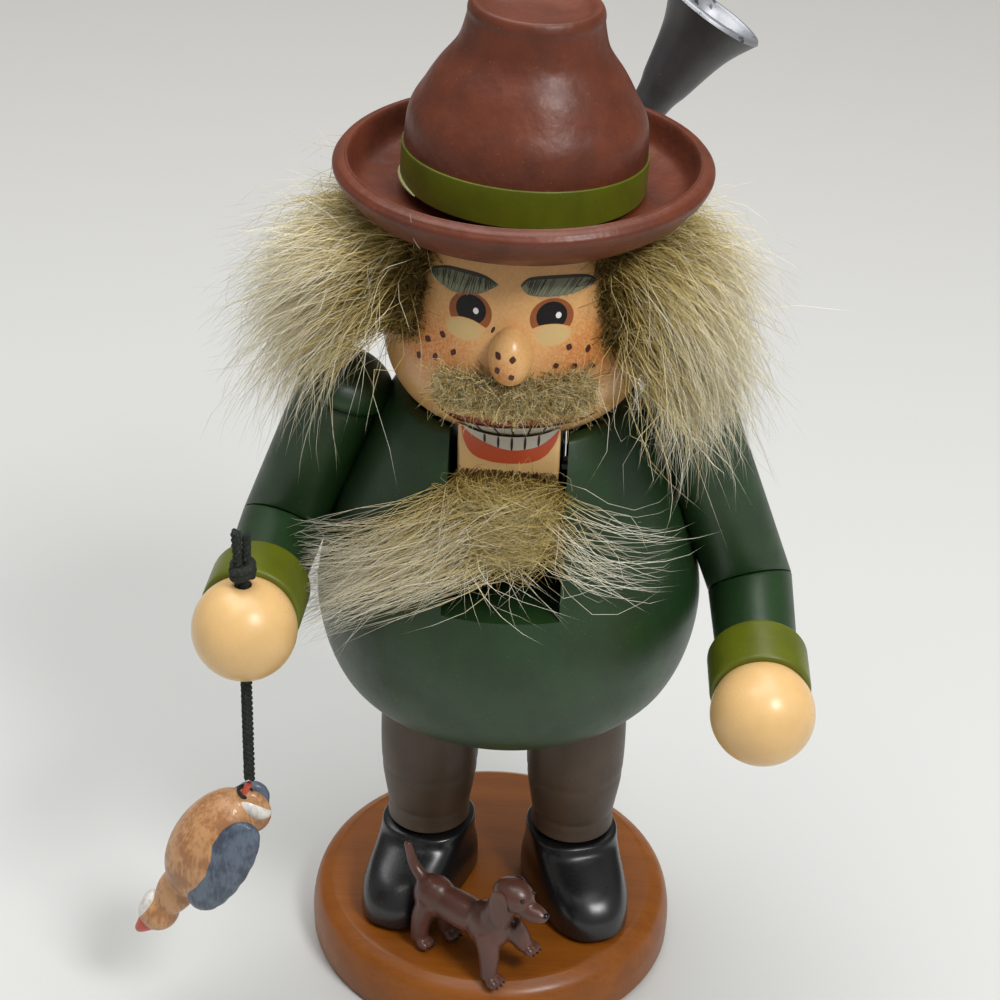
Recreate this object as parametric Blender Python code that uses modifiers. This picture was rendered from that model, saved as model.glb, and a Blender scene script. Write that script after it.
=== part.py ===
"""Wooden nutcracker figure of a bearded hunter, as turned and sawn wooden pieces.

Lengths are metres and angles are degrees. The figure stands on the plane z = 0 with its
axis on the Z axis. It faces -Y, so +X is its own left hand side. A turned piece is an
outline of (radius, height) points, read from its top down its outer side.
"""

import math

import bmesh
import bpy
from mathutils import Matrix, Vector

# Fits between pieces
SEAT_GAP = 0.0003
BORE_CLEARANCE = 0.0003
DOWEL_END_GAP = 0.0004
EDGE_ROUNDING = 0.0004

# Base plate
BASE_RADIUS = 0.02215
BASE_TOP_RADIUS = 0.0199
BASE_THICKNESS = 0.0072
BASE_FOOT_CHAMFER = 0.0006
BASE_SHIFT = -0.0008

# Boots and legs
LEG_SPREAD = 0.0088
LEG_RADIUS = 0.0057
ANKLE_RADIUS = 0.0050
LEG_LENGTH = 0.0209
LEG_DOWEL_RADIUS = 0.0020
LEG_DOWEL_IN_BODY = 0.0060
LEG_DOWEL_IN_BOOT = 0.0050
BOOT_HEIGHT = 0.0085
BOOT_TOE_REACH = 0.0132
BOOT_HEEL_REACH = 0.0064
BOOT_HALF_WIDTH = 0.0058
BOOT_SPLAY = 19.0

# Body with its jaw slot
BODY_HEIGHT = 0.0391
BODY_TOP_RADIUS = 0.0132
COLLAR_RADIUS = 0.0149
COLLAR_DROP = 0.0029
CHEST_RADIUS = 0.0196
CHEST_HEIGHT = 0.0244
BELLY_RADIUS = 0.0220
BELLY_HEIGHT = 0.0138
HEM_RADIUS = 0.0146
SLOT_WIDTH = 0.0127
SLOT_DEPTH = 0.0179
TAIL_GROOVE_DEPTH = 0.0072

# Head and nose
HEAD_SINK = 0.0024
HEAD_HEIGHT = 0.0242
HEAD_RADIUS = 0.0146
HEAD_WIDEST = 0.0103
HEAD_FLAT_RADIUS = 0.0078
HEAD_TOP_RADIUS = 0.0115
NECK_DOWEL_RADIUS = 0.0011
NECK_DOWEL_SPREAD = 0.0100
NECK_DOWEL_BACK = 0.0040
NECK_DOWEL_DEPTH = 0.0045
NOSE_HALF_WIDTH = 0.0023
NOSE_HALF_HEIGHT = 0.0031
NOSE_HALF_DEPTH = 0.0029
NOSE_HEIGHT = 0.0140
NOSE_STAND_OUT = 0.0009
NOSE_PEG_RADIUS = 0.0009
NOSE_PEG_DEPTH = 0.0034

# Hat
BRIM_RADIUS = 0.01993
BRIM_HEIGHT = 0.00524
BRIM_WEB = 0.0016
BRIM_FOOT_RADIUS = 0.0163
BRIM_LIP = 0.0012
CROWN_RADIUS = 0.01275
CROWN_HEIGHT = 0.0195
CROWN_TOP_RADIUS = 0.0069
CROWN_WAIST_RADIUS = 0.0079
CROWN_LEAN = 2.4
BAND_HEIGHT = 0.0038
BAND_STAND_OUT = 0.0002
HAT_DOWEL_RADIUS = 0.0020
HAT_DOWEL_IN_HEAD = 0.0060
HAT_DOWEL_IN_CROWN = 0.0060

# Jaw with its lever, and the pin it turns on
PIVOT_BACK = 0.0030
PIVOT_DROP = 0.0116
PIVOT_PIN_RADIUS = 0.0010
PIVOT_PIN_INSET = 0.0022
JAW_WIDTH = 0.0109
JAW_REACH = 0.0122
JAW_FRONT_DEPTH = 0.0126
JAW_BOSS_RADIUS = 0.0037
LIP_WALL = 0.0020
NUT_RECESS_WIDTH = 0.0082
NUT_RECESS_LENGTH = 0.0072
NUT_RECESS_FLOOR = 0.0036
LEVER_TAIL_THICKNESS = 0.0052
LEVER_TAIL_DROP = 0.0292
LEVER_TAIL_STAND_OUT = 0.0006

# Arms, cuffs and hands
ARM_RADIUS = 0.00485
ARM_LEAN = 20.6
ARM_TOP_DROP = 0.0018
ARM_SEAT_FLAT = 0.0004
SLEEVE_END_RADIUS = 0.0045
SLEEVE_LENGTH = 0.0120
CUFF_RADIUS = 0.00555
CUFF_LENGTH = 0.0062
CUFF_ROUNDING = 0.0006
HAND_RADIUS = 0.0057
HAND_SINK = 0.0030
WRIST_PEG_RADIUS = 0.0018
WRIST_PEG_DEPTH = 0.0045
SHOULDER_CAP_RADIUS = 0.0056
SHOULDER_CAP_THICKNESS = 0.0040
SHOULDER_DOWEL_RADIUS = 0.0012
SHOULDER_DOWEL_DROP = 0.0046
SHOULDER_DOWEL_IN_BODY = 0.0055
SHOULDER_DOWEL_IN_ARM = 0.0050
RIGHT_ELBOW_DROP = 0.0180
LEFT_ELBOW_DROP = 0.0222
RIGHT_FOREARM_RISE = 0.0
LEFT_FOREARM_RISE = -8.0
FOREARM_SPREAD = 3.0

# Fur
# Each tuft is a fan of hairs between two angles round the head and two heights on it. Its rows
# are for the lowest and the highest hairs, and hold a value for the front, the side and the back.
TUFT_FRONT = {-1: 48.0, 1: 45.0}
TUFT_BACK = 122.0
TUFT_LOW = {-1: 0.0130, 1: 0.0126}
TUFT_HIGH = 0.0232
TUFT_HEADING = {
    -1: ((84.0, 94.0, 122.0), (80.0, 92.0, 118.0)),
    1: ((52.0, 84.0, 120.0), (70.0, 88.0, 116.0)),
}
TUFT_LEAVE = {
    -1: ((-6.0, -14.0, -20.0), (2.0, 2.0, -6.0)),
    1: ((-28.0, -22.0, -26.0), (-4.0, 0.0, -8.0)),
}
TUFT_FALL = {
    -1: ((-66.0, -62.0, -66.0), (-12.0, -16.0, -34.0)),
    1: ((-88.0, -80.0, -72.0), (-64.0, -40.0, -44.0)),
}
TUFT_LENGTH = {
    -1: ((0.0210, 0.0165, 0.0125), (0.0155, 0.0138, 0.0108)),
    1: ((0.0225, 0.0170, 0.0125), (0.0165, 0.0130, 0.0108)),
}
TUFT_TUCK = 0.0015
TUFT_FULL = 0.95
NAPE_REACH = 0.0042
NAPE_HALF_WIDTH = 0.0112
NAPE_HALF_HEIGHT = 0.0118
NAPE_FRONT = 0.0095
MOUSTACHE_HALF_WIDTH = 0.0088
MOUSTACHE_HALF_DEPTH = 0.0036
MOUSTACHE_HALF_HEIGHT = 0.0021
BEARD_ROOT_WIDTH = 0.0092
BEARD_ROOT_LENGTH = 0.0075
BEARD_ROOT_DROP = 0.0046
BEARD_LENGTH = 0.0130
BEARD_THICKNESS = 0.0050
BEARD_RIGHT_SWEEP = 0.0225
BEARD_LEFT_SWEEP = 0.0185

# Gun on the back
GUN_SEAT_HEIGHT = 0.0264
GUN_SEAT_ROUND = 25.4
GUN_STAND_OFF = 0.0011
GUN_LEAN_SIDE = 31.8
GUN_LEAN_BACK = 6.6
GUN_TWIST = 36.0
GUN_LENGTH = 0.0702
GUN_STOCK_LENGTH = 0.0270
GUN_STOCK_THICKNESS = 0.0030
GUN_BUTT_HALF_WIDTH = 0.0036
GUN_WRIST_HALF_WIDTH = 0.0018
GUN_BARREL_RADIUS = 0.0021
GUN_MUZZLE_RADIUS = 0.0060
GUN_MUZZLE_LENGTH = 0.0140
GUN_MUZZLE_DEPTH = 0.0040
GUN_MUZZLE_WALL = 0.0007
GUN_TENON_RADIUS = 0.0011
GUN_TENON_LENGTH = 0.0050
GUN_DOWEL_RADIUS = 0.0009
GUN_DOWEL_IN_BODY = 0.0040
GUN_DOWEL_IN_STOCK = 0.0018
GUN_DOWEL_ALONG = 0.0145

# Cord and bird in the right hand
CORD_RADIUS = 0.00065
KNOT_RADIUS = 0.0015
CORD_STUB = 0.0036
CORD_DROP = 0.0150
BIRD_LENGTH = 0.0260
BIRD_GIRTH_RADIUS = 0.0050
BIRD_LEAN = 27.0

# Dog on the base
DOG_LENGTH = 0.0125
DOG_SHOULDER_HEIGHT = 0.0085
DOG_GIRTH_RADIUS = 0.0024
DOG_LEG_RADIUS = 0.0011
DOG_HEADING = 56.0
DOG_ASIDE = -0.0035
DOG_EDGE_DISTANCE = 0.0042

# Fineness of the round faces
TURNED_STEPS = 32
SMALL_STEPS = 20
DOWEL_STEPS = 12
CARVED_SHARE = 0.40

# Heights that follow from the sizes above
BOOT_FLOOR = BASE_THICKNESS + SEAT_GAP
BOOT_TOP = BOOT_FLOOR + BOOT_HEIGHT
LEG_FLOOR = BOOT_TOP + SEAT_GAP
LEG_TOP = LEG_FLOOR + LEG_LENGTH
BODY_FLOOR = LEG_TOP + SEAT_GAP
BODY_TOP = BODY_FLOOR + BODY_HEIGHT
HEAD_FLOOR = BODY_TOP - HEAD_SINK
HEAD_TOP = HEAD_FLOOR + HEAD_HEIGHT
BRIM_FLOOR = HEAD_TOP + SEAT_GAP
BRIM_TOP = BRIM_FLOOR + BRIM_HEIGHT
CROWN_FLOOR = BRIM_FLOOR + BRIM_WEB + SEAT_GAP
SLOT_FLOOR_HEIGHT = BODY_TOP - SLOT_DEPTH
PIVOT = Vector((0.0, PIVOT_BACK, BODY_TOP - PIVOT_DROP))

FIGURE = "nutcracker_hunter"
CUTTERS = "cutters"


def clear_scene():
    """Remove what a new file starts with, and make the two collections."""
    for old in list(bpy.data.objects):
        bpy.data.objects.remove(old, do_unlink=True)
    for name in (FIGURE, CUTTERS):
        group = bpy.data.collections.new(name)
        bpy.context.scene.collection.children.link(group)


def finish(name, colour, roughness, metallic=0.0):
    """A plain surface finish."""
    made = bpy.data.materials.new(name)
    made.use_nodes = True
    shader = made.node_tree.nodes["Principled BSDF"]
    shader.inputs["Base Color"].default_value = (*colour, 1.0)
    shader.inputs["Roughness"].default_value = roughness
    shader.inputs["Metallic"].default_value = metallic
    return made


def make_finishes():
    """The paints, woods and furs of the figure."""
    return {
        "coat": finish("coat_green_paint", (0.020, 0.075, 0.035), 0.45),
        "trim": finish("trim_olive_paint", (0.120, 0.160, 0.020), 0.45),
        "hat": finish("hat_brown_paint", (0.150, 0.040, 0.028), 0.42),
        "skin": finish("skin_paint", (0.780, 0.500, 0.280), 0.40),
        "base": finish("base_honey_stain", (0.350, 0.130, 0.030), 0.40),
        "boot": finish("boot_black_paint", (0.015, 0.015, 0.018), 0.35),
        "trousers": finish("trousers_brown_paint", (0.090, 0.055, 0.035), 0.50),
        "wood": finish("bare_beech", (0.600, 0.420, 0.250), 0.65),
        "steel": finish("pin_steel", (0.550, 0.550, 0.550), 0.35, 1.0),
        "gun": finish("gun_grey_paint", (0.090, 0.090, 0.100), 0.35),
        "stock": finish("stock_brown_paint", (0.130, 0.055, 0.025), 0.45),
        "fur": finish("wheat_fur", (0.450, 0.380, 0.220), 0.85),
        "cord": finish("black_cord", (0.012, 0.012, 0.012), 0.90),
        "bird": finish("bird_paint", (0.200, 0.090, 0.045), 0.45),
        "dog": finish("dog_paint", (0.200, 0.090, 0.070), 0.40),
    }


def link(obj, finish_made=None, cutter=False):
    """Put an object in its collection, as a piece with a finish or as a cutter."""
    group = bpy.data.collections[CUTTERS if cutter else FIGURE]
    group.objects.link(obj)
    if cutter:
        obj.hide_render = True
        obj.display_type = "WIRE"
    if finish_made is not None:
        obj.data.materials.append(finish_made)
    return obj


def from_bmesh(name, shape):
    """A mesh object of a bmesh, with its faces out and smooth over shallow edges."""
    bmesh.ops.recalc_face_normals(shape, faces=shape.faces)
    mesh = bpy.data.meshes.new(name)
    shape.to_mesh(mesh)
    shape.free()
    mesh.shade_smooth()
    mesh.set_sharp_from_angle(angle=math.radians(40.0))
    return bpy.data.objects.new(name, mesh)


def through(points, steps):
    """A smooth curve through the points, with that many steps from each to the next."""
    ends = [points[0], *points, points[-1]]
    curve = []
    for before, start, stop, after in zip(ends, ends[1:], ends[2:], ends[3:]):
        for step in range(steps):
            t = step / steps
            blend = (
                (-t + 2 * t**2 - t**3) / 2,
                (2 - 5 * t**2 + 3 * t**3) / 2,
                (t + 4 * t**2 - 3 * t**3) / 2,
                (-(t**2) + t**3) / 2,
            )
            four = (before, start, stop, after)
            curve.append(tuple(sum(w * p[i] for w, p in zip(blend, four)) for i in range(2)))
    return [*curve, points[-1]]


def grown(outline, gap):
    """An outline moved outwards by a gap, square to each of its stretches."""
    moved = []
    last = len(outline) - 1
    for i, (radius, height) in enumerate(outline):
        before = Vector(outline[max(i - 1, 0)])
        after = Vector(outline[min(i + 1, last)])
        along = (after - before).normalized()
        out = Vector((-along.y, along.x))
        moved.append((max(radius + out.x * gap, 0.0) if radius > 0 else 0.0, height + out.y * gap))
    return moved


def turned(name, outline, steps=TURNED_STEPS):
    """A turned solid: an outline swept round the Z axis."""
    mesh = bpy.data.meshes.new(name)
    points = [(radius, 0.0, height) for radius, height in outline]
    mesh.from_pydata(points, [(i, i + 1) for i in range(len(points) - 1)], [])
    obj = bpy.data.objects.new(name, mesh)
    screw = obj.modifiers.new("turned", "SCREW")
    screw.steps = steps
    screw.render_steps = steps
    screw.use_merge_vertices = True
    screw.merge_threshold = 0.00001
    screw.use_smooth_shade = True
    return obj


def rod(name, radius, start, end, sides=DOWEL_STEPS, end_radius=None):
    """A round rod, or a cone, from one point to another."""
    shape = bmesh.new()
    length = (Vector(end) - Vector(start)).length
    bmesh.ops.create_cone(
        shape,
        cap_ends=True,
        segments=sides,
        radius1=radius,
        radius2=radius if end_radius is None else end_radius,
        depth=length,
    )
    obj = from_bmesh(name, shape)
    along = Vector(end) - Vector(start)
    obj.location = (Vector(start) + Vector(end)) / 2
    obj.rotation_euler = along.to_track_quat("Z", "Y").to_euler()
    return obj


def block(name, low, high):
    """A box between its lowest and highest corners."""
    shape = bmesh.new()
    bmesh.ops.create_cube(shape, size=1.0)
    low, high = Vector(low), Vector(high)
    bmesh.ops.scale(shape, vec=high - low, verts=shape.verts)
    bmesh.ops.translate(shape, vec=(low + high) / 2, verts=shape.verts)
    return from_bmesh(name, shape)


def egg(name, centre, halves, around=16, rings=10):
    """An ellipsoid by its centre and its three half sizes."""
    shape = bmesh.new()
    bmesh.ops.create_uvsphere(shape, u_segments=around, v_segments=rings, radius=1.0)
    bmesh.ops.scale(shape, vec=Vector(halves), verts=shape.verts)
    obj = from_bmesh(name, shape)
    obj.location = centre
    return obj


def boolean(target, tool, operation="DIFFERENCE"):
    """Cut a tool out of a piece, or join it on."""
    made = target.modifiers.new(tool.name, "BOOLEAN")
    made.operation = operation
    made.object = tool
    return target


def cut(target, *tools):
    """Cut each tool out of a piece."""
    for tool in tools:
        if tool.name not in bpy.data.collections[CUTTERS].objects:
            link(tool, cutter=True)
        boolean(target, tool)
    return target


def join(target, *tools):
    """Join each tool on to a piece, as one body."""
    for tool in tools:
        if tool.name not in bpy.data.collections[CUTTERS].objects:
            link(tool, cutter=True)
        boolean(target, tool, "UNION")
    return target


def bore(name, radius, start, end):
    """The cutter of a hole that a dowel of that radius fits in."""
    return rod(name, radius + BORE_CLEARANCE, start, end)


def melt(target, voxel, passes):
    """Run the joined bodies of a carved or furry piece into one soft skin."""
    remesh = target.modifiers.new("one skin", "REMESH")
    remesh.mode = "VOXEL"
    remesh.voxel_size = voxel
    smooth = target.modifiers.new("softened", "SMOOTH")
    smooth.factor = 0.5
    smooth.iterations = passes
    fewer = target.modifiers.new("fewer faces", "DECIMATE")
    fewer.ratio = CARVED_SHARE
    return target


# Outlines of the turned pieces


def body_outline():
    """The coat: a cone of shoulders over a round belly."""
    flank = through(
        [
            (COLLAR_RADIUS, BODY_TOP - COLLAR_DROP),
            ((COLLAR_RADIUS + CHEST_RADIUS) / 2, (BODY_TOP - COLLAR_DROP + BODY_FLOOR + CHEST_HEIGHT) / 2),
            (CHEST_RADIUS, BODY_FLOOR + CHEST_HEIGHT),
            (BELLY_RADIUS, BODY_FLOOR + BELLY_HEIGHT),
            (HEM_RADIUS + 0.72 * (BELLY_RADIUS - HEM_RADIUS), BODY_FLOOR + 0.34 * BELLY_HEIGHT),
            (HEM_RADIUS, BODY_FLOOR),
        ],
        2,
    )
    return [(0.0, BODY_TOP), (BODY_TOP_RADIUS, BODY_TOP), *flank, (0.0, BODY_FLOOR)]


def radius_at(outline, height):
    """A turned piece's radius at a height."""
    for (upper_radius, upper), (lower_radius, lower) in zip(outline, outline[1:]):
        if lower <= height <= upper and upper > lower:
            share = (upper - height) / (upper - lower)
            return upper_radius + share * (lower_radius - upper_radius)
    return outline[-2][0]


def body_radius_at(height):
    """The coat's radius at a height."""
    return radius_at(body_outline(), height)


def head_outline():
    """The head: a ball, flat below and drawn in towards the hat."""
    widest = HEAD_FLOOR + HEAD_WIDEST
    lower = 0.40 * HEAD_WIDEST
    upper = HEAD_TOP - widest
    side = through(
        [
            (HEAD_TOP_RADIUS, HEAD_TOP),
            (HEAD_TOP_RADIUS + 0.58 * (HEAD_RADIUS - HEAD_TOP_RADIUS), widest + 0.60 * upper),
            (HEAD_RADIUS, widest),
            (HEAD_FLAT_RADIUS + 0.75 * (HEAD_RADIUS - HEAD_FLAT_RADIUS), HEAD_FLOOR + lower),
            (HEAD_FLAT_RADIUS, HEAD_FLOOR),
        ],
        3,
    )
    return [(0.0, HEAD_TOP), *side, (0.0, HEAD_FLOOR)]


def head_radius_at(height):
    """The head's radius at a height."""
    return radius_at(head_outline(), height)


def head_underside_at(radius):
    """The height of the head's underside at a radius."""
    if radius <= HEAD_FLAT_RADIUS:
        return HEAD_FLOOR
    below = [point for point in head_outline() if point[1] <= HEAD_FLOOR + HEAD_WIDEST]
    for (outer, upper), (inner, lower) in zip(below, below[1:]):
        if inner <= radius <= outer and outer > inner:
            return lower + (radius - inner) / (outer - inner) * (upper - lower)
    return HEAD_FLOOR + HEAD_WIDEST


def brim_outline():
    """The brim: a thick dish with a rounded lip, flat under the crown."""
    floor = BRIM_FLOOR + BRIM_WEB
    dish = through(
        [
            (CROWN_RADIUS + BRIM_LIP, floor),
            ((CROWN_RADIUS + BRIM_RADIUS) / 2 + 0.67 * BRIM_LIP, floor + 0.5 * BRIM_LIP),
            (BRIM_RADIUS - BRIM_LIP, BRIM_TOP),
        ],
        2,
    )
    under = through(
        [
            (BRIM_RADIUS - 0.25 * BRIM_LIP, BRIM_TOP - 0.3 * BRIM_LIP),
            (BRIM_RADIUS, BRIM_TOP - BRIM_LIP),
            (0.4 * BRIM_FOOT_RADIUS + 0.6 * BRIM_RADIUS, BRIM_FLOOR + 0.36 * BRIM_HEIGHT),
            (BRIM_FOOT_RADIUS, BRIM_FLOOR + 0.25 * BRIM_LIP),
        ],
        2,
    )
    return [(0.0, floor), *dish, *under, (BRIM_FOOT_RADIUS - 0.67 * BRIM_LIP, BRIM_FLOOR), (0.0, BRIM_FLOOR)]


def crown_outline():
    """The crown, from its own foot at height 0: a bell with a waist under a flared top."""
    bell = through(
        [
            (CROWN_TOP_RADIUS, 0.985 * CROWN_HEIGHT),
            (1.03 * CROWN_TOP_RADIUS, 0.90 * CROWN_HEIGHT),
            (CROWN_WAIST_RADIUS, 0.76 * CROWN_HEIGHT),
            (0.60 * CROWN_WAIST_RADIUS + 0.40 * CROWN_RADIUS, 0.62 * CROWN_HEIGHT),
            (0.34 * CROWN_WAIST_RADIUS + 0.66 * CROWN_RADIUS, 0.51 * CROWN_HEIGHT),
            (0.07 * CROWN_WAIST_RADIUS + 0.93 * CROWN_RADIUS, 0.38 * CROWN_HEIGHT),
            (CROWN_RADIUS, BAND_HEIGHT + 0.5 * BAND_STAND_OUT),
        ],
        2,
    )
    dished = [(0.0, 0.94 * CROWN_HEIGHT), (0.72 * CROWN_TOP_RADIUS, 0.965 * CROWN_HEIGHT)]
    lip = [(0.90 * CROWN_TOP_RADIUS, CROWN_HEIGHT)]
    band = [
        (CROWN_RADIUS + BAND_STAND_OUT, BAND_HEIGHT),
        (CROWN_RADIUS + BAND_STAND_OUT, EDGE_ROUNDING),
        (CROWN_RADIUS - EDGE_ROUNDING, 0.0),
    ]
    return [*dished, *lip, *bell, *band, (0.0, 0.0)]


# Places on the arms


def arm_frame(side):
    """The arm's top point, its elbow point, and the directions of its two halves."""
    lean = math.radians(ARM_LEAN)
    elbow_drop = LEFT_ELBOW_DROP if side > 0 else RIGHT_ELBOW_DROP
    rise = math.radians(LEFT_FOREARM_RISE if side > 0 else RIGHT_FOREARM_RISE)
    down = Vector((side * math.sin(lean), 0.0, -math.cos(lean)))
    height = BODY_TOP - ARM_TOP_DROP
    touch = BODY_FLOOR + CHEST_HEIGHT + 0.5 * (BODY_HEIGHT - CHEST_HEIGHT)
    stand_off = (ARM_RADIUS - ARM_SEAT_FLAT) / math.cos(lean)
    reach = body_radius_at(touch) + stand_off - (height - touch) * math.tan(lean)
    top = Vector((side * reach, 0.0, height))
    elbow = top + down * (elbow_drop / math.cos(lean))
    spread = math.radians(FOREARM_SPREAD)
    level = Vector((side * math.sin(spread), -math.cos(spread), 0.0))
    forward = level * math.cos(rise) + Vector((0.0, 0.0, math.sin(rise)))
    return top, elbow, down, forward


def hand_centre(side):
    """The middle of the ball of a hand."""
    _, elbow, _, forward = arm_frame(side)
    return elbow + forward * (SLEEVE_LENGTH + 2 * SEAT_GAP + CUFF_LENGTH + HAND_RADIUS - HAND_SINK)


def side_name(side):
    """The figure's own side: its left is at +X."""
    return "left" if side > 0 else "right"


# Clearance solids: a neighbour is cut by one of these, and so keeps its seat gap


def make_clearances():
    """Cutters that stand one seat gap proud of the body, head, nose, brim, caps and arms."""
    nose = [half + SEAT_GAP for half in (NOSE_HALF_WIDTH, NOSE_HALF_DEPTH, NOSE_HALF_HEIGHT)]
    made = {
        "nose": egg("clear_of_nose", nose_centre(), nose, 24, 16),
        "body": turned("clear_of_body", grown(body_outline(), SEAT_GAP)),
        "head": turned("clear_of_head", grown(head_outline(), SEAT_GAP)),
        "brim": turned("clear_of_brim", grown(brim_outline(), SEAT_GAP)),
    }
    for side in (-1, 1):
        top, elbow, down, _ = arm_frame(side)
        cap_end = top - down * (SHOULDER_CAP_THICKNESS + 2 * SEAT_GAP)
        made["cap", side] = rod(
            f"clear_of_cap_{side_name(side)}",
            SHOULDER_CAP_RADIUS + SEAT_GAP,
            top + down * SEAT_GAP,
            cap_end,
            SMALL_STEPS,
        )
        made["arm", side] = rod(
            f"clear_of_arm_{side_name(side)}", ARM_RADIUS + SEAT_GAP, top, elbow, SMALL_STEPS
        )
    for tool in made.values():
        link(tool, cutter=True)
    return made


# Pieces


def make_base(finishes):
    """The round base plate, with a softly rounded shoulder."""
    rim = through(
        [
            (BASE_TOP_RADIUS, BASE_THICKNESS),
            (0.30 * BASE_TOP_RADIUS + 0.70 * BASE_RADIUS, 0.84 * BASE_THICKNESS),
            (BASE_RADIUS, 0.50 * BASE_THICKNESS),
            (BASE_RADIUS, BASE_FOOT_CHAMFER),
        ],
        2,
    )
    outline = [(0.0, BASE_THICKNESS), *rim, (BASE_RADIUS - BASE_FOOT_CHAMFER, 0.0), (0.0, 0.0)]
    plate = turned("base_plate", outline)
    plate.location.x = BASE_SHIFT
    link(plate, finishes["base"])


def boot_ring(height, toe, heel, half_width, points=20):
    """One level of a boot: an oval that is blunt at the toe."""
    ring = []
    for i in range(points):
        angle = 2 * math.pi * i / points
        reach = toe if math.sin(angle) < 0 else heel
        across = half_width * math.copysign(abs(math.cos(angle)) ** 0.80, math.cos(angle))
        along = reach * math.copysign(abs(math.sin(angle)) ** 0.80, math.sin(angle))
        ring.append((across, along, height))
    return ring


def make_boot(side, finishes):
    """A blunt boot, lofted from its sole up to the round shaft that the leg stands on."""
    levels = [
        (0.00, 0.95, 0.95, 0.93),
        (0.08, 1.00, 1.00, 1.00),
        (0.36, 0.98, 0.99, 0.99),
        (0.58, 0.85, 0.96, 0.93),
        (0.74, 0.62, 0.92, 0.92),
        (0.86, 0.46, 0.88, 0.93),
        (1.00, 0.41, 0.84, 0.93),
    ]
    shape = bmesh.new()
    rings = []
    for height, toe, heel, width in levels:
        ring = boot_ring(
            height * BOOT_HEIGHT, toe * BOOT_TOE_REACH, heel * BOOT_HEEL_REACH, width * BOOT_HALF_WIDTH
        )
        rings.append([shape.verts.new(point) for point in ring])
    for lower, upper in zip(rings, rings[1:]):
        for i in range(len(lower)):
            j = (i + 1) % len(lower)
            shape.faces.new((lower[i], lower[j], upper[j], upper[i]))
    shape.faces.new(rings[0][::-1])
    shape.faces.new(rings[-1])
    boot = from_bmesh(f"boot_{side_name(side)}", shape)
    boot.location = (side * LEG_SPREAD, 0.0, BOOT_FLOOR)
    boot.rotation_euler.z = math.radians(side * BOOT_SPLAY)
    foot = Vector((side * LEG_SPREAD, 0.0, BOOT_TOP - LEG_DOWEL_IN_BOOT - DOWEL_END_GAP))
    head = Vector((side * LEG_SPREAD, 0.0, BOOT_TOP + BOOT_HEIGHT))
    cut(boot, bore(f"boot_bore_{side_name(side)}", LEG_DOWEL_RADIUS, foot, head))
    link(boot, finishes["boot"])


def make_leg(side, finishes):
    """A turned leg with a bore right through it, and the long dowel that it is threaded on."""
    name = side_name(side)
    inner = LEG_DOWEL_RADIUS + BORE_CLEARANCE
    bulge = LEG_RADIUS + 0.5 * EDGE_ROUNDING
    outline = [
        (inner, LEG_TOP),
        (LEG_RADIUS - EDGE_ROUNDING, LEG_TOP),
        (LEG_RADIUS, LEG_TOP - EDGE_ROUNDING),
        (bulge, LEG_FLOOR + 0.62 * LEG_LENGTH),
        (LEG_RADIUS, LEG_FLOOR + 0.36 * LEG_LENGTH),
        (ANKLE_RADIUS, LEG_FLOOR + 0.12 * LEG_LENGTH),
        (ANKLE_RADIUS, LEG_FLOOR),
        (inner, LEG_FLOOR),
        (inner, LEG_TOP),
    ]
    leg = turned(f"leg_{name}", outline, SMALL_STEPS)
    leg.location.x = side * LEG_SPREAD
    link(leg, finishes["trousers"])
    low = Vector((side * LEG_SPREAD, 0.0, BOOT_TOP - LEG_DOWEL_IN_BOOT))
    high = Vector((side * LEG_SPREAD, 0.0, BODY_FLOOR + LEG_DOWEL_IN_BODY))
    link(rod(f"leg_dowel_{name}", LEG_DOWEL_RADIUS, low, high), finishes["wood"])


def shoulder_dowel_ends(side):
    """The inner and outer ends of the dowel between the body and an arm."""
    top, _, down, _ = arm_frame(side)
    centre = top + down * SHOULDER_DOWEL_DROP
    outwards = Vector((side, 0.0, 0.0))
    surface = Vector((side * body_radius_at(centre.z), 0.0, centre.z))
    return surface - outwards * SHOULDER_DOWEL_IN_BODY, surface + outwards * SHOULDER_DOWEL_IN_ARM, outwards


def gun_frame():
    """The gun's place: its origin at the butt, its +Z along the barrel, its +Y off the back."""
    aside = Matrix.Rotation(math.radians(GUN_LEAN_SIDE), 4, "Y")
    back = Matrix.Rotation(math.radians(-GUN_LEAN_BACK), 4, "X")
    twist = Matrix.Rotation(math.radians(GUN_TWIST), 4, "Z")
    turn = aside @ back @ twist
    round_back = math.radians(GUN_SEAT_ROUND)
    height = BODY_FLOOR + GUN_SEAT_HEIGHT
    reach = body_radius_at(height) + GUN_STAND_OFF
    seat = Vector((-reach * math.sin(round_back), reach * math.cos(round_back), height))
    on_stock = turn @ Vector((0.0, -GUN_STOCK_THICKNESS / 2, GUN_DOWEL_ALONG))
    return Matrix.Translation(seat - on_stock) @ turn


def gun_dowel_ends():
    """The ends of the dowel that carries the gun: in the coat's back and in the stock."""
    frame = gun_frame()
    on_stock = frame @ Vector((0.0, -GUN_STOCK_THICKNESS / 2, GUN_DOWEL_ALONG))
    inwards = Vector((-on_stock.x, -on_stock.y, 0.0)).normalized()
    radius = body_radius_at(on_stock.z)
    on_body = Vector((on_stock.x, on_stock.y, 0.0)).normalized() * radius
    on_body.z = on_stock.z
    return on_body + inwards * GUN_DOWEL_IN_BODY, on_stock - inwards * GUN_DOWEL_IN_STOCK, inwards


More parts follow.
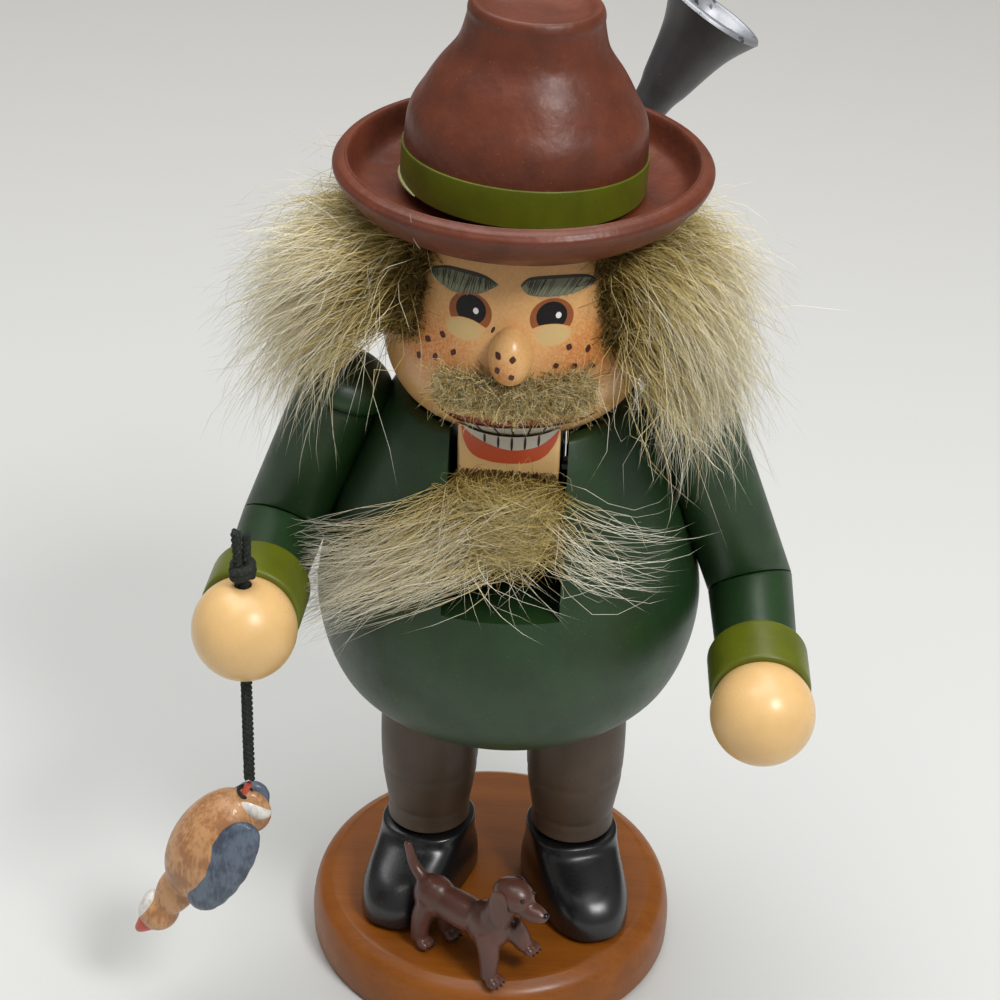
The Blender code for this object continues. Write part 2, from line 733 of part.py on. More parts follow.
def make_body(finishes, clear):
    """The coat block: dished for the head, slotted for the jaw and grooved for its lever."""
    body = turned("body", body_outline(), TURNED_STEPS)
    half = SLOT_WIDTH / 2
    far = 2 * BELLY_RADIUS
    slot = block("jaw_slot", (-half, -far, SLOT_FLOOR_HEIGHT), (half, far, BODY_TOP + far))
    groove_front = body_radius_at(SLOT_FLOOR_HEIGHT) - TAIL_GROOVE_DEPTH
    groove_top = SLOT_FLOOR_HEIGHT + BORE_CLEARANCE
    groove = block("tail_groove", (-half, groove_front, BODY_FLOOR - far), (half, far, groove_top))
    across = Vector((far, 0.0, 0.0))
    pin = bore("pin_bore", PIVOT_PIN_RADIUS, PIVOT - across, PIVOT + across)
    cut(body, clear["head"], slot, groove, pin)
    for side in (-1, 1):
        name = side_name(side)
        inner, outer, outwards = shoulder_dowel_ends(side)
        inner = inner - outwards * DOWEL_END_GAP
        shoulder = bore(f"shoulder_bore_{name}", SHOULDER_DOWEL_RADIUS, inner, outer)
        low = Vector((side * LEG_SPREAD, 0.0, BODY_FLOOR - BOOT_HEIGHT))
        high = Vector((side * LEG_SPREAD, 0.0, BODY_FLOOR + LEG_DOWEL_IN_BODY + DOWEL_END_GAP))
        leg = bore(f"leg_bore_{name}", LEG_DOWEL_RADIUS, low, high)
        neck = bore(f"neck_bore_{name}", NECK_DOWEL_RADIUS, *neck_dowel_ends(side, DOWEL_END_GAP))
        cut(body, shoulder, leg, neck)
    inner, outer, inwards = gun_dowel_ends()
    cut(body, bore("gun_bore", GUN_DOWEL_RADIUS, inner + inwards * DOWEL_END_GAP, outer))
    link(body, finishes["coat"])


def neck_dowel_ends(side, spare=0.0):
    """The lower and upper ends of a dowel between the body and the head."""
    place = Vector((side * NECK_DOWEL_SPREAD, NECK_DOWEL_BACK, 0.0))
    seat = head_underside_at(place.length)
    low = place + Vector((0.0, 0.0, seat - NECK_DOWEL_DEPTH - spare))
    high = place + Vector((0.0, 0.0, seat + NECK_DOWEL_DEPTH + spare))
    return low, high


def make_head(finishes):
    """The head, bored for the neck dowels, the hat dowel and the nose peg."""
    head = turned("head", head_outline())
    for side in (-1, 1):
        name = side_name(side)
        low, high = neck_dowel_ends(side, DOWEL_END_GAP)
        cut(head, bore(f"head_neck_bore_{name}", NECK_DOWEL_RADIUS, low, high))
        link(rod(f"neck_dowel_{name}", NECK_DOWEL_RADIUS, *neck_dowel_ends(side)), finishes["wood"])
    low = Vector((0.0, 0.0, HEAD_TOP - HAT_DOWEL_IN_HEAD - DOWEL_END_GAP))
    high = Vector((0.0, 0.0, HEAD_TOP + HEAD_HEIGHT))
    nose_seat = head_radius_at(HEAD_FLOOR + NOSE_HEIGHT)
    peg_in = Vector((0.0, -(nose_seat - NOSE_PEG_DEPTH - DOWEL_END_GAP), HEAD_FLOOR + NOSE_HEIGHT))
    peg_out = Vector((0.0, -2 * HEAD_RADIUS, HEAD_FLOOR + NOSE_HEIGHT))
    cut(head, bore("head_hat_bore", HAT_DOWEL_RADIUS, low, high))
    cut(head, bore("nose_bore", NOSE_PEG_RADIUS, peg_in, peg_out))
    link(head, finishes["skin"])


def nose_centre():
    """The middle of the nose's egg."""
    height = HEAD_FLOOR + NOSE_HEIGHT
    return Vector((0.0, -(head_radius_at(height) + NOSE_STAND_OUT), height))


def make_nose(finishes, clear):
    """The egg of the nose with the peg that it is glued in by."""
    centre = nose_centre()
    nose = egg("nose", centre, (NOSE_HALF_WIDTH, NOSE_HALF_DEPTH, NOSE_HALF_HEIGHT))
    seat = centre.y + NOSE_STAND_OUT
    peg = rod("nose_peg", NOSE_PEG_RADIUS, centre, (0.0, seat + NOSE_PEG_DEPTH, centre.z))
    join(cut(nose, clear["head"]), peg)
    link(nose, finishes["skin"])


def make_hat(finishes):
    """The dished brim and the bell of the crown, on one dowel in the head."""
    foot = Vector((0.0, 0.0, HEAD_TOP - HAT_DOWEL_IN_HEAD))
    top = Vector((0.0, 0.0, CROWN_FLOOR + HAT_DOWEL_IN_CROWN))
    spare = Vector((0.0, 0.0, DOWEL_END_GAP))
    brim = turned("hat_brim", brim_outline(), TURNED_STEPS)
    below = Vector((0.0, 0.0, BRIM_FLOOR - BRIM_HEIGHT))
    above = Vector((0.0, 0.0, BRIM_TOP + BRIM_HEIGHT))
    cut(brim, bore("brim_bore", HAT_DOWEL_RADIUS, below, above))
    link(brim, finishes["hat"])
    crown = turned("hat_crown", crown_outline(), TURNED_STEPS)
    lift = CROWN_RADIUS * math.sin(math.radians(CROWN_LEAN))
    crown.location.z = CROWN_FLOOR + lift
    crown.rotation_euler.y = math.radians(CROWN_LEAN)
    slack = Vector((0.0, 0.0, lift + DOWEL_END_GAP))
    cut(crown, rod("crown_bore", HAT_DOWEL_RADIUS + BORE_CLEARANCE, foot - spare, top + slack, DOWEL_STEPS))
    link(crown, finishes["hat"])
    link(rod("hat_dowel", HAT_DOWEL_RADIUS, foot, top), finishes["wood"])


def arc(centre, radius, start, end, steps):
    """Points of an arc about a centre, by its angles in degrees."""
    points = []
    for step in range(steps + 1):
        angle = math.radians(start + (end - start) * step / steps)
        points.append((centre[0] + radius * math.cos(angle), centre[1] + radius * math.sin(angle)))
    return points


def jaw_profile():
    """The jaw and lever seen from the side, as (y, z): front to the left, back to the right."""
    y, z = PIVOT.y, PIVOT.z
    front = -JAW_REACH
    lip_radii = (JAW_REACH, JAW_REACH - LIP_WALL, HEAD_FLAT_RADIUS)
    lip = [(-radius, head_underside_at(radius) - 1.5 * SEAT_GAP) for radius in lip_radii]
    chin = lip[0][1] - JAW_FRONT_DEPTH
    tail_top = SLOT_FLOOR_HEIGHT + 4 * SEAT_GAP
    inner = body_radius_at(SLOT_FLOOR_HEIGHT) - TAIL_GROOVE_DEPTH + 3 * SEAT_GAP
    heights = [tail_top - LEVER_TAIL_DROP * share for share in (0.0, 0.22, 0.45, 0.68)]
    foot = PIVOT.z - LEVER_TAIL_DROP
    edge = 2 * EDGE_ROUNDING
    back = [(body_radius_at(h) + LEVER_TAIL_STAND_OUT, h) for h in heights if h > foot + 5 * edge]
    neck = front + 1.8 * LIP_WALL + NUT_RECESS_LENGTH
    return [
        *lip[::-1],
        (front, chin),
        (front + 0.5 * LIP_WALL, chin - EDGE_ROUNDING),
        (y - 1.35 * JAW_BOSS_RADIUS, z - JAW_BOSS_RADIUS - EDGE_ROUNDING),
        *arc((y, z), JAW_BOSS_RADIUS, 250.0, 290.0, 2),
        (inner, tail_top - EDGE_ROUNDING),
        (inner, foot + edge),
        (inner + edge, foot),
        (inner + LEVER_TAIL_THICKNESS - edge, foot),
        (inner + LEVER_TAIL_THICKNESS, foot + edge),
        *back[::-1],
        (back[0][0] - 2 * edge, tail_top + edge),
        *arc((y, z), JAW_BOSS_RADIUS, 70.0, 100.0, 2),
        (neck, HEAD_FLOOR - 2 * edge),
        (neck - 1.1 * LIP_WALL, HEAD_FLOOR - 1.5 * edge),
    ]


def make_jaw(finishes):
    """The jaw and its lever in one sawn piece, with a recess for the nut, and the pivot pin."""
    shape = bmesh.new()
    half = JAW_WIDTH / 2
    outline = [shape.verts.new((-half, y, z)) for y, z in jaw_profile()]
    face = shape.faces.new(outline)
    grown_out = bmesh.ops.extrude_face_region(shape, geom=[face])
    moved = [v for v in grown_out["geom"] if isinstance(v, bmesh.types.BMVert)]
    bmesh.ops.translate(shape, vec=(JAW_WIDTH, 0.0, 0.0), verts=moved)
    jaw = from_bmesh("jaw_lever", shape)
    origin = Matrix.Translation(-PIVOT)
    jaw.data.transform(origin)
    jaw.location = PIVOT
    back_edge = -JAW_REACH + LIP_WALL
    recess = block(
        "nut_recess",
        (-NUT_RECESS_WIDTH / 2, back_edge, PIVOT.z + NUT_RECESS_FLOOR),
        (NUT_RECESS_WIDTH / 2, back_edge + NUT_RECESS_LENGTH, HEAD_FLOOR + HEAD_WIDEST),
    )
    across = Vector((JAW_WIDTH, 0.0, 0.0))
    pin_hole = bore("jaw_pin_bore", PIVOT_PIN_RADIUS, PIVOT - across, PIVOT + across)
    cut(jaw, recess, pin_hole)
    link(jaw, finishes["skin"])
    reach = Vector((body_radius_at(PIVOT.z) - PIVOT_PIN_INSET, 0.0, 0.0))
    link(rod("pivot_pin", PIVOT_PIN_RADIUS, PIVOT - reach, PIVOT + reach), finishes["steel"])


def keep_beyond(obj, point, normal):
    """Saw a piece off square to a direction and keep the part that lies ahead."""
    inverse = obj.matrix_basis.inverted()
    shape = bmesh.new()
    shape.from_mesh(obj.data)
    everything = [*shape.verts, *shape.edges, *shape.faces]
    bmesh.ops.bisect_plane(
        shape,
        geom=everything,
        plane_co=inverse @ point,
        plane_no=(inverse.to_3x3() @ normal).normalized(),
        clear_inner=True,
    )
    open_edges = [edge for edge in shape.edges if edge.is_boundary]
    bmesh.ops.contextual_create(shape, geom=open_edges)
    bmesh.ops.recalc_face_normals(shape, faces=shape.faces)
    shape.to_mesh(obj.data)
    shape.free()
    obj.data.shade_smooth()
    obj.data.set_sharp_from_angle(angle=math.radians(40.0))


def make_arm(side, finishes, clear):
    """One arm: upper arm and mitred sleeve, cuff, ball hand, shoulder cap and dowel."""
    name = side_name(side)
    top, elbow, down, forward = arm_frame(side)
    mitre = (down + forward).normalized()
    spare = 2 * ARM_RADIUS
    half_gap = SEAT_GAP / 2

    upper = rod(f"upper_arm_{name}", ARM_RADIUS, top, elbow + down * spare, SMALL_STEPS)
    keep_beyond(upper, elbow - mitre * half_gap, -mitre)
    inner, outer, outwards = shoulder_dowel_ends(side)
    arm_bore = bore(f"arm_bore_{name}", SHOULDER_DOWEL_RADIUS, inner, outer + outwards * DOWEL_END_GAP)
    cut(upper, clear["body"], clear["head"], arm_bore)
    link(upper, finishes["coat"])
    link(rod(f"shoulder_dowel_{name}", SHOULDER_DOWEL_RADIUS, inner, outer), finishes["wood"])

    sleeve_end = elbow + forward * SLEEVE_LENGTH
    widening = (ARM_RADIUS - SLEEVE_END_RADIUS) * spare / SLEEVE_LENGTH
    behind = elbow - forward * spare
    foot_radius = ARM_RADIUS + widening
    sleeve = rod(f"forearm_{name}", foot_radius, behind, sleeve_end, SMALL_STEPS, SLEEVE_END_RADIUS)
    keep_beyond(sleeve, elbow + mitre * half_gap, mitre)
    peg_end = sleeve_end - forward * WRIST_PEG_DEPTH
    hand_at = hand_centre(side)
    cut(sleeve, bore(f"sleeve_bore_{name}", WRIST_PEG_RADIUS, peg_end - forward * DOWEL_END_GAP, hand_at))
    link(sleeve, finishes["coat"])

    cuff_start = sleeve_end + forward * SEAT_GAP
    bore_radius = WRIST_PEG_RADIUS + BORE_CLEARANCE
    outline = [
        (bore_radius, CUFF_LENGTH),
        (CUFF_RADIUS - CUFF_ROUNDING, CUFF_LENGTH),
        (CUFF_RADIUS, CUFF_LENGTH - CUFF_ROUNDING),
        (CUFF_RADIUS, CUFF_ROUNDING),
        (CUFF_RADIUS - CUFF_ROUNDING, 0.0),
        (bore_radius, 0.0),
        (bore_radius, CUFF_LENGTH),
    ]
    cuff = turned(f"cuff_{name}", outline, SMALL_STEPS)
    cuff.location = cuff_start
    cuff.rotation_euler = forward.to_track_quat("Z", "Y").to_euler()
    hand_room = egg(f"hand_room_{name}", hand_at, [HAND_RADIUS + SEAT_GAP] * 3, SMALL_STEPS, 12)
    hand_room.rotation_euler = cuff.rotation_euler
    cut(cuff, hand_room)
    link(cuff, finishes["trim"])

    hand = egg(f"hand_{name}", hand_at, [HAND_RADIUS] * 3, SMALL_STEPS, 12)
    hand.rotation_euler = cuff.rotation_euler
    join(hand, rod(f"wrist_peg_{name}", WRIST_PEG_RADIUS, peg_end, hand_at))
    if side < 0:
        above = Vector((0.0, 0.0, 2 * HAND_RADIUS))
        cut(hand, bore("cord_bore", CORD_RADIUS, hand_at - above, hand_at + above))
    link(hand, finishes["skin"])

    dome = [
        (0.0, SHOULDER_CAP_THICKNESS),
        (0.45 * SHOULDER_CAP_RADIUS, 0.94 * SHOULDER_CAP_THICKNESS),
        (0.78 * SHOULDER_CAP_RADIUS, 0.76 * SHOULDER_CAP_THICKNESS),
        (0.96 * SHOULDER_CAP_RADIUS, 0.48 * SHOULDER_CAP_THICKNESS),
        (SHOULDER_CAP_RADIUS, 0.22 * SHOULDER_CAP_THICKNESS),
        (0.93 * SHOULDER_CAP_RADIUS, 0.0),
        (0.0, 0.0),
    ]
    cap = turned(f"shoulder_cap_{name}", dome, SMALL_STEPS)
    cap.location = top - down * SEAT_GAP
    cap.rotation_euler = (-down).to_track_quat("Z", "Y").to_euler()
    cut(cap, clear["body"], clear["head"])
    link(cap, finishes["coat"])


def fan_value(rows, back, high):
    """A value of a fan: back runs from 0 at the front to 1 at the back, high from 0 to 1."""
    place = 2 * back
    first = min(int(place), 1)
    lowest, highest = (row[first] + (row[first + 1] - row[first]) * (place - first) for row in rows)
    return lowest + (highest - lowest) * high


def fan_point(side, back, high, along):
    """A point of a tuft, along the parabola that a hair bends in. The roots are tucked in."""
    turn = math.radians(TUFT_FRONT[side] + (TUFT_BACK - TUFT_FRONT[side]) * back)
    height = HEAD_FLOOR + TUFT_LOW[side] + (TUFT_HIGH - TUFT_LOW[side]) * high
    out = Vector((side * math.sin(turn), -math.cos(turn), 0.0))
    up = Vector((0.0, 0.0, 1.0))
    root = out * head_radius_at(height) + up * height
    if along == 0:
        return root - out * TUFT_TUCK
    heading = math.radians(fan_value(TUFT_HEADING[side], back, high))
    level = Vector((side * math.sin(heading), -math.cos(heading), 0.0))
    leave = math.radians(fan_value(TUFT_LEAVE[side], back, high))
    fall = math.radians(fan_value(TUFT_FALL[side], back, high))
    length = fan_value(TUFT_LENGTH[side], back, high)
    middle = root + (level * math.cos(leave) + up * math.sin(leave)) * 0.52 * length
    tip = middle + (level * math.cos(fall) + up * math.sin(fall)) * 0.56 * length
    return (1 - along) ** 2 * root + 2 * along * (1 - along) * middle + along**2 * tip


def make_tuft(side):
    """The closed skin round a tuft's fan: its front and back, lowest and highest, root and tip."""
    steps = (6, 4, 4)
    shape = bmesh.new()
    made = {}

    def vertex(place):
        if place not in made:
            back, high, along = (index / step for index, step in zip(place, steps))
            made[place] = shape.verts.new(fan_point(side, back, high, along * TUFT_FULL))
        return made[place]

    for fixed in range(3):
        first, second = (axis for axis in range(3) if axis != fixed)
        for end in (0, steps[fixed]):
            for i in range(steps[first]):
                for j in range(steps[second]):
                    corners = []
                    for step_i, step_j in ((0, 0), (1, 0), (1, 1), (0, 1)):
                        place = [end] * 3
                        place[first] = i + step_i
                        place[second] = j + step_j
                        corners.append(vertex(tuple(place)))
                    shape.faces.new(corners)
    return from_bmesh(f"hair_{side_name(side)}", shape)


def make_hair(finishes, clear):
    """The wig of fur: a tuft over each ear and a strip between them behind the head."""
    middle = HEAD_FLOOR + 0.55 * HEAD_HEIGHT
    for side in (-1, 1):
        tuft = make_tuft(side)
        cut(tuft, clear["head"], clear["brim"], clear["body"], clear["cap", side], clear["arm", side])
        link(tuft, finishes["fur"])
    depth = HEAD_RADIUS + NAPE_REACH
    far = 2 * depth
    strip = egg("hair_back", (0.0, 0.0, middle), (HEAD_RADIUS, depth, NAPE_HALF_HEIGHT), 20, 10)
    front = block("hair_back_front", (-far, -far, 0.0), (far, NAPE_FRONT, HEAD_TOP + far))
    cut(strip, clear["head"], clear["brim"], clear["body"], front)
    for side in (-1, 1):
        inner, outer = sorted((side * NAPE_HALF_WIDTH, side * far))
        cut(strip, block(f"nape_{side_name(side)}", (inner, -far, 0.0), (outer, far, HEAD_TOP + far)))
    link(strip, finishes["fur"])


def make_face_fur(finishes, clear):
    """The moustache on the head and the beard on the jaw."""
    height = nose_centre().z - NOSE_HALF_HEIGHT - 0.67 * MOUSTACHE_HALF_HEIGHT
    seat = head_radius_at(height) - 2 * SEAT_GAP
    halves = (MOUSTACHE_HALF_WIDTH, MOUSTACHE_HALF_DEPTH, MOUSTACHE_HALF_HEIGHT)
    moustache = egg("moustache", (0.0, -seat, height), halves)
    cut(moustache, clear["head"], clear["nose"])
    link(moustache, finishes["fur"])

    root_top = head_underside_at(JAW_REACH) - BEARD_ROOT_DROP
    middle = root_top - BEARD_LENGTH / 2
    centre = Vector(((BEARD_LEFT_SWEEP - BEARD_RIGHT_SWEEP) / 2, -body_radius_at(middle) - SEAT_GAP, middle))
    sweep = (BEARD_LEFT_SWEEP + BEARD_RIGHT_SWEEP) / 2
    fan = egg("beard", centre, (sweep, BEARD_THICKNESS, BEARD_LENGTH / 2), 20, 10)
    half = BEARD_ROOT_WIDTH / 2
    root_low = (-half, centre.y, root_top - BEARD_ROOT_LENGTH)
    root = block("beard_root", root_low, (half, -JAW_REACH - SEAT_GAP, root_top))
    fan.data.transform(Matrix.Translation(centre - PIVOT))
    fan.location = PIVOT
    cut(fan, clear["body"])
    join(fan, root)
    link(fan, finishes["fur"])


def make_gun(finishes):
    """The blunderbuss slung across the back: a flat stock and a turned barrel on a tenon."""
    frame = gun_frame()
    butt, wrist = GUN_BUTT_HALF_WIDTH, GUN_WRIST_HALF_WIDTH
    length = GUN_STOCK_LENGTH
    comb, grip = 0.36 * length, 0.62 * length
    upper = through([(-butt, 0.0), (-0.9 * wrist, comb), (-wrist, grip), (-1.3 * wrist, length)], 3)
    lower = through([(1.3 * wrist, length), (1.1 * wrist, grip), (1.6 * wrist, comb), (1.35 * butt, 0.0)], 3)
    half = GUN_STOCK_THICKNESS / 2
    shape = bmesh.new()
    outline = [shape.verts.new((x, -half, z)) for x, z in [*upper, *lower]]
    face = shape.faces.new(outline)
    grown_out = bmesh.ops.extrude_face_region(shape, geom=[face])
    moved = [v for v in grown_out["geom"] if isinstance(v, bmesh.types.BMVert)]
    bmesh.ops.translate(shape, vec=(0.0, GUN_STOCK_THICKNESS, 0.0), verts=moved)
    stock = from_bmesh("gun_stock", shape)
    stock.matrix_world = frame
    seat = frame @ Vector((0.0, 0.0, length))
    along = (frame.to_3x3() @ Vector((0.0, 0.0, 1.0))).normalized()
    tenon_floor = seat - along * (GUN_TENON_LENGTH + DOWEL_END_GAP)
    tenon_hole = bore("tenon_hole", GUN_TENON_RADIUS, tenon_floor, seat + along * length)
    inner, outer, inwards = gun_dowel_ends()
    cut(stock, tenon_hole)
    cut(stock, bore("stock_bore", GUN_DOWEL_RADIUS, inner, outer - inwards * DOWEL_END_GAP))
    link(stock, finishes["stock"])

    barrel_length = GUN_LENGTH - length - SEAT_GAP
    neck = barrel_length - GUN_MUZZLE_LENGTH
    flare = through(
        [
            (GUN_MUZZLE_RADIUS, barrel_length - EDGE_ROUNDING),
            (0.30 * GUN_BARREL_RADIUS + 0.60 * GUN_MUZZLE_RADIUS, neck + 0.70 * GUN_MUZZLE_LENGTH),
            (0.90 * GUN_BARREL_RADIUS + 0.17 * GUN_MUZZLE_RADIUS, neck + 0.32 * GUN_MUZZLE_LENGTH),
            (GUN_BARREL_RADIUS, neck),
        ],
        2,
    )
    bore_floor = barrel_length - GUN_MUZZLE_DEPTH
    outline = [
        (0.0, bore_floor),
        (0.40 * GUN_MUZZLE_RADIUS, bore_floor + EDGE_ROUNDING),
        (GUN_MUZZLE_RADIUS - EDGE_ROUNDING - GUN_MUZZLE_WALL, barrel_length),
        (GUN_MUZZLE_RADIUS - EDGE_ROUNDING, barrel_length),
        *flare,
        (GUN_BARREL_RADIUS, EDGE_ROUNDING),
        (GUN_BARREL_RADIUS - EDGE_ROUNDING, 0.0),
        (GUN_TENON_RADIUS, 0.0),
        (GUN_TENON_RADIUS, -GUN_TENON_LENGTH),
        (0.0, -GUN_TENON_LENGTH),
    ]
    barrel = turned("gun_barrel", outline, 20)
    barrel.matrix_world = frame @ Matrix.Translation((0.0, 0.0, length + SEAT_GAP))
    link(barrel, finishes["gun"])
    link(rod("gun_dowel", GUN_DOWEL_RADIUS, inner, outer), finishes["wood"])


def tube(name, points, radii, fineness=2):
    """A tube through its points, with a radius for each of them, as a closed mesh."""
    curve = bpy.data.curves.new(name, "CURVE")
    curve.dimensions = "3D"
    curve.bevel_depth = 1.0
    curve.bevel_resolution = fineness
    curve.render_resolution_u = 0
    curve.use_fill_caps = True
    spline = curve.splines.new("POLY")
    spline.points.add(len(points) - 1)
    for slot, point, radius in zip(spline.points, points, radii):
        slot.co = (*point, 1.0)
        slot.radius = radius
    guide = bpy.data.objects.new(f"{name}_guide", curve)
    bpy.context.scene.collection.objects.link(guide)
    bpy.context.view_layer.update()
    evaluated = guide.evaluated_get(bpy.context.evaluated_depsgraph_get())
    mesh = bpy.data.meshes.new_from_object(evaluated)
    bpy.data.objects.remove(guide, do_unlink=True)
    shape = bmesh.new()
    shape.from_mesh(mesh)
    bmesh.ops.remove_doubles(shape, verts=shape.verts, dist=0.000001)
    return from_bmesh(name, shape)


def cord_mouth():
    """The lower mouth of the hole in the right hand, where the bird's cord swings."""
    return hand_centre(-1) - Vector((0.0, 0.0, HAND_RADIUS))


def make_cord(finishes):
    """The knotted cord through the right hand, and its free stretch down to the bird."""
    hand = hand_centre(-1)
    top = hand.z + HAND_RADIUS
    knot = top + KNOT_RADIUS + SEAT_GAP
    low = hand.z - HAND_RADIUS + SEAT_GAP
    sway = 0.15 * CORD_RADIUS
    stations = [
        (low, CORD_RADIUS, 0.0),
        (top - SEAT_GAP, CORD_RADIUS, 0.0),
        (knot - 0.80 * KNOT_RADIUS, 0.72 * KNOT_RADIUS, 0.0),
        (knot - 0.30 * KNOT_RADIUS, KNOT_RADIUS, 0.0),
        (knot + 0.30 * KNOT_RADIUS, KNOT_RADIUS, sway),
        (knot + 0.80 * KNOT_RADIUS, 0.78 * KNOT_RADIUS, sway),
        (knot + 1.05 * KNOT_RADIUS, 1.05 * CORD_RADIUS, 2 * sway),
        (knot + KNOT_RADIUS + 0.5 * CORD_STUB, CORD_RADIUS, 3 * sway),
        (knot + KNOT_RADIUS + CORD_STUB, 0.9 * CORD_RADIUS, sway),
    ]
    points = [(hand.x - bend, hand.y, height) for height, _, bend in stations]
    link(tube("cord_knot", points, [radius for _, radius, _ in stations]), finishes["cord"])

    mouth = cord_mouth()
    steps = 6
    points = [mouth - Vector((0.0, 0.0, CORD_DROP * i / steps)) for i in range(steps + 1)]
    radii = [CORD_RADIUS] * steps + [1.35 * CORD_RADIUS]
    stretch = tube("cord_drop", points, radii)
    stretch.data.transform(Matrix.Translation(-mouth))
    stretch.location = mouth
    link(stretch, finishes["cord"])


def carve(name, parts, skin, passes):
    """One carved figure of overlapping rounded lumps, and the lumps that it is made of."""
    whole, *lumps = parts
    whole.name = name
    melt(join(whole, *lumps), skin, passes)
    return whole


def make_bird(finishes):
    """The game bird, hung by its feet: tail, body, wings, neck, head and bill in one carving."""
    feet = cord_mouth() - Vector((0.0, 0.0, CORD_DROP + SEAT_GAP))
    girth, long = BIRD_GIRTH_RADIUS, BIRD_LENGTH
    lumps = [
        egg("bird_body", (0.0, 0.0, -0.38 * long), (0.92 * girth, girth, 0.30 * long), 16, 12),
        egg("bird_tail", (0.24 * girth, 0.0, -0.15 * long), (0.64 * girth, 0.28 * girth, 0.11 * long), 10, 8),
    ]
    thin = 0.46 * girth
    lumps.append(egg("bird_neck", (-0.12 * girth, 0.0, -0.70 * long), (thin, thin, 0.15 * long), 10, 8))
    lumps.append(egg("bird_head", (-0.20 * girth, 0.0, -0.86 * long), (thin, thin, 0.11 * long), 12, 8))
    wing = (0.52 * girth, 0.24 * girth, 0.27 * long)
    for y in (-0.80 * girth, 0.80 * girth):
        lumps.append(egg("bird_wing", (0.36 * girth, y, -0.36 * long), wing, 12, 8))
    bill_root = (-0.24 * girth, 0.0, -0.90 * long)
    bill_tip = (-0.40 * girth, 0.0, -1.02 * long)
    lumps.append(rod("bird_bill", 0.24 * girth, bill_root, bill_tip, 10, 0.12 * girth))
    lumps.append(rod("bird_feet", 0.18 * girth, (0.0, 0.0, -0.30 * long), (0.0, 0.0, -0.2 * SEAT_GAP), 10))
    body = lumps[0]
    body.data.transform(Matrix.Translation(body.location))
    body.location = (0.0, 0.0, 0.0)
    carve("bird", lumps, 0.16 * girth, 2)
    pose = Matrix.Translation(feet) @ Matrix.Rotation(math.radians(BIRD_LEAN), 4, "Y")
    for lump in lumps:
        lump.matrix_world = pose @ lump.matrix_basis
    link(body, finishes["bird"])


def make_dog(finishes):
    """The small pointing hound in front of the boots, with one forefoot raised."""
    long, tall, girth = DOG_LENGTH, DOG_SHOULDER_HEIGHT, DOG_GIRTH_RADIUS
    back = tall - 0.6 * girth
    thin = 0.34 * girth
    lumps = [
        egg("dog_trunk", (0.0, 0.0, back), (0.92 * girth, 0.50 * long, girth), 14, 10),
        egg("dog_chest", (0.0, -0.32 * long, back), (1.04 * girth, 1.25 * girth, 1.30 * girth), 12, 8),
        egg("dog_rump", (0.0, 0.32 * long, back), (girth, 1.17 * girth, 1.17 * girth), 12, 8),
        egg("dog_head", (0.0, -0.60 * long, 1.59 * tall), (0.88 * girth, 1.12 * girth, 0.88 * girth), 12, 8),
        egg("dog_muzzle", (0.0, -0.80 * long, 1.47 * tall), (0.54 * girth, girth, 0.50 * girth), 10, 8),
    ]
    neck_root = (0.0, -0.38 * long, 0.95 * tall)
    lumps.append(rod("dog_neck", 0.88 * girth, neck_root, (0.0, -0.54 * long, 1.52 * tall), 12, 0.67 * girth))
    for side in (-1, 1):
        ear_at = (side * 0.83 * girth, -0.55 * long, 1.47 * tall)
        lumps.append(egg("dog_ear", ear_at, (thin, 0.58 * girth, 1.04 * girth), 8, 6))
    tail_root = (0.0, 0.44 * long, tall)
    lumps.append(rod("dog_tail", 1.2 * thin, tail_root, (0.0, 0.68 * long, 1.54 * tall), 8, 0.7 * thin))
    ankle = 0.9 * DOG_LEG_RADIUS
    paws = [
        (-0.71 * girth, -0.44, ankle),
        (1.08 * girth, -0.60, 0.47 * tall),
        (-0.71 * girth, 0.40, ankle),
        (0.63 * girth, 0.28, ankle),
    ]
    for across, along, height in paws:
        hip = Vector((0.6 * across, 0.80 * along * long, back))
        paw = Vector((across, along * long, height))
        toes = paw + Vector((0.0, -0.5 * DOG_LEG_RADIUS, 0.0))
        lumps.append(rod("dog_leg", DOG_LEG_RADIUS, paw, hip, 10, 1.45 * DOG_LEG_RADIUS))
        lumps.append(egg("dog_paw", toes, (1.2 * DOG_LEG_RADIUS, 1.6 * DOG_LEG_RADIUS, ankle), 10, 6))
    dog = carve("dog", lumps, thin, 1)
    sole = block("dog_sole", (-long, -long, -tall), (long, long, SEAT_GAP))
    cut(dog, sole)
    place = Vector((DOG_ASIDE, DOG_EDGE_DISTANCE - BASE_TOP_RADIUS, BASE_THICKNESS))
    pose = Matrix.Translation(place) @ Matrix.Rotation(math.radians(DOG_HEADING), 4, "Z")
    for lump in (*lumps, sole):
        lump.matrix_world = pose @ lump.matrix_basis
    link(dog, finishes["dog"])


def main():
    """Build the whole figure."""
    clear_scene()
    finishes = make_finishes()
    clear = make_clearances()
    make_base(finishes)
    for side in (-1, 1):
        make_boot(side, finishes)
        make_leg(side, finishes)
    make_body(finishes, clear)
    make_jaw(finishes)
    make_head(finishes)
    make_nose(finishes, clear)
    make_hat(finishes)
    for side in (-1, 1):
        make_arm(side, finishes, clear)
    make_hair(finishes, clear)
    make_face_fur(finishes, clear)
    make_gun(finishes)
    make_cord(finishes)
    make_bird(finishes)
    make_dog(finishes)
    bpy.context.view_layer.update()


main()
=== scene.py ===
"""The looks of a wooden nutcracker hunter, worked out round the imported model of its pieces.

Lengths are metres, and names that end in _deg are degrees. The figure's axis is Z, it faces -Y
and its own left is at +X. A turned piece is an outline of (radius, height) points. Where points
are given as shares, they are shares of the piece's own sizes.
"""

import enum
import logging
import math
from collections.abc import Sequence
from dataclasses import dataclass, field

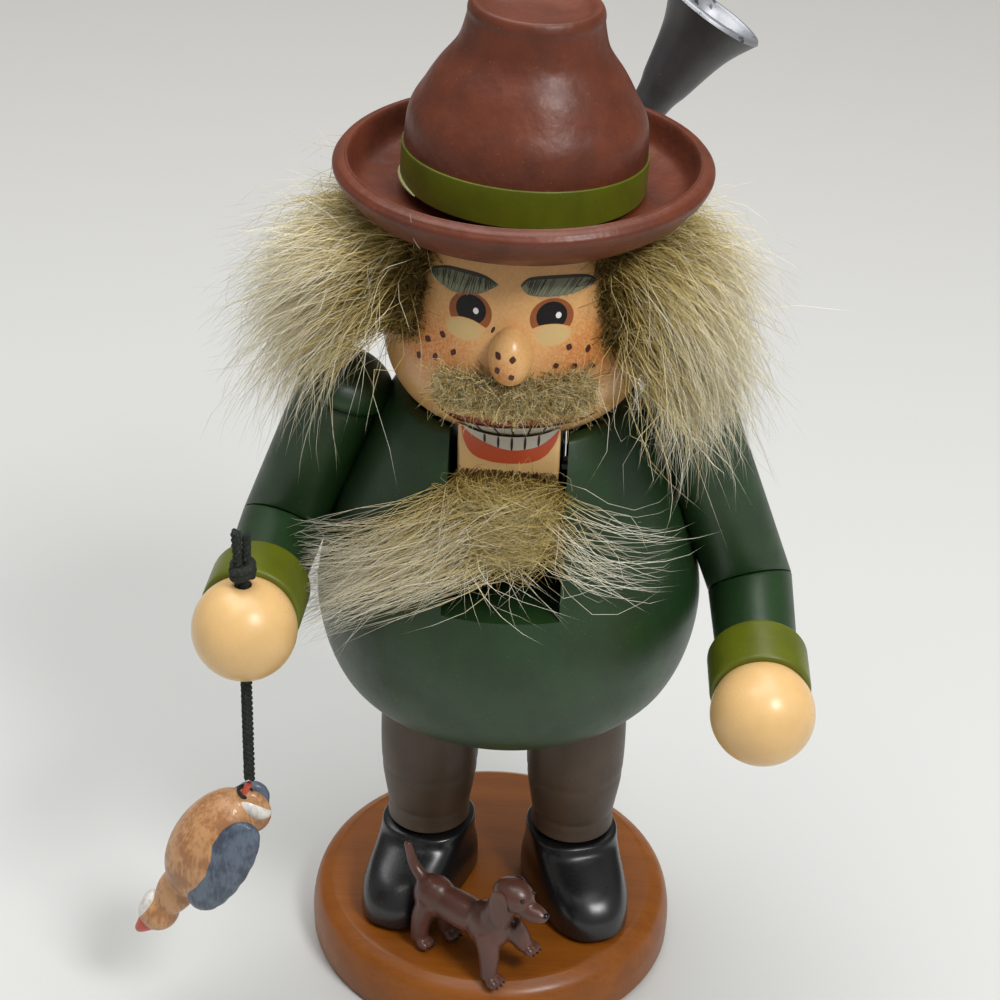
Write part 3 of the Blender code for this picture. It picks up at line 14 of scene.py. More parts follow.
import bmesh
import bpy
import numpy as np
from mathutils import Matrix, Vector


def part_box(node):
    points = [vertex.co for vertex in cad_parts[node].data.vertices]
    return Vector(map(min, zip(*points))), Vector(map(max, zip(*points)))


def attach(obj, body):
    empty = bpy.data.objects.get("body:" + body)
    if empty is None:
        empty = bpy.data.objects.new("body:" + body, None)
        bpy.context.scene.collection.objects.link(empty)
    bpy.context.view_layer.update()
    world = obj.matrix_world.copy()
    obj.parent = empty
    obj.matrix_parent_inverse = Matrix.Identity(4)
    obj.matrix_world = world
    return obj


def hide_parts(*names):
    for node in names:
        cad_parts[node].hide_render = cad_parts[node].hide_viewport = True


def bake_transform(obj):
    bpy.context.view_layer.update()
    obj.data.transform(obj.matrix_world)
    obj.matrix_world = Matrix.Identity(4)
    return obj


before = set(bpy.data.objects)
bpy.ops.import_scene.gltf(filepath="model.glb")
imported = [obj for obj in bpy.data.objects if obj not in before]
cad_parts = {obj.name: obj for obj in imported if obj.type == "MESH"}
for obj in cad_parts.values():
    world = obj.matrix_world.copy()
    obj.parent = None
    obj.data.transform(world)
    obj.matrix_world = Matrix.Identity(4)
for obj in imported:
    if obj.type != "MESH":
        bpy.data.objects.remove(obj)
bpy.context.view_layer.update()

log = logging.getLogger("nutcracker")

MM = 0.001
SHARP_DEG = 38.0
NOISE_ROUGHNESS = 0.55
UP = np.array([0.0, 0.0, 1.0])
Colour = tuple[float, float, float]


def shade(red: float, green: float, blue: float) -> Colour:
    """A colour in linear light, from its three values on a screen, 0 to 255.

    Args:
        red, green, blue: The screen values.

    Returns:
        The three linear values.
    """
    parts = (np.array([red, green, blue]) / 255.0).clip(0.0, 1.0)
    linear = np.where(parts <= 0.04045, parts / 12.92, ((parts + 0.055) / 1.055) ** 2.4)
    return tuple(float(part) for part in linear)


class Side(enum.Enum):
    """The figure's own two sides: its left is at +X."""

    RIGHT = -1
    LEFT = 1

    @property
    def word(self) -> str:
        """The side's name as the nodes end in it."""
        return self.name.lower()


class Body(str, enum.Enum):
    """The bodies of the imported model."""

    FIGURE = "figure"
    JAW = "jaw"
    CORD = "cord"
    BIRD = "bird"


# Shader maths


class Value:
    """A socket that can be reckoned with: each operator on it adds one Math node."""

    def __init__(self, recipe: "Recipe", socket: bpy.types.NodeSocket) -> None:
        """Wrap a socket of a recipe."""
        self.recipe = recipe
        self.socket = socket

    def _math(self, operation: str, *terms: "Value | float") -> "Value":
        """A Math node of that operation on the terms, in order."""
        return self.recipe.node("ShaderNodeMath", {"operation": operation}, dict(enumerate(terms)))

    def __add__(self, other: "Value | float") -> "Value":
        """This and another."""
        return self._math("ADD", self, other)

    def __radd__(self, other: float) -> "Value":
        """A number and this."""
        return self._math("ADD", other, self)

    def __sub__(self, other: "Value | float") -> "Value":
        """This less another."""
        return self._math("SUBTRACT", self, other)

    def __rsub__(self, other: float) -> "Value":
        """A number less this."""
        return self._math("SUBTRACT", other, self)

    def __mul__(self, other: "Value | float") -> "Value":
        """This times another."""
        return self._math("MULTIPLY", self, other)

    def __rmul__(self, other: float) -> "Value":
        """A number times this."""
        return self._math("MULTIPLY", other, self)

    def __truediv__(self, other: "Value | float") -> "Value":
        """This over another."""
        return self._math("DIVIDE", self, other)

    def __pow__(self, other: float) -> "Value":
        """This to a power."""
        return self._math("POWER", self, other)

    def most(self, other: "Value | float") -> "Value":
        """The larger of the two."""
        return self._math("MAXIMUM", self, other)

    def step(self, low: float, high: float) -> "Value":
        """A soft step: 0 up to low, 1 from high on, smooth between. High may be the lower one."""
        inputs = {"Value": self, "From Min": low, "From Max": high}
        return self.recipe.node("ShaderNodeMapRange", {"interpolation_type": "SMOOTHSTEP"}, inputs)


class Recipe:
    """One material in the making. Its nodes all come from the node method."""

    def __init__(self, name: str) -> None:
        """Start a material with a principled shader."""
        self.material = bpy.data.materials.new(name)
        self.material.use_nodes = True
        self.tree = self.material.node_tree
        self.shader = self.tree.nodes["Principled BSDF"]
        self.place = self.node("ShaderNodeTexCoord", out="Object")

    def node(
        self,
        kind: str,
        settings: dict[str, object] | None = None,
        inputs: "dict[str | int, Value | float | tuple] | None" = None,
        out: str | int = 0,
    ) -> Value:
        """Add a node: its settings first, then what its sockets hold or are linked to.

        Args:
            kind: The node's type.
            settings: The node's own properties. A ramp's stops are given as "stops".
            inputs: What each input socket takes, by name or number.
            out: The output that is wanted.

        Returns:
            That output.
        """
        made = self.tree.nodes.new(kind)
        for name, value in (settings or {}).items():
            if name == "stops":
                self._set_stops(made.color_ramp, value)
            else:
                setattr(made, name, value)
        for key, value in (inputs or {}).items():
            self.feed(made.inputs[key], value)
        return Value(self, made.outputs[out])

    @staticmethod
    def _set_stops(ramp: bpy.types.ColorRamp, stops: Sequence[tuple[float, Colour]]) -> None:
        """Put a ramp's stops in."""
        while len(ramp.elements) < len(stops):
            ramp.elements.new(1.0)
        for element, (position, colour) in zip(ramp.elements, stops):
            element.position = position
            element.color = (*colour, 1.0)

    def feed(self, socket: bpy.types.NodeSocket, value: "Value | float | tuple") -> None:
        """Link a value to a socket, or set the socket to a number or colour."""
        if isinstance(value, Value):
            self.tree.links.new(value.socket, socket)
        elif isinstance(value, tuple) and socket.type == "RGBA":
            socket.default_value = (*value, 1.0)
        else:
            socket.default_value = value

    def noise(self, scale: float, detail: float = 3.0, at: Value | None = None) -> Value:
        """Cloudy noise from 0 to 1, with that many waves to the metre."""
        where = self.place if at is None else at
        inputs = {"Vector": where, "Scale": scale, "Detail": detail, "Roughness": NOISE_ROUGHNESS}
        return self.node("ShaderNodeTexNoise", inputs=inputs)

    def stretched(self, factors: tuple[float, float, float], turn: tuple = (0.0, 0.0, 0.0)) -> Value:
        """The place on the piece, stretched by a factor along each axis and turned."""
        inputs = {"Vector": self.place, "Scale": factors, "Rotation": turn}
        return self.node("ShaderNodeMapping", inputs=inputs)

    def axes(self) -> tuple[Value, Value, Value]:
        """The place's three coordinates."""
        made = self.node("ShaderNodeSeparateXYZ", inputs={0: self.place})
        outputs = made.socket.node.outputs
        return tuple(Value(self, outputs[i]) for i in range(3))

    def attribute(self, name: str) -> Value:
        """A number that the mesh carries at each point."""
        return self.node("ShaderNodeAttribute", {"attribute_name": name}, out="Fac")

    def mixed(self, share: "Value | float", first: "Value | Colour", second: "Value | Colour") -> Value:
        """Two colours mixed, with that share of the second."""
        settings = {"data_type": "RGBA", "blend_type": "MIX", "clamp_factor": True}
        return self.node("ShaderNodeMix", settings, {0: share, 6: first, 7: second}, out=2)

    def specks(self, scale: float, radius: float, share: float) -> Value:
        """Small round specks: one cell in so many holds a dot of that radius, in cell widths."""
        inputs = {"Vector": self.place, "Scale": scale}
        cells = self.node("ShaderNodeTexVoronoi", inputs=inputs, out="Distance")
        colour = Value(self, cells.socket.node.outputs["Color"])
        chance = self.node("ShaderNodeSeparateXYZ", inputs={0: colour})
        return cells.step(radius, 0.4 * radius) * chance.step(1.0 - share, 1.02 - share)

    def bump(self, height: Value, depth: float, strength: float = 1.0) -> None:
        """Raise the surface by a height from 0 to 1 times the depth."""
        inputs = {"Height": height, "Distance": depth, "Strength": strength}
        self.set(Normal=self.node("ShaderNodeBump", inputs=inputs))

    def set(self, **values: "Value | float | tuple") -> None:
        """Set or link the shader's own sockets: underscores stand for spaces."""
        for name, value in values.items():
            self.feed(self.shader.inputs[name.replace("_", " ")], value)


# Finishes


def dimmed(colour: Colour, share: float) -> Colour:
    """A colour with that share of its light."""
    return tuple(share * part for part in colour)


@dataclass(frozen=True)
class Finish:
    """How a surface looks. Each kind of finish writes its own recipe, under the finish's name."""

    name: str

    def write(self, recipe: Recipe) -> None:
        """Put the finish's nodes into a recipe."""
        raise NotImplementedError

    def material(self) -> bpy.types.Material:
        """The finish as a material, made once and shared by all the pieces in it."""
        if self.name not in _made:
            recipe = Recipe(self.name)
            self.write(recipe)
            _made[self.name] = recipe.material
        return _made[self.name]


@dataclass(frozen=True)
class Paint(Finish):
    """Satin paint on turned or sawn wood, a little cloudy, with fine dust in it."""

    colour: Colour
    roughness: float = 0.42
    cloud: float = 0.16
    dust: float = 0.18
    grain: float = 0.000022
    coat: float = 0.15
    shine: float = 0.4
    lump: float = 0.0

    def write(self, recipe: Recipe) -> None:
        """The paint over its own colour."""
        self.colour_on(recipe, self.colour)

    def colour_on(self, recipe: Recipe, ground: "Value | Colour") -> None:
        """Dress a recipe in this paint's clouds, dust and grain, over a ground colour."""
        clouds = recipe.noise(210.0, 4.0).step(0.30, 0.72)
        fine = recipe.noise(2600.0, 3.0)
        deep = recipe.mixed(self.cloud * clouds + 0.5 * self.cloud * fine, ground, (0.0, 0.0, 0.0))
        pale = tuple(0.30 + 0.5 * part for part in self.colour)
        specks = recipe.specks(1500.0, 0.16, 0.34) + recipe.specks(3600.0, 0.22, 0.2)
        recipe.set(
            Base_Color=recipe.mixed(self.dust * specks, deep, pale),
            Roughness=self.roughness + 0.16 * (fine - 0.5) + 0.08 * clouds,
            Coat_Weight=self.coat,
            Coat_Roughness=0.3,
            Specular_IOR_Level=self.shine,
        )
        grain = recipe.noise(1.0, 3.0, recipe.stretched((700.0, 700.0, 240.0)))
        lumps = recipe.noise(340.0, 2.0)
        recipe.bump(0.7 * grain + 0.3 * fine + self.lump * lumps, self.grain)


@dataclass(frozen=True)
class Gloss(Finish):
    """A small stroke or drop of glossy brush paint."""

    colour: Colour
    roughness: float = 0.3
    drift: float = 0.2

    def write(self, recipe: Recipe) -> None:
        """The paint with darker streaks."""
        streaks = recipe.noise(3200.0, 2.0)
        recipe.set(
            Base_Color=recipe.mixed(2.0 * self.drift * streaks, self.colour, dimmed(self.colour, 0.55)),
            Roughness=self.roughness + 0.1 * streaks,
        )
        recipe.bump(streaks, 0.000008)


@dataclass(frozen=True)
class StainedWood(Finish):
    """Stained wood under lacquer: long grain along X, darker pores and a few flecks."""

    pale: Colour
    dark: Colour
    roughness: float = 0.36
    coat: float = 0.4
    turn_deg: float = 8.0

    def write(self, recipe: Recipe) -> None:
        """The wood with its grain turned by an angle."""
        turn = (0.0, 0.0, math.radians(self.turn_deg))
        grain = recipe.noise(1.0, 5.0, recipe.stretched((22.0, 420.0, 420.0), turn))
        pores = recipe.noise(1.0, 3.0, recipe.stretched((260.0, 3600.0, 3600.0), turn))
        broad = recipe.noise(70.0, 3.0)
        tone = (0.45 * grain + 0.25 * pores + 0.3 * broad).step(0.34, 0.68)
        recipe.set(
            Base_Color=recipe.mixed(0.6 * tone, self.pale, self.dark),
            Roughness=self.roughness + 0.14 * pores,
            Coat_Weight=self.coat,
            Coat_Roughness=0.22,
            Specular_IOR_Level=0.3,
        )
        recipe.bump(pores, 0.00002, 0.6)


@dataclass(frozen=True)
class FaceSkin(Finish):
    """Skin paint with orange blown on the cheeks in a fine speckle, and bare lids under the eyes."""

    paint: Paint
    blush: Colour
    pale: Colour
    cheeks: tuple[tuple[float, float], ...]
    cheek_radius: float
    lids: tuple[tuple[float, float], ...]
    lid_radius: float

    def write(self, recipe: Recipe) -> None:
        """The painted face."""
        x, y, z = recipe.axes()
        speckle = recipe.noise(3600.0, 2.0).step(0.36, 0.62)
        front = y.step(-0.002, -0.006)
        blown: Value | float = 0.0
        for place in self.cheeks:
            blown = self._near(x, z, place, self.cheek_radius, 1.2, 0.05).most(blown)
        bare: Value | float = 0.0
        for place in self.lids:
            bare = self._near(x, z, place, self.lid_radius, 1.7, 0.6).most(bare)
        amount = (0.40 + 0.56 * blown) * front * (1.0 - 0.9 * bare) * (0.56 + 0.44 * speckle)
        blushed = recipe.mixed(amount, self.paint.colour, self.blush)
        lidded = recipe.mixed(bare * front * 0.8, blushed, self.pale)
        self.paint.colour_on(recipe, lidded)

    @staticmethod
    def _near(x: Value, z: Value, place: Sequence[float], radius: float, wide: float, edge: float) -> Value:
        """1 at a place of the front view and 0 beyond the radius, wider than high by a factor."""
        across = (x - place[0]) / (radius * wide)
        along = (z - place[1]) / radius
        distance = (across * across + along * along) ** 0.5
        return distance.step(1.0, edge)


@dataclass(frozen=True)
class Fur(Finish):
    """Fur whose hairs are dark at the root, wheat along the middle and whitish at the tip. It
    reads how far along its hair a point is, and the hair's own tone."""

    root: Colour
    under: Colour
    middle: Colour
    tip: Colour

    def write(self, recipe: Recipe) -> None:
        """The fur's colours along each hair."""
        along = recipe.attribute("along")
        tone = recipe.attribute("tone")
        stops = [(0.0, self.root), (0.16, self.under), (0.48, self.middle), (0.92, self.tip)]
        hair = recipe.node("ShaderNodeValToRGB", {"stops": stops}, {0: along + 0.34 * (tone - 0.5)})
        dark = recipe.mixed(0.55 * (1.0 - tone) ** 2.0, hair, dimmed(self.under, 0.35))
        recipe.set(Base_Color=dark, Roughness=0.5 + 0.2 * tone, Specular_IOR_Level=0.35)


@dataclass(frozen=True)
class Metal(Finish):
    """Metal or metallic paint with worn, dark chips."""

    colour: Colour
    chip: Colour
    roughness: float
    metallic: float
    chips: float

    def write(self, recipe: Recipe) -> None:
        """The metal with its chips."""
        fine = recipe.noise(2400.0, 3.0)
        worn = recipe.noise(900.0, 4.0).step(0.60, 0.66) * self.chips
        recipe.set(
            Base_Color=recipe.mixed(worn, self.colour, self.chip),
            Roughness=self.roughness + 0.2 * fine,
            Metallic=self.metallic * (1.0 - worn),
        )
        recipe.bump(0.5 * fine - worn, 0.00003)


@dataclass(frozen=True)
class Cloth(Finish):
    """The matte fibre of a cord, in short twisted bars along it."""

    colour: Colour
    lift: Colour

    def write(self, recipe: Recipe) -> None:
        """The fibre with paler bars."""
        fibre = recipe.noise(1.0, 3.0, recipe.stretched((5200.0, 5200.0, 1500.0), (0.6, 0.0, 0.0)))
        lifted = fibre.step(0.55, 0.72)
        recipe.set(Base_Color=recipe.mixed(lifted, self.colour, self.lift), Roughness=0.75 + 0.2 * fibre)
        recipe.bump(fibre, 0.00004)


@dataclass(frozen=True)
class Plumage(Finish):
    """Carved plumage in two painted colours that break into each other, with fine barbs."""

    colour: Colour
    second: Colour
    roughness: float = 0.4

    def write(self, recipe: Recipe) -> None:
        """The plumage in its two colours."""
        broken = recipe.noise(420.0, 3.0)
        barbs = recipe.noise(1.0, 2.0, recipe.stretched((2600.0, 2600.0, 700.0), (0.0, 0.47, 0.0)))
        mottle = (0.6 * broken + 0.4 * barbs).step(0.42, 0.62)
        recipe.set(
            Base_Color=recipe.mixed(mottle, self.colour, self.second),
            Roughness=self.roughness + 0.15 * barbs,
            Coat_Weight=0.2,
        )
        recipe.bump(barbs, 0.00004)


@dataclass(frozen=True)
class Paper(Finish):
    """The pale floor and backdrop, which fades to a duller grey behind the figure: that fade is painted
    shade, for the light falling off far behind.
    """

    colour: Colour
    # far is the painted shade far behind the figure, and fade says where along Y it comes in
    far: Colour
    fade: tuple[float, float]

    def write(self, recipe: Recipe) -> None:
        """The floor, a little cloudy, fading along Y into painted shade."""
        _, y, _ = recipe.axes()
        cloud = 0.05 * recipe.noise(9.0, 2.0)
        painted_shade_behind = recipe.mixed(y.step(*self.fade) + cloud, self.colour, self.far)
        recipe.set(Base_Color=painted_shade_behind, Roughness=0.6)


_made: dict[str, bpy.types.Material] = {}

SKIN = Paint("skin_paint", shade(232, 190, 128), 0.28, 0.1, 0.1, 0.000016, 0.25)
COAT = Paint("coat_green_paint", shade(29, 60, 24), 0.42, 0.3, 0.14, 0.000022, 0.12, 0.5, 1.2)
TRIM = Paint("trim_olive_paint", shade(98, 106, 14), 0.4, 0.22, 0.12, 0.000022, 0.15, 0.35, 1.0)
HAT = Paint("hat_brown_paint", shade(107, 54, 35), 0.38, 0.3, 0.16, 0.00006, 0.08, 0.3, 3.4)
BOOT = Paint("boot_black_paint", shade(24, 24, 26), 0.26, 0.3, 0.1, 0.00001, 0.6)
TROUSERS = Paint("trousers_brown_paint", shade(84, 66, 50), 0.46)
GUN = Paint("gun_grey_paint", shade(70, 69, 70), 0.36, 0.24, 0.14)
STOCK = Paint("stock_brown_paint", shade(98, 62, 40), 0.42)
DOG = Paint("dog_paint", shade(96, 58, 46), 0.32, 0.3, 0.1, 0.00002, 0.4)
HIDE = Paint("hide_brown", shade(56, 40, 26), 0.8, 0.5, 0.2, 0.00008, 0.0)
# the base's honey stain, its colours painted darker than its own to stand for shade over the base
SHADED_HONEY = StainedWood("base_honey_stain", shade(146, 82, 18), shade(104, 52, 8), 0.36, 0.2)
BEECH = StainedWood("bare_beech", shade(214, 178, 130), shade(178, 136, 88), 0.6, 0.0)
STEEL = Metal("pin_steel", shade(190, 190, 192), shade(120, 112, 104), 0.28, 1.0, 0.5)
MUZZLE = Metal("muzzle_silver", shade(150, 152, 156), shade(50, 52, 58), 0.38, 0.7, 1.0)
CORD = Cloth("black_cord", shade(26, 30, 24), shade(70, 76, 62))
WHEAT = Fur(
    "wheat_fur", shade(70, 50, 26), shade(160, 132, 60), shade(219, 197, 124), shade(255, 250, 230)
)
MOUSTACHE_FUR = Fur(
    "moustache_fur", shade(72, 54, 28), shade(146, 114, 52), shade(208, 176, 94), shade(252, 240, 194)
)
BROWN_PLUMES = Plumage("bird_paint", shade(196, 146, 98), shade(160, 108, 66))
SLATE_PLUMES = Plumage("bird_wing_paint", shade(92, 104, 120), shade(60, 70, 86))
WHITE_PLUMES = Plumage("bird_white_paint", shade(228, 224, 216), shade(196, 190, 180))
IRIS = Gloss("iris_amber_paint", shade(158, 86, 38), 0.34, 0.4)
PUPIL = Gloss("pupil_black_paint", shade(14, 8, 8), 0.2, 0.1)
GLINT = Gloss("glint_white_paint", shade(236, 234, 230), 0.3, 0.1)
BROW_GREY = Gloss("brow_grey_paint", shade(112, 114, 90), 0.5, 0.3)
# the brows' dark strokes, and their dark upper edge, which is painted shade from the brim
BROW_STROKES_AND_SHADE = Gloss("brow_strokes_and_shade_paint", shade(54, 50, 40), 0.5, 0.2)
BROW_PALE = Gloss("brow_pale_paint", shade(148, 150, 122), 0.5, 0.2)
FRECKLE = Gloss("freckle_brown_paint", shade(76, 28, 14), 0.4, 0.3)
MOUTH_DARK = Gloss("mouth_line_paint", shade(52, 18, 14), 0.35, 0.2)
UPPER_LIP = Gloss("upper_lip_paint", shade(148, 70, 50), 0.36, 0.25)
LOWER_LIP = Gloss("lower_lip_paint", shade(206, 88, 52), 0.3, 0.2)
TEETH = Gloss("teeth_paint", shade(206, 200, 184), 0.34, 0.15)
TOOTH_LINE = Gloss("tooth_line_paint", shade(40, 20, 18), 0.35, 0.1)
GLUE = Gloss("glue_bead", shade(176, 176, 120), 0.3, 0.2)
CORAL = Gloss("bill_coral_paint", shade(206, 84, 62), 0.3, 0.25)


# Shapes worked out as arrays


@dataclass
class Form:
    """Points with the faces between them. Forms add up to one mesh."""

    points: np.ndarray
    quads: np.ndarray = field(default_factory=lambda: np.zeros((0, 4), int))
    triangles: np.ndarray = field(default_factory=lambda: np.zeros((0, 3), int))

    def __add__(self, other: "Form") -> "Form":
        """Both forms in one."""
        start = len(self.points)
        return Form(
            np.concatenate([self.points, other.points]),
            np.concatenate([self.quads, other.quads + start]),
            np.concatenate([self.triangles, other.triangles + start]),
        )

    def moved(self, place: Matrix) -> "Form":
        """The form in another place."""
        turn = np.array(place.to_3x3())
        shift = np.array(place.translation)
        return Form(self.points @ turn.T + shift, self.quads, self.triangles)


def joined(forms: "Sequence[Form]") -> Form:
    """Several forms in one, in their order."""
    return sum(forms[1:], forms[0])


def ring_angles(steps: int) -> np.ndarray:
    """That many equal angles round a ring, from 0."""
    return np.linspace(0.0, 2 * np.pi, steps, endpoint=False)


def round_axis(radius: np.ndarray, turn: np.ndarray, height: np.ndarray, sign: float = 1.0) -> np.ndarray:
    """Points round the figure's axis, by radius, angle from the front and height. The angle runs
    towards the figure's left, or towards its right with sign -1."""
    return np.stack([sign * radius * np.sin(turn), -radius * np.cos(turn), height], axis=-1)


def grid(points: np.ndarray, around: bool = True) -> Form:
    """A grid of points as quads, row by row, closed across its columns where it goes around.

    Args:
        points: An array of rows, columns and coordinates.
        around: Whether the last column meets the first.

    Returns:
        The form.
    """
    rows, columns = points.shape[:2]
    index = np.arange(rows * columns).reshape(rows, columns)
    right = np.roll(index, -1, axis=1)
    last = columns if around else columns - 1
    corners = (index[:-1, :last], right[:-1, :last], right[1:, :last], index[1:, :last])
    return Form(points.reshape(-1, 3), np.stack(corners, axis=-1).reshape(-1, 4))


def capped(points: np.ndarray) -> np.ndarray:
    """A grid with one more row at each end, drawn in to the middle of that end's row."""
    first = np.broadcast_to(points[:1].mean(axis=1, keepdims=True), points[:1].shape)
    last = np.broadcast_to(points[-1:].mean(axis=1, keepdims=True), points[-1:].shape)
    return np.concatenate([first, points, last])


def through(points: Sequence[Sequence[float]], steps: int = 10) -> np.ndarray:
    """A smooth curve through points: on each span, the cubic whose slopes at its ends are half
    the step from the point before to the point after.

    Args:
        points: The points, two or three coordinates each.
        steps: Steps on each span.

    Returns:
        The curve's points.
    """
    knots = np.asarray(points, float)
    ends = np.concatenate([knots[:1], knots, knots[-1:]])
    t = (np.arange(steps) / steps)[:, None]
    weights = (
        (-t + 2 * t**2 - t**3) / 2,
        (2 - 5 * t**2 + 3 * t**3) / 2,
        (t + 4 * t**2 - 3 * t**3) / 2,
        (t**3 - t**2) / 2,
    )
    spans = [sum(w * ends[i + k] for k, w in enumerate(weights)) for i in range(len(knots) - 1)]
    return np.concatenate([*spans, knots[-1:]])


def eased(
    points: Sequence[Sequence[float]], reach: float, closed: bool = False, steps: int = 5
) -> np.ndarray:
    """A polygon with its corners eased: each corner is replaced by the parabola between the
    points that lie a reach along its two sides, or less where a side is short.

    Args:
        points: The corners.
        reach: How far along each side the easing starts.
        closed: Whether the last corner joins the first.
        steps: Points on each eased corner.

    Returns:
        The eased polygon's points.
    """
    knots = np.asarray(points, float)
    before, after = np.roll(knots, 1, axis=0), np.roll(knots, -1, axis=0)
    t = np.linspace(0.0, 1.0, steps)[None, :, None]

    def towards(other: np.ndarray) -> np.ndarray:
        """The points a reach along each side, from the corners towards the others."""
        gap = other - knots
        length = np.linalg.norm(gap, axis=1, keepdims=True).clip(1e-9)
        return (knots + gap / length * np.minimum(reach, 0.45 * length))[:, None]

    curve = (1 - t) ** 2 * towards(before) + 2 * t * (1 - t) * knots[:, None] + t**2 * towards(after)
    if closed:
        return curve.reshape(-1, 2)
    return np.concatenate([knots[:1], curve[1:-1].reshape(-1, 2), knots[-1:]])


def turned(outline: np.ndarray, steps: int = 96) -> np.ndarray:
    """The grid of an outline turned about Z: (r cos a, r sin a, z) for each angle a."""
    outline = np.asarray(outline, float)
    angle = ring_angles(steps)
    radius, height = outline[:, :1], outline[:, 1:]
    return np.stack([radius * np.cos(angle), radius * np.sin(angle), height + 0 * angle], axis=-1)


def egg(
    centre: Sequence[float], halves: Sequence[float], steps: int = 40, rows: int = 24, blunt: float = 0.0
) -> Form:
    """An egg: an ellipsoid whose rings grow by the blunt share towards its lower end."""
    fall = np.linspace(0.0, np.pi, rows)[:, None]
    angle = ring_angles(steps)[None, :]
    ring = np.sin(fall) * (1.0 - blunt * np.cos(fall))
    unit = np.stack([ring * np.cos(angle), ring * np.sin(angle), np.cos(fall) + 0 * angle], axis=-1)
    return grid(unit * np.asarray(halves) + np.asarray(centre))


def tube(path: np.ndarray, radii: np.ndarray | float, steps: int = 14) -> Form:
    """A tube along a path, closed at both ends: at each point a ring square to the path, each
    ring turned as little as can be from the one before.

    Args:
        path: The points of the centre line.
        radii: One radius, or one for each point.
        steps: Points on each ring.

    Returns:
        The form.
    """
    path = np.asarray(path, float)
    along = np.gradient(path, axis=0)
    along /= np.linalg.norm(along, axis=1, keepdims=True)
    first = np.cross(along[0], (0.0, 1.0, 0.2))
    sides = [first / np.linalg.norm(first)]
    for tangent in along[1:]:
        side = sides[-1] - tangent * (sides[-1] @ tangent)
        sides.append(side / np.linalg.norm(side))
    side = np.array(sides)[:, None]
    other = np.cross(along, side[:, 0])[:, None]
    angle = ring_angles(steps)[None, :, None]
    radius = np.broadcast_to(np.asarray(radii, float), (len(path),))[:, None, None]
    rings = path[:, None] + radius * (np.cos(angle) * side + np.sin(angle) * other)
    return grid(capped(rings))


def box(low: Sequence[float], high: Sequence[float]) -> Form:
    """A box between two corners, used only to cut with."""
    low, high = np.asarray(low), np.asarray(high)
    ring = np.array([[0, 0], [1, 0], [1, 1], [0, 1]])
    share = np.concatenate([np.insert(ring, 2, level, axis=1) for level in (0, 1)])
    faces = [[0, 3, 2, 1], [4, 5, 6, 7], [0, 1, 5, 4], [1, 2, 6, 5], [2, 3, 7, 6], [3, 0, 4, 7]]
    return Form(low + share * (high - low), np.array(faces))


def slab(outline: np.ndarray, half: float, edge: float, across: int = 2) -> np.ndarray:
    """The grid of a flat piece sawn to an outline in (Y, Z) and as thick as 2 half along X.
    Its rows near both faces are drawn in along a quarter round of the edge's size.

    Args:
        outline: The closed outline, as (y, z) points.
        half: Half of the thickness.
        edge: The size of the rounded edge.
        across: Rows between the two rounded edges.

    Returns:
        The grid, open at its two faces.
    """
    after = np.roll(outline, -1, axis=0)
    step = after - np.roll(outline, 1, axis=0)
    normal = np.stack([step[:, 1], -step[:, 0]], axis=1)
    normal /= np.linalg.norm(normal, axis=1, keepdims=True).clip(1e-9)
    area = np.sum(outline[:, 0] * after[:, 1] - outline[:, 1] * after[:, 0])
    normal *= np.sign(area)
    quarter = np.radians([0.0, 30.0, 60.0, 90.0])
    depth = half - edge + edge * np.sin(quarter)
    inset = edge * (1.0 - np.cos(quarter))
    flat = np.linspace(-(half - edge), half - edge, across + 2)[1:-1]
    depths = np.concatenate([-depth[::-1], flat, depth])
    insets = np.concatenate([inset[::-1], 0 * flat, inset])
    drawn = outline[None] - insets[:, None, None] * normal[None]
    x = np.broadcast_to(depths[:, None, None], (*drawn.shape[:2], 1))
    return np.concatenate([x, drawn], axis=2)


def facing(origin: Sequence[float], direction: Sequence[float]) -> Matrix:
    """A place whose origin is a point and whose Z axis runs along a direction."""
    turn = Vector(direction).to_track_quat("Z", "Y").to_matrix().to_4x4()
    return Matrix.Translation(Vector(origin)) @ turn


# From arrays to pieces


def raw_object(name: str, form: Form) -> bpy.types.Object:
    """An object of a form, linked to the scene, with its faces as they come."""
    mesh = bpy.data.meshes.new(name)
    mesh.vertices.add(len(form.points))
    mesh.vertices.foreach_set("co", form.points.astype(np.float32).ravel())
    loops = np.concatenate([form.quads.ravel(), form.triangles.ravel()]).astype(np.int32)
    fours, threes = len(form.quads), len(form.triangles)
    starts = np.concatenate([np.arange(fours) * 4, fours * 4 + np.arange(threes) * 3]).astype(np.int32)
    mesh.loops.add(len(loops))
    mesh.loops.foreach_set("vertex_index", loops)
    mesh.polygons.add(len(starts))
    mesh.polygons.foreach_set("loop_start", starts)
    mesh.update(calc_edges=True)
    obj = bpy.data.objects.new(name, mesh)
    bpy.context.scene.collection.objects.link(obj)
    return obj


def smooth(obj: bpy.types.Object, sharp_deg: float) -> None:
    """Shade a piece smooth, apart from edges sharper than an angle."""
    obj.data.shade_smooth()
    obj.data.set_sharp_from_angle(angle=math.radians(sharp_deg))


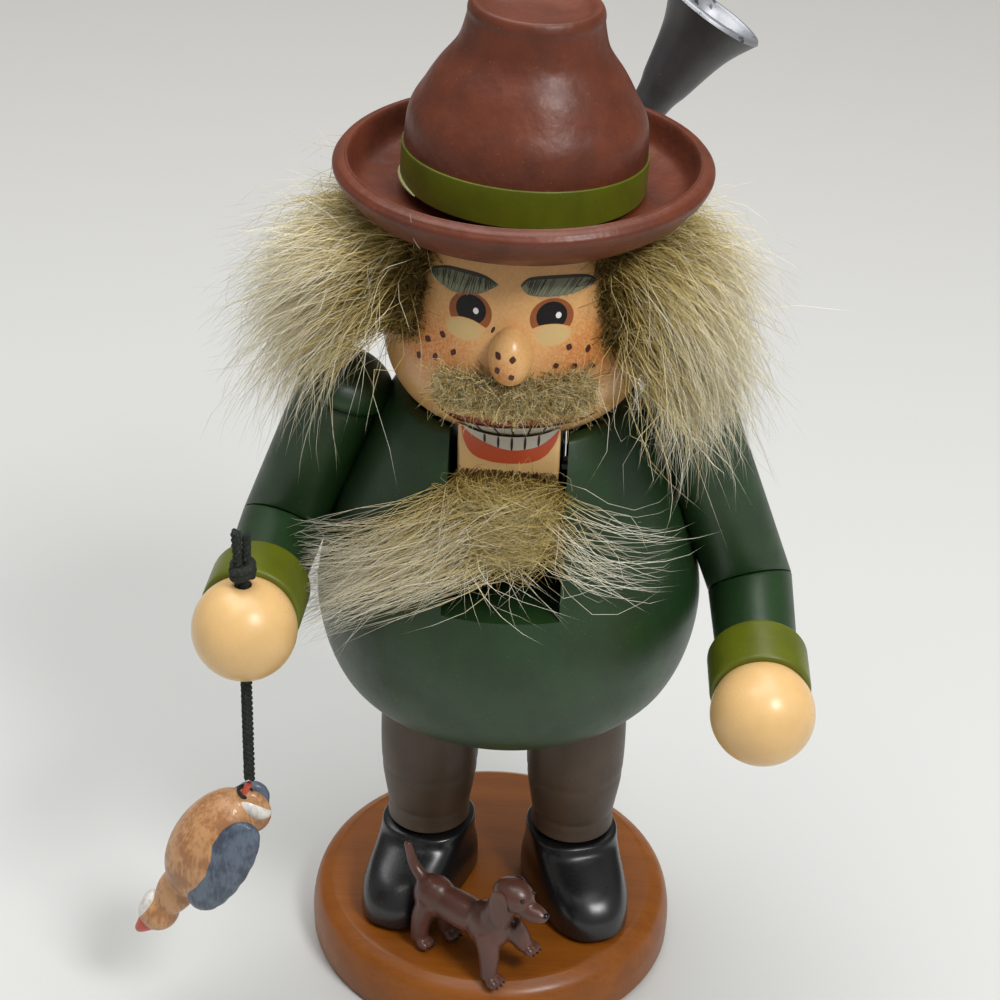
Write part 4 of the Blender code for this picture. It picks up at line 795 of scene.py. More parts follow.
def build(name: str, form: Form, sharp_deg: float = SHARP_DEG) -> bpy.types.Object:
    """A piece of a form: doubles merged, open ends filled, faces outwards, shaded smooth.

    Args:
        name: The piece's name.
        form: Its shape.
        sharp_deg: The angle past which an edge stays sharp.

    Returns:
        The object.
    """
    obj = raw_object(name, form)
    shape = bmesh.new()
    shape.from_mesh(obj.data)
    bmesh.ops.remove_doubles(shape, verts=shape.verts, dist=5e-7)
    bmesh.ops.dissolve_degenerate(shape, edges=shape.edges, dist=1e-7)
    open_edges = [edge for edge in shape.edges if edge.is_boundary]
    if open_edges:
        bmesh.ops.holes_fill(shape, edges=open_edges, sides=0)
    many = [face for face in shape.faces if len(face.verts) > 4]
    if many:
        bmesh.ops.triangulate(shape, faces=many)
    bmesh.ops.recalc_face_normals(shape, faces=shape.faces)
    if shape.calc_volume(signed=True) < 0.0:
        bmesh.ops.reverse_faces(shape, faces=shape.faces)
    shape.to_mesh(obj.data)
    shape.free()
    smooth(obj, sharp_deg)
    return obj


def apply_modifiers(obj: bpy.types.Object) -> None:
    """Put what a piece's modifiers make into its mesh, and take them off."""
    bpy.context.view_layer.update()
    graph = bpy.context.evaluated_depsgraph_get()
    made = bpy.data.meshes.new_from_object(obj.evaluated_get(graph))
    obj.modifiers.clear()
    old = obj.data
    obj.data = made
    made.name = obj.name
    bpy.data.meshes.remove(old)


def cut(obj: bpy.types.Object, *tools: Form) -> None:
    """Cut each tool out of a piece."""
    cutters = [build(f"tool_{i}", tool) for i, tool in enumerate(tools)]
    for cutter in cutters:
        made = obj.modifiers.new(cutter.name, "BOOLEAN")
        made.operation = "DIFFERENCE"
        made.solver = "MANIFOLD"
        made.object = cutter
    apply_modifiers(obj)
    for cutter in cutters:
        bpy.data.meshes.remove(cutter.data)
    smooth(obj, SHARP_DEG)


def melted(name: str, form: Form, voxel: float, passes: int) -> bpy.types.Object:
    """Overlapping lumps run into one carved skin."""
    obj = build(name, form)
    remesh = obj.modifiers.new("one skin", "REMESH")
    remesh.mode = "VOXEL"
    remesh.voxel_size = voxel
    soft = obj.modifiers.new("softened", "SMOOTH")
    soft.factor = 0.5
    soft.iterations = passes
    apply_modifiers(obj)
    smooth(obj, 180.0)
    return obj


def settle(
    obj: bpy.types.Object, *finishes: Finish, node: str = "", slot: str = "", body: Body = Body.FIGURE
) -> None:
    """Dress a piece, put it on its body and hide the CAD node that it stands for.

    Args:
        obj: The piece.
        finishes: The piece's finish, or several in the order of its material slots.
        node: The CAD node that it stands for, if any.
        slot: The record's material slot that it takes its finish from, where that isn't named like the
            finish. It is not used.
        body: The body that it rides on.
    """
    obj.data.materials.clear()
    for finish in finishes:
        obj.data.materials.append(finish.material())
    if node:
        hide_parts(node)
    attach(obj, body.value)
    log.info("%s: %d faces on %s", obj.name, len(obj.data.polygons), body.value)


def add(
    name: str,
    form: Form,
    finish: Finish,
    node: str = "",
    slot: str = "",
    body: Body = Body.FIGURE,
    sharp_deg: float = SHARP_DEG,
) -> None:
    """Build a piece of a form and settle it, with the arguments of build and settle."""
    settle(build(name, form, sharp_deg), finish, node=node, slot=slot, body=body)


def top_of(node: str) -> float:
    """The highest point of a CAD node."""
    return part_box(node)[1].z


def floor_of(node: str) -> float:
    """The lowest point of a CAD node."""
    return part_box(node)[0].z


# Base, boots and legs


@dataclass
class Stand:
    """The round base plate and what stands on it: two boots and two trousered legs."""

    top_radius: float = 0.0199
    foot_chamfer: float = 0.0006
    leg_spread: float = 0.0088
    leg_radius: float = 0.0057
    leg_swell: float = 0.0002
    leg_edge: float = 0.0004
    ankle_radius: float = 0.0050
    creases: tuple[float, float] = (0.13, 0.40)
    crease_depth: float = 0.00016
    crease_share: float = 0.012
    toe_reach: float = 0.0132
    heel_reach: float = 0.0064
    boot_half_width: float = 0.0058
    boot_splay_deg: float = 19.0
    boot_blunt: float = 0.80
    # each row holds shares of the height, the toe's reach, the heel's reach and the width
    boot_levels: tuple[tuple[float, ...], ...] = (
        (0.00, 0.93, 0.93, 0.91),
        (0.05, 0.99, 0.99, 0.985),
        (0.10, 1.00, 1.00, 1.00),
        (0.36, 0.98, 0.99, 0.99),
        (0.58, 0.85, 0.96, 0.93),
        (0.74, 0.62, 0.92, 0.92),
        (0.86, 0.46, 0.88, 0.93),
        (0.97, 0.41, 0.85, 0.93),
        (1.00, 0.38, 0.80, 0.88),
    )

    def base_plate(self) -> None:
        """The plate: a flat top, a rounded shoulder, an upright rim and a small chamfer below."""
        low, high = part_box("base_plate")
        radius, thick = (high.x - low.x) / 2, high.z
        shoulder = (0.30 * self.top_radius + 0.70 * radius, 0.84 * thick)
        rim = through(
            [(self.top_radius, thick), shoulder, (radius, 0.50 * thick), (radius, self.foot_chamfer)]
        )
        flat = [(share * self.top_radius, thick) for share in (0.0, 0.3, 0.6, 0.85, 0.97)]
        foot = [(radius - self.foot_chamfer, 0.0), (0.5 * radius, 0.0), (0.0, 0.0)]
        plate = Matrix.Translation(((low.x + high.x) / 2, 0.0, 0.0))
        form = grid(turned(np.array([*flat, *rim, *foot]), 128)).moved(plate)
        # the honey stain's colours carry painted shade over the base
        add("base_plate_wood", form, SHADED_HONEY, "base_plate", sharp_deg=60.0)

    def place(self, side: Side, node: str) -> Matrix:
        """Where a boot or a leg stands: at the foot of its node."""
        return Matrix.Translation((side.value * self.leg_spread, 0.0, floor_of(node)))

    def boot(self, side: Side) -> None:
        """A boot: ovals with a blunt toe, from the sole up to the shaft. Each oval is
        (w cos^b a, l sin^b a), where l is the toe's reach in front and the heel's behind."""
        node = f"boot_{side.word}"
        levels = through(self.boot_levels, 4)
        angle = ring_angles(64)[None, :]
        cosine, sine = (np.sign(w) * np.abs(w) ** self.boot_blunt for w in (np.cos(angle), np.sin(angle)))
        reach = np.where(sine < 0, levels[:, 1:2] * self.toe_reach, levels[:, 2:3] * self.heel_reach)
        x = levels[:, 3:4] * self.boot_half_width * cosine
        z = levels[:, :1] * (top_of(node) - floor_of(node)) + 0 * angle
        rings = np.stack([x, reach * sine, z], axis=-1)
        turn = Matrix.Rotation(math.radians(side.value * self.boot_splay_deg), 4, "Z")
        form = grid(capped(rings)).moved(self.place(side, node) @ turn)
        add(f"{node}_leather", form, BOOT, node, sharp_deg=50.0)

    def leg(self, side: Side) -> None:
        """A turned leg: a slow swell over a narrower ankle, with two shallow creases turned in."""
        node = f"leg_{side.word}"
        length = top_of(node) - floor_of(node)
        curve = through(
            [
                (self.ankle_radius, 0.02 * length),
                (self.ankle_radius, 0.12 * length),
                (self.leg_radius, 0.36 * length),
                (self.leg_radius + self.leg_swell, 0.62 * length),
                (self.leg_radius, 0.97 * length),
            ]
        )
        for crease in self.creases:
            off = (curve[:, 1] / length - crease) / self.crease_share
            curve[:, 0] -= self.crease_depth * np.exp(-(off**2))
        foot = [(0.0, 0.0), (self.ankle_radius - self.leg_edge, 0.0)]
        head = [(self.leg_radius - self.leg_edge, length), (0.0, length)]
        form = grid(turned(np.concatenate([foot, curve, head]), 64)).moved(self.place(side, node))
        add(f"{node}_trouser", form, TROUSERS, node)

    def make(self) -> None:
        """Make the stand."""
        self.base_plate()
        for side in Side:
            self.boot(side)
            self.leg(side)


# The head's outline, which its face, fur and jaw follow


@dataclass(frozen=True)
class HeadShape:
    """The ball of the head: flat below, widest near the ears and drawn in towards the hat."""

    floor: float = floor_of("head")
    top: float = top_of("head")
    radius: float = 0.0146
    widest: float = 0.0103
    flat_radius: float = 0.0078
    top_radius: float = 0.0115

    def side(self) -> np.ndarray:
        """The outline from the top edge down to the flat below."""
        middle = self.floor + self.widest
        brow = self.top_radius + 0.58 * (self.radius - self.top_radius)
        jowl = self.flat_radius + 0.75 * (self.radius - self.flat_radius)
        return through(
            [
                (self.top_radius, self.top),
                (brow, middle + 0.60 * (self.top - middle)),
                (self.radius, middle),
                (jowl, self.floor + 0.40 * self.widest),
                (self.flat_radius, self.floor),
            ],
            16,
        )

    def outline(self) -> np.ndarray:
        """The whole outline, closed at the axis."""
        return np.concatenate([[(0.0, self.top)], self.side(), [(0.0, self.floor)]])

    def radius_at(self, height: np.ndarray) -> np.ndarray:
        """The radius at each height."""
        side = self.side()[::-1]
        return np.interp(height, side[:, 1], side[:, 0])

    def underside_at(self, radius: np.ndarray) -> np.ndarray:
        """The height of the underside at each radius."""
        side = self.side()
        below = side[side[:, 1] <= self.floor + self.widest][::-1]
        return np.interp(radius, below[:, 0], below[:, 1])


HEAD = HeadShape()


@dataclass(frozen=True)
class CoatShape:
    """The coat block: a cone of shoulders over a round belly, slotted for the jaw."""

    floor: float = floor_of("body")
    top: float = floor_of("body") + 0.0391
    top_radius: float = 0.0132
    collar_radius: float = 0.0149
    collar_drop: float = 0.0029
    chest_radius: float = 0.0196
    chest_height: float = 0.0244
    belly_radius: float = 0.0220
    belly_height: float = 0.0138
    hem_radius: float = 0.0146
    slot_height: float = floor_of("body") + 0.0212
    groove_depth: float = 0.0072

    def flank(self) -> np.ndarray:
        """The outline from the collar down to the hem."""
        collar = self.top - self.collar_drop
        chest = self.floor + self.chest_height
        seat = self.hem_radius + 0.72 * (self.belly_radius - self.hem_radius)
        return through(
            [
                (self.collar_radius, collar),
                ((self.collar_radius + self.chest_radius) / 2, (collar + chest) / 2),
                (self.chest_radius, chest),
                (self.belly_radius, self.floor + self.belly_height),
                (seat, self.floor + 0.34 * self.belly_height),
                (self.hem_radius, self.floor),
            ],
            14,
        )

    def radius_at(self, height: np.ndarray) -> np.ndarray:
        """The radius at each height."""
        flank = np.concatenate([[(self.top_radius, self.top)], self.flank()])[::-1]
        return np.interp(height, flank[:, 1], flank[:, 0])

    def groove_at(self) -> float:
        """How far behind the axis the floor of the lever's groove lies."""
        return float(self.radius_at(self.slot_height)) - self.groove_depth


COAT_SHAPE = CoatShape()


@dataclass
class CoatBlock:
    """The turned coat with its slot for the jaw and the groove for the lever's tail."""

    slot_half: float = 0.00635
    rear_half: float = 0.0058
    rear_from: float = 0.0055
    seat_gap: float = 0.0003
    far: float = 0.05
    edge: float = 0.0005
    hem_turn: float = 0.003
    rounding: float = 0.00022
    rounded_past_deg: float = 40.0

    def make(self) -> None:
        """Turn the block, then cut the head's seat, the slot and the groove."""
        shape = COAT_SHAPE
        flank = shape.flank()
        top = [(0.6 * shape.top_radius, shape.top), (shape.top_radius, shape.top), flank[0]]
        shoulder = eased(top, self.edge)
        hem = eased([flank[-2], flank[-1], (shape.hem_radius - self.hem_turn, shape.floor)], self.edge)
        ends = ([(0.0, shape.top)], [(0.0, shape.floor)])
        outline = np.concatenate([ends[0], shoulder[:-1], flank[:-2], hem, ends[1]])
        body = build("coat_block", grid(turned(outline, 144)))
        seat = HEAD.outline() + np.array([self.seat_gap, 0.0])
        seat[:, 0] = np.where(HEAD.outline()[:, 0] > 0, seat[:, 0], 0.0)
        seat[:, 1] -= self.seat_gap
        wide, rear, far, low = self.slot_half, self.rear_half, self.far, shape.slot_height
        tools = (
            grid(turned(seat, 96)),
            box((-wide, -far, low), (wide, self.rear_from, far * 3)),
            box((-rear, 0.0, low), (rear, far, far * 3)),
            box((-rear, shape.groove_at(), 0.0), (rear, far, low + self.seat_gap)),
        )
        cut(body, *tools)
        rounded = body.modifiers.new("eased edges", "BEVEL")
        rounded.width = self.rounding
        rounded.segments = 2
        rounded.limit_method = "ANGLE"
        rounded.angle_limit = math.radians(self.rounded_past_deg)
        settle(body, COAT, node="body")


# Paint laid on in patches


@dataclass(frozen=True)
class Ground:
    """A surface that takes painted patches: the point and outward normal under (x, z) in the
    front view."""

    kind: str
    centre: tuple[float, float, float] = (0.0, 0.0, 0.0)
    halves: tuple[float, float, float] = (1.0, 1.0, 1.0)
    blunt: float = 0.07

    def at(self, flat: np.ndarray) -> tuple[np.ndarray, np.ndarray]:
        """Carry points of the front view on to the surface.

        Args:
            flat: An array that ends in (x, z).

        Returns:
            The points and the normals there.
        """
        x, z = flat[..., 0], flat[..., 1]
        if self.kind == "head":
            radius = HEAD.radius_at(z)
            slope = (HEAD.radius_at(z + 1e-5) - HEAD.radius_at(z - 1e-5)) / 2e-5
            y = -np.sqrt((radius**2 - x**2).clip(1e-10))
            normal = np.stack([x, y, -radius * slope], axis=-1)
        elif self.kind == "egg":
            middle, half = np.array(self.centre), np.array(self.halves)
            across, along = (x - middle[0]) / half[0], (z - middle[2]) / half[2]
            ring = (1.0 - along**2).clip(0.0) * (1.0 - self.blunt * along) ** 2
            y = middle[1] - half[1] * np.sqrt((ring - across**2).clip(1e-6))
            normal = np.stack([x - middle[0], y - middle[1], z - middle[2]], axis=-1) / half**2
        else:
            y = np.full_like(x, self.centre[1])
            normal = np.stack([0 * x, -1.0 + 0 * x, 0 * x], axis=-1)
        normal /= np.linalg.norm(normal, axis=-1, keepdims=True)
        return np.stack([x, y, z], axis=-1), normal


LAYER = 0.000014
BEDDED = 0.00005


def film(ground: Ground, flat: np.ndarray, level: float, around: bool) -> Form:
    """A closed film of paint: the flat grid laid a few layers proud of the ground, and its
    underside bedded in it.

    Args:
        ground: The surface.
        flat: A grid in the front view, as (x, z).
        level: How many layers of paint lie under its face.
        around: True for a disc, whose rows run from its middle to its rim, and False for a
            band, whose columns run across it.

    Returns:
        The form.
    """
    points, normal = ground.at(flat)
    face = points + normal * LAYER * level
    under = points - normal * BEDDED
    if around:
        return grid(np.concatenate([face, under[::-1]]))
    return grid(capped(np.concatenate([face, under[:, ::-1]], axis=1)))


def disc(ground: Ground, rim: np.ndarray, level: float, rings: int = 7) -> Form:
    """A film inside a rim: rings drawn in from the rim to its middle."""
    rim = np.asarray(rim, float)
    share = np.linspace(0.0, 1.0, rings)[:, None, None]
    middle = rim.mean(axis=0)
    return film(ground, middle + share * (rim[None] - middle), level, True)


def band(ground: Ground, lower: np.ndarray, upper: np.ndarray, level: float, across: int = 5) -> Form:
    """A film between two lines with as many points each."""
    share = np.linspace(0.0, 1.0, across)[None, :, None]
    lower, upper = np.asarray(lower, float), np.asarray(upper, float)
    return film(ground, lower[:, None] * (1 - share) + upper[:, None] * share, level, False)


def stroke(ground: Ground, line: np.ndarray, half: float | np.ndarray, level: float) -> Form:
    """A brush stroke along a line, as wide as twice the half at each point, thin at its ends."""
    line = np.asarray(line, float)
    along = np.gradient(line, axis=0)
    along /= np.linalg.norm(along, axis=1, keepdims=True)
    side = np.stack([-along[:, 1], along[:, 0]], axis=1)
    fade = np.sin(np.linspace(0.12, np.pi - 0.12, len(line))) ** 0.35
    width = (np.broadcast_to(half, (len(line),)) * fade)[:, None]
    return band(ground, line - side * width, line + side * width, level, 3)


def ellipse(
    centre: Sequence[float], halves: Sequence[float], points: int = 40, tilt_deg: float = 0.0
) -> np.ndarray:
    """The rim of an ellipse in the front view, tilted by an angle."""
    angle = ring_angles(points)
    tilt = math.radians(tilt_deg)
    x, z = halves[0] * np.cos(angle), halves[1] * np.sin(angle)
    turned_x = x * math.cos(tilt) - z * math.sin(tilt)
    turned_z = x * math.sin(tilt) + z * math.cos(tilt)
    return np.stack([turned_x, turned_z], axis=1) + np.asarray(centre)


FACE_GROUND = Ground("head")


@dataclass(frozen=True)
class Eye:
    """A painted eye: its ring, pupil and glint in the front view, and the lid that cuts them."""

    ring: tuple[float, float]
    ring_halves: tuple[float, float]
    pupil: tuple[float, float]
    pupil_halves: tuple[float, float]
    glint: tuple[float, float]
    lid: tuple[tuple[float, float], ...]

    def rim(self, centre: Sequence[float], halves: Sequence[float], spare: float) -> np.ndarray:
        """An ellipse's rim in metres, with what lies below the lid's arc moved up to it."""
        rim = ellipse(centre, halves, 56)
        lid = through(self.lid, 8)
        rim[:, 1] = np.maximum(rim[:, 1], np.interp(rim[:, 0], lid[:, 0], lid[:, 1]) + spare)
        return rim * MM


@dataclass
class Face:
    """What is painted on the head. Places are millimetres in the front view."""

    eyes: tuple[Eye, Eye] = (
        Eye(
            (-4.38, 91.75), (2.24, 2.05), (-4.32, 92.05), (1.57, 1.50), (-3.80, 92.02),
            ((-6.70, 90.68), (-5.52, 91.08), (-4.39, 91.08), (-3.44, 90.80), (-2.60, 90.36), (-2.0, 89.95)),
        ),
        Eye(
            (3.96, 91.70), (2.21, 2.00), (3.96, 91.88), (1.55, 1.48), (4.64, 91.93),
            ((1.60, 90.44), (2.78, 90.96), (4.04, 91.07), (5.13, 90.91), (6.30, 90.40)),
        ),
    )
    # each brow: its upper line, its lower line and the way that its hairs lean
    brows: tuple = (
        (
            ((-9.0, 94.75), (-7.08, 95.70), (-4.60, 95.86), (-2.92, 95.66), (-1.62, 94.98)),
            ((-9.0, 94.45), (-7.57, 93.81), (-6.00, 93.43), (-3.70, 93.75), (-1.60, 94.86)),
            -1,
        ),
        (
            ((0.72, 95.05), (1.64, 95.82), (4.50, 95.91), (7.20, 95.54), (8.45, 94.72)),
            ((0.74, 94.90), (1.60, 94.10), (4.00, 93.86), (6.40, 94.00), (8.45, 94.58)),
            1,
        ),
    )
    brow_strokes: int = 84
    brow_lean: float = 2.2
    freckles: tuple = (
        (-8.80, 87.66), (-7.22, 88.72), (-9.78, 85.42), (-7.95, 86.09), (-6.01, 87.19),
        (5.88, 88.46), (7.82, 87.89), (4.61, 86.57), (6.53, 86.28), (8.34, 85.89),
    )
    nose_freckles: tuple = ((-1.16, 1.10), (0.34, 0.95), (-1.20, -0.45), (0.27, -1.0))
    mouth: tuple = (
        (-8.05, 80.46), (-7.27, 79.58), (-5.72, 78.70), (-4.16, 78.58), (-1.48, 78.54),
        (1.52, 78.74), (4.12, 78.76), (5.97, 78.86), (7.44, 78.90), (9.09, 79.45),
    )
    lip_ends: tuple[float, float] = (-0.0068, 0.0080)
    lip_swell: float = 0.00135
    teeth_ends: tuple[float, float] = (-0.0053, 0.0056)
    # how far in front of the axis the feet of the teeth, and of the seams between them, lie
    teeth_depth: float = 0.0113
    seam_depth: float = 0.0116
    tooth_tops: tuple = (-3.58, -1.67, 0.21, 2.30, 3.94)
    tooth_feet: tuple = (-2.86, -1.05, 0.47, 1.95, 3.40)

    @staticmethod
    def lay(*patches: tuple[str, list[Form], Finish]) -> None:
        """Lay patches of paint on the head: each is a name, its films and its paint."""
        for name, forms, finish in patches:
            add(name, joined(forms), finish, slot="skin_paint")

    def make_eyes(self) -> None:
        """The rings, pupils and glints."""
        rings, pupils, glints = [], [], []
        for eye in self.eyes:
            rings.append(disc(FACE_GROUND, eye.rim(eye.ring, eye.ring_halves, 0.0), 1.0))
            pupils.append(disc(FACE_GROUND, eye.rim(eye.pupil, eye.pupil_halves, 0.03), 2.2))
            glints.append(disc(FACE_GROUND, ellipse(eye.glint, (0.29, 0.32), 24) * MM, 3.4, 5))
        self.lay(("eye_rings", rings, IRIS), ("eye_pupils", pupils, PUPIL), ("eye_glints", glints, GLINT))

    @staticmethod
    def on_line(line: np.ndarray, at: float) -> np.ndarray:
        """The point of a line between its numbered points."""
        return np.array([np.interp(at, range(len(line)), line[:, i]) for i in (0, 1)])

    def make_brows(self, rng: np.random.Generator) -> None:
        """Each brow: a grey wash, a dark upper edge of painted shade from the brim, and many thin pale and
        dark strokes.
        """
        wash, dark, pale = [], [], []
        for upper, lower, way in self.brows:
            top, foot = through(upper, 8) * MM, through(lower, 8) * MM
            wash.append(band(FACE_GROUND, foot, top, 1.0, 6))
            # painted shade: the dark upper edge stands for the brim's shade on the brow
            shadow = top * 0.84 + foot * 0.16
            dark.append(band(FACE_GROUND, shadow, top, 1.8, 5))
            last = len(top) - 1
            for share in np.linspace(0.03, 0.97, self.brow_strokes):
                at = share * last
                high = self.on_line(top, at)
                low = self.on_line(foot, np.clip(at - way * self.brow_lean, 0, last))
                is_pale = rng.random() < 0.6
                starts, ends = ((0.35, 0.7), (0.95, 1.12)) if is_pale else ((0.0, 0.2), (0.5, 0.95))
                start, end = rng.uniform(*starts), rng.uniform(*ends)
                line = np.linspace(high + (low - high) * start, high + (low - high) * end, 5)
                line[:, 0] += rng.normal(0.0, 0.00004)
                target = pale if is_pale else dark
                half, level = rng.uniform(0.00003, 0.00005), rng.uniform(2.6, 3.6)
                target.append(stroke(FACE_GROUND, line, half, level))
        self.lay(
            ("brow_wash", wash, BROW_GREY), ("brow_strokes_and_shade", dark, BROW_STROKES_AND_SHADE), ("brow_pale", pale, BROW_PALE)
        )

    @staticmethod
    def drop(centre: Sequence[float], rng: np.random.Generator) -> np.ndarray:
        """The rim of one drop of paint, a little uneven, in metres."""
        rim = ellipse((0.0, 0.0), (0.28, 0.37), 24, rng.uniform(-22, 22))
        angle = ring_angles(24)
        twofold = 0.10 * np.sin(2 * angle + rng.uniform(0, 6))
        fourfold = 0.08 * np.sin(4 * angle + rng.uniform(0, 6))
        uneven = 1.0 + twofold + fourfold
        return (rim * uneven[:, None] + np.asarray(centre)) * MM

    def make_freckles(self, rng: np.random.Generator, nose: Ground) -> None:
        """The freckles: small slanted drops on the cheeks, the nose and beside its root."""
        forms = [disc(FACE_GROUND, self.drop(place, rng), 2.0, 4) for place in self.freckles]
        forms.append(disc(FACE_GROUND, ellipse((-1.95, 90.35), (0.16, 0.38), 16, -24.0) * MM, 2.0, 4))
        for x, z in self.nose_freckles:
            spot = np.array([nose.centre[0] / MM + x, nose.centre[2] / MM + z])
            forms.append(disc(nose, self.drop(spot, rng), 3.0, 5))
        self.lay(("freckles", forms, FRECKLE))

    def make_mouth(self) -> None:
        """The dark line of the mouth, the lip above it and the upper teeth with their lines."""
        line = through(self.mouth, 8) * MM
        spans = (self.lip_ends, self.teeth_ends)
        lip_low, toothed = (line[(line[:, 0] > a) & (line[:, 0] < b)] for a, b in spans)
        span = (lip_low[:, 0] - lip_low[0, 0]) / (lip_low[-1, 0] - lip_low[0, 0])
        swell = self.lip_swell * np.sin(np.pi * span) ** 0.45 + 0.00002
        lip = band(FACE_GROUND, lip_low, lip_low + np.stack([0 * span, swell], axis=1), 1.2, 6)
        foot = toothed.copy()
        foot[:, 0] *= 0.96
        foot[:, 1] = HEAD.underside_at(np.hypot(foot[:, 0], self.teeth_depth)) - BEDDED
        teeth = band(FACE_GROUND, foot, toothed, 1.2, 10)
        seams = [stroke(FACE_GROUND, line, np.full(len(line), 0.00017), 3.0)]
        for top, low in zip(self.tooth_tops, self.tooth_feet):
            high_z = np.interp(top * MM, line[:, 0], line[:, 1])
            low_z = float(HEAD.underside_at(math.hypot(low * MM, self.seam_depth)))
            ends = np.array([(top * MM, high_z), (low * MM, low_z)])
            seams.append(stroke(FACE_GROUND, np.linspace(ends[0], ends[1], 9), 0.00011, 2.4))
        self.lay(
            ("upper_lip", [lip], UPPER_LIP),
            ("upper_teeth", [teeth], TEETH),
            ("mouth_line", seams, MOUTH_DARK),
        )


@dataclass
class HeadAndNose:
    """The turned head and the egg of the nose, with the face painted on them."""

    nose_centre: tuple[float, float, float] = (0.0, -0.015133, 0.0882)
    nose_halves: tuple[float, float, float] = (0.0023, 0.0029, 0.0031)
    nose_blunt: float = 0.07
    cheeks: tuple = ((-0.0086, 0.0870), (0.0080, 0.0875))
    cheek_radius: float = 0.0060
    lids: tuple = ((-0.0050, 0.0899), (0.0041, 0.0899))
    lid_radius: float = 0.0013
    nose_blush: tuple = ((-0.0010, 0.0872),)
    nose_blush_radius: float = 0.0024
    edge: float = 0.0004

    def make(self) -> None:
        """Make the head, the nose and the face."""
        orange, lid = shade(202, 116, 46), shade(206, 178, 120)
        skin = FaceSkin(
            "face_paint", SKIN, orange, lid, self.cheeks, self.cheek_radius, self.lids, self.lid_radius
        )
        outline = eased(HEAD.outline(), self.edge, steps=3)
        add("head_ball", grid(turned(outline, 144)), skin, "head", "skin_paint")
        nose = egg(self.nose_centre, self.nose_halves, 64, 40, self.nose_blunt)
        nowhere = ((0.0, 0.0), (0.0, 0.0))
        red, spots = shade(208, 126, 54), (self.nose_blush, self.nose_blush_radius)
        nose_skin = FaceSkin("nose_paint", SKIN, red, SKIN.colour, *spots, nowhere, 0.0001)
        add("nose_egg", nose, nose_skin, "nose", "skin_paint")
        rng = np.random.default_rng(11)
        face = Face()
        face.make_eyes()
        face.make_brows(rng)
        face.make_freckles(rng, Ground("egg", self.nose_centre, self.nose_halves, self.nose_blunt))
        face.make_mouth()


# Jaw and lever


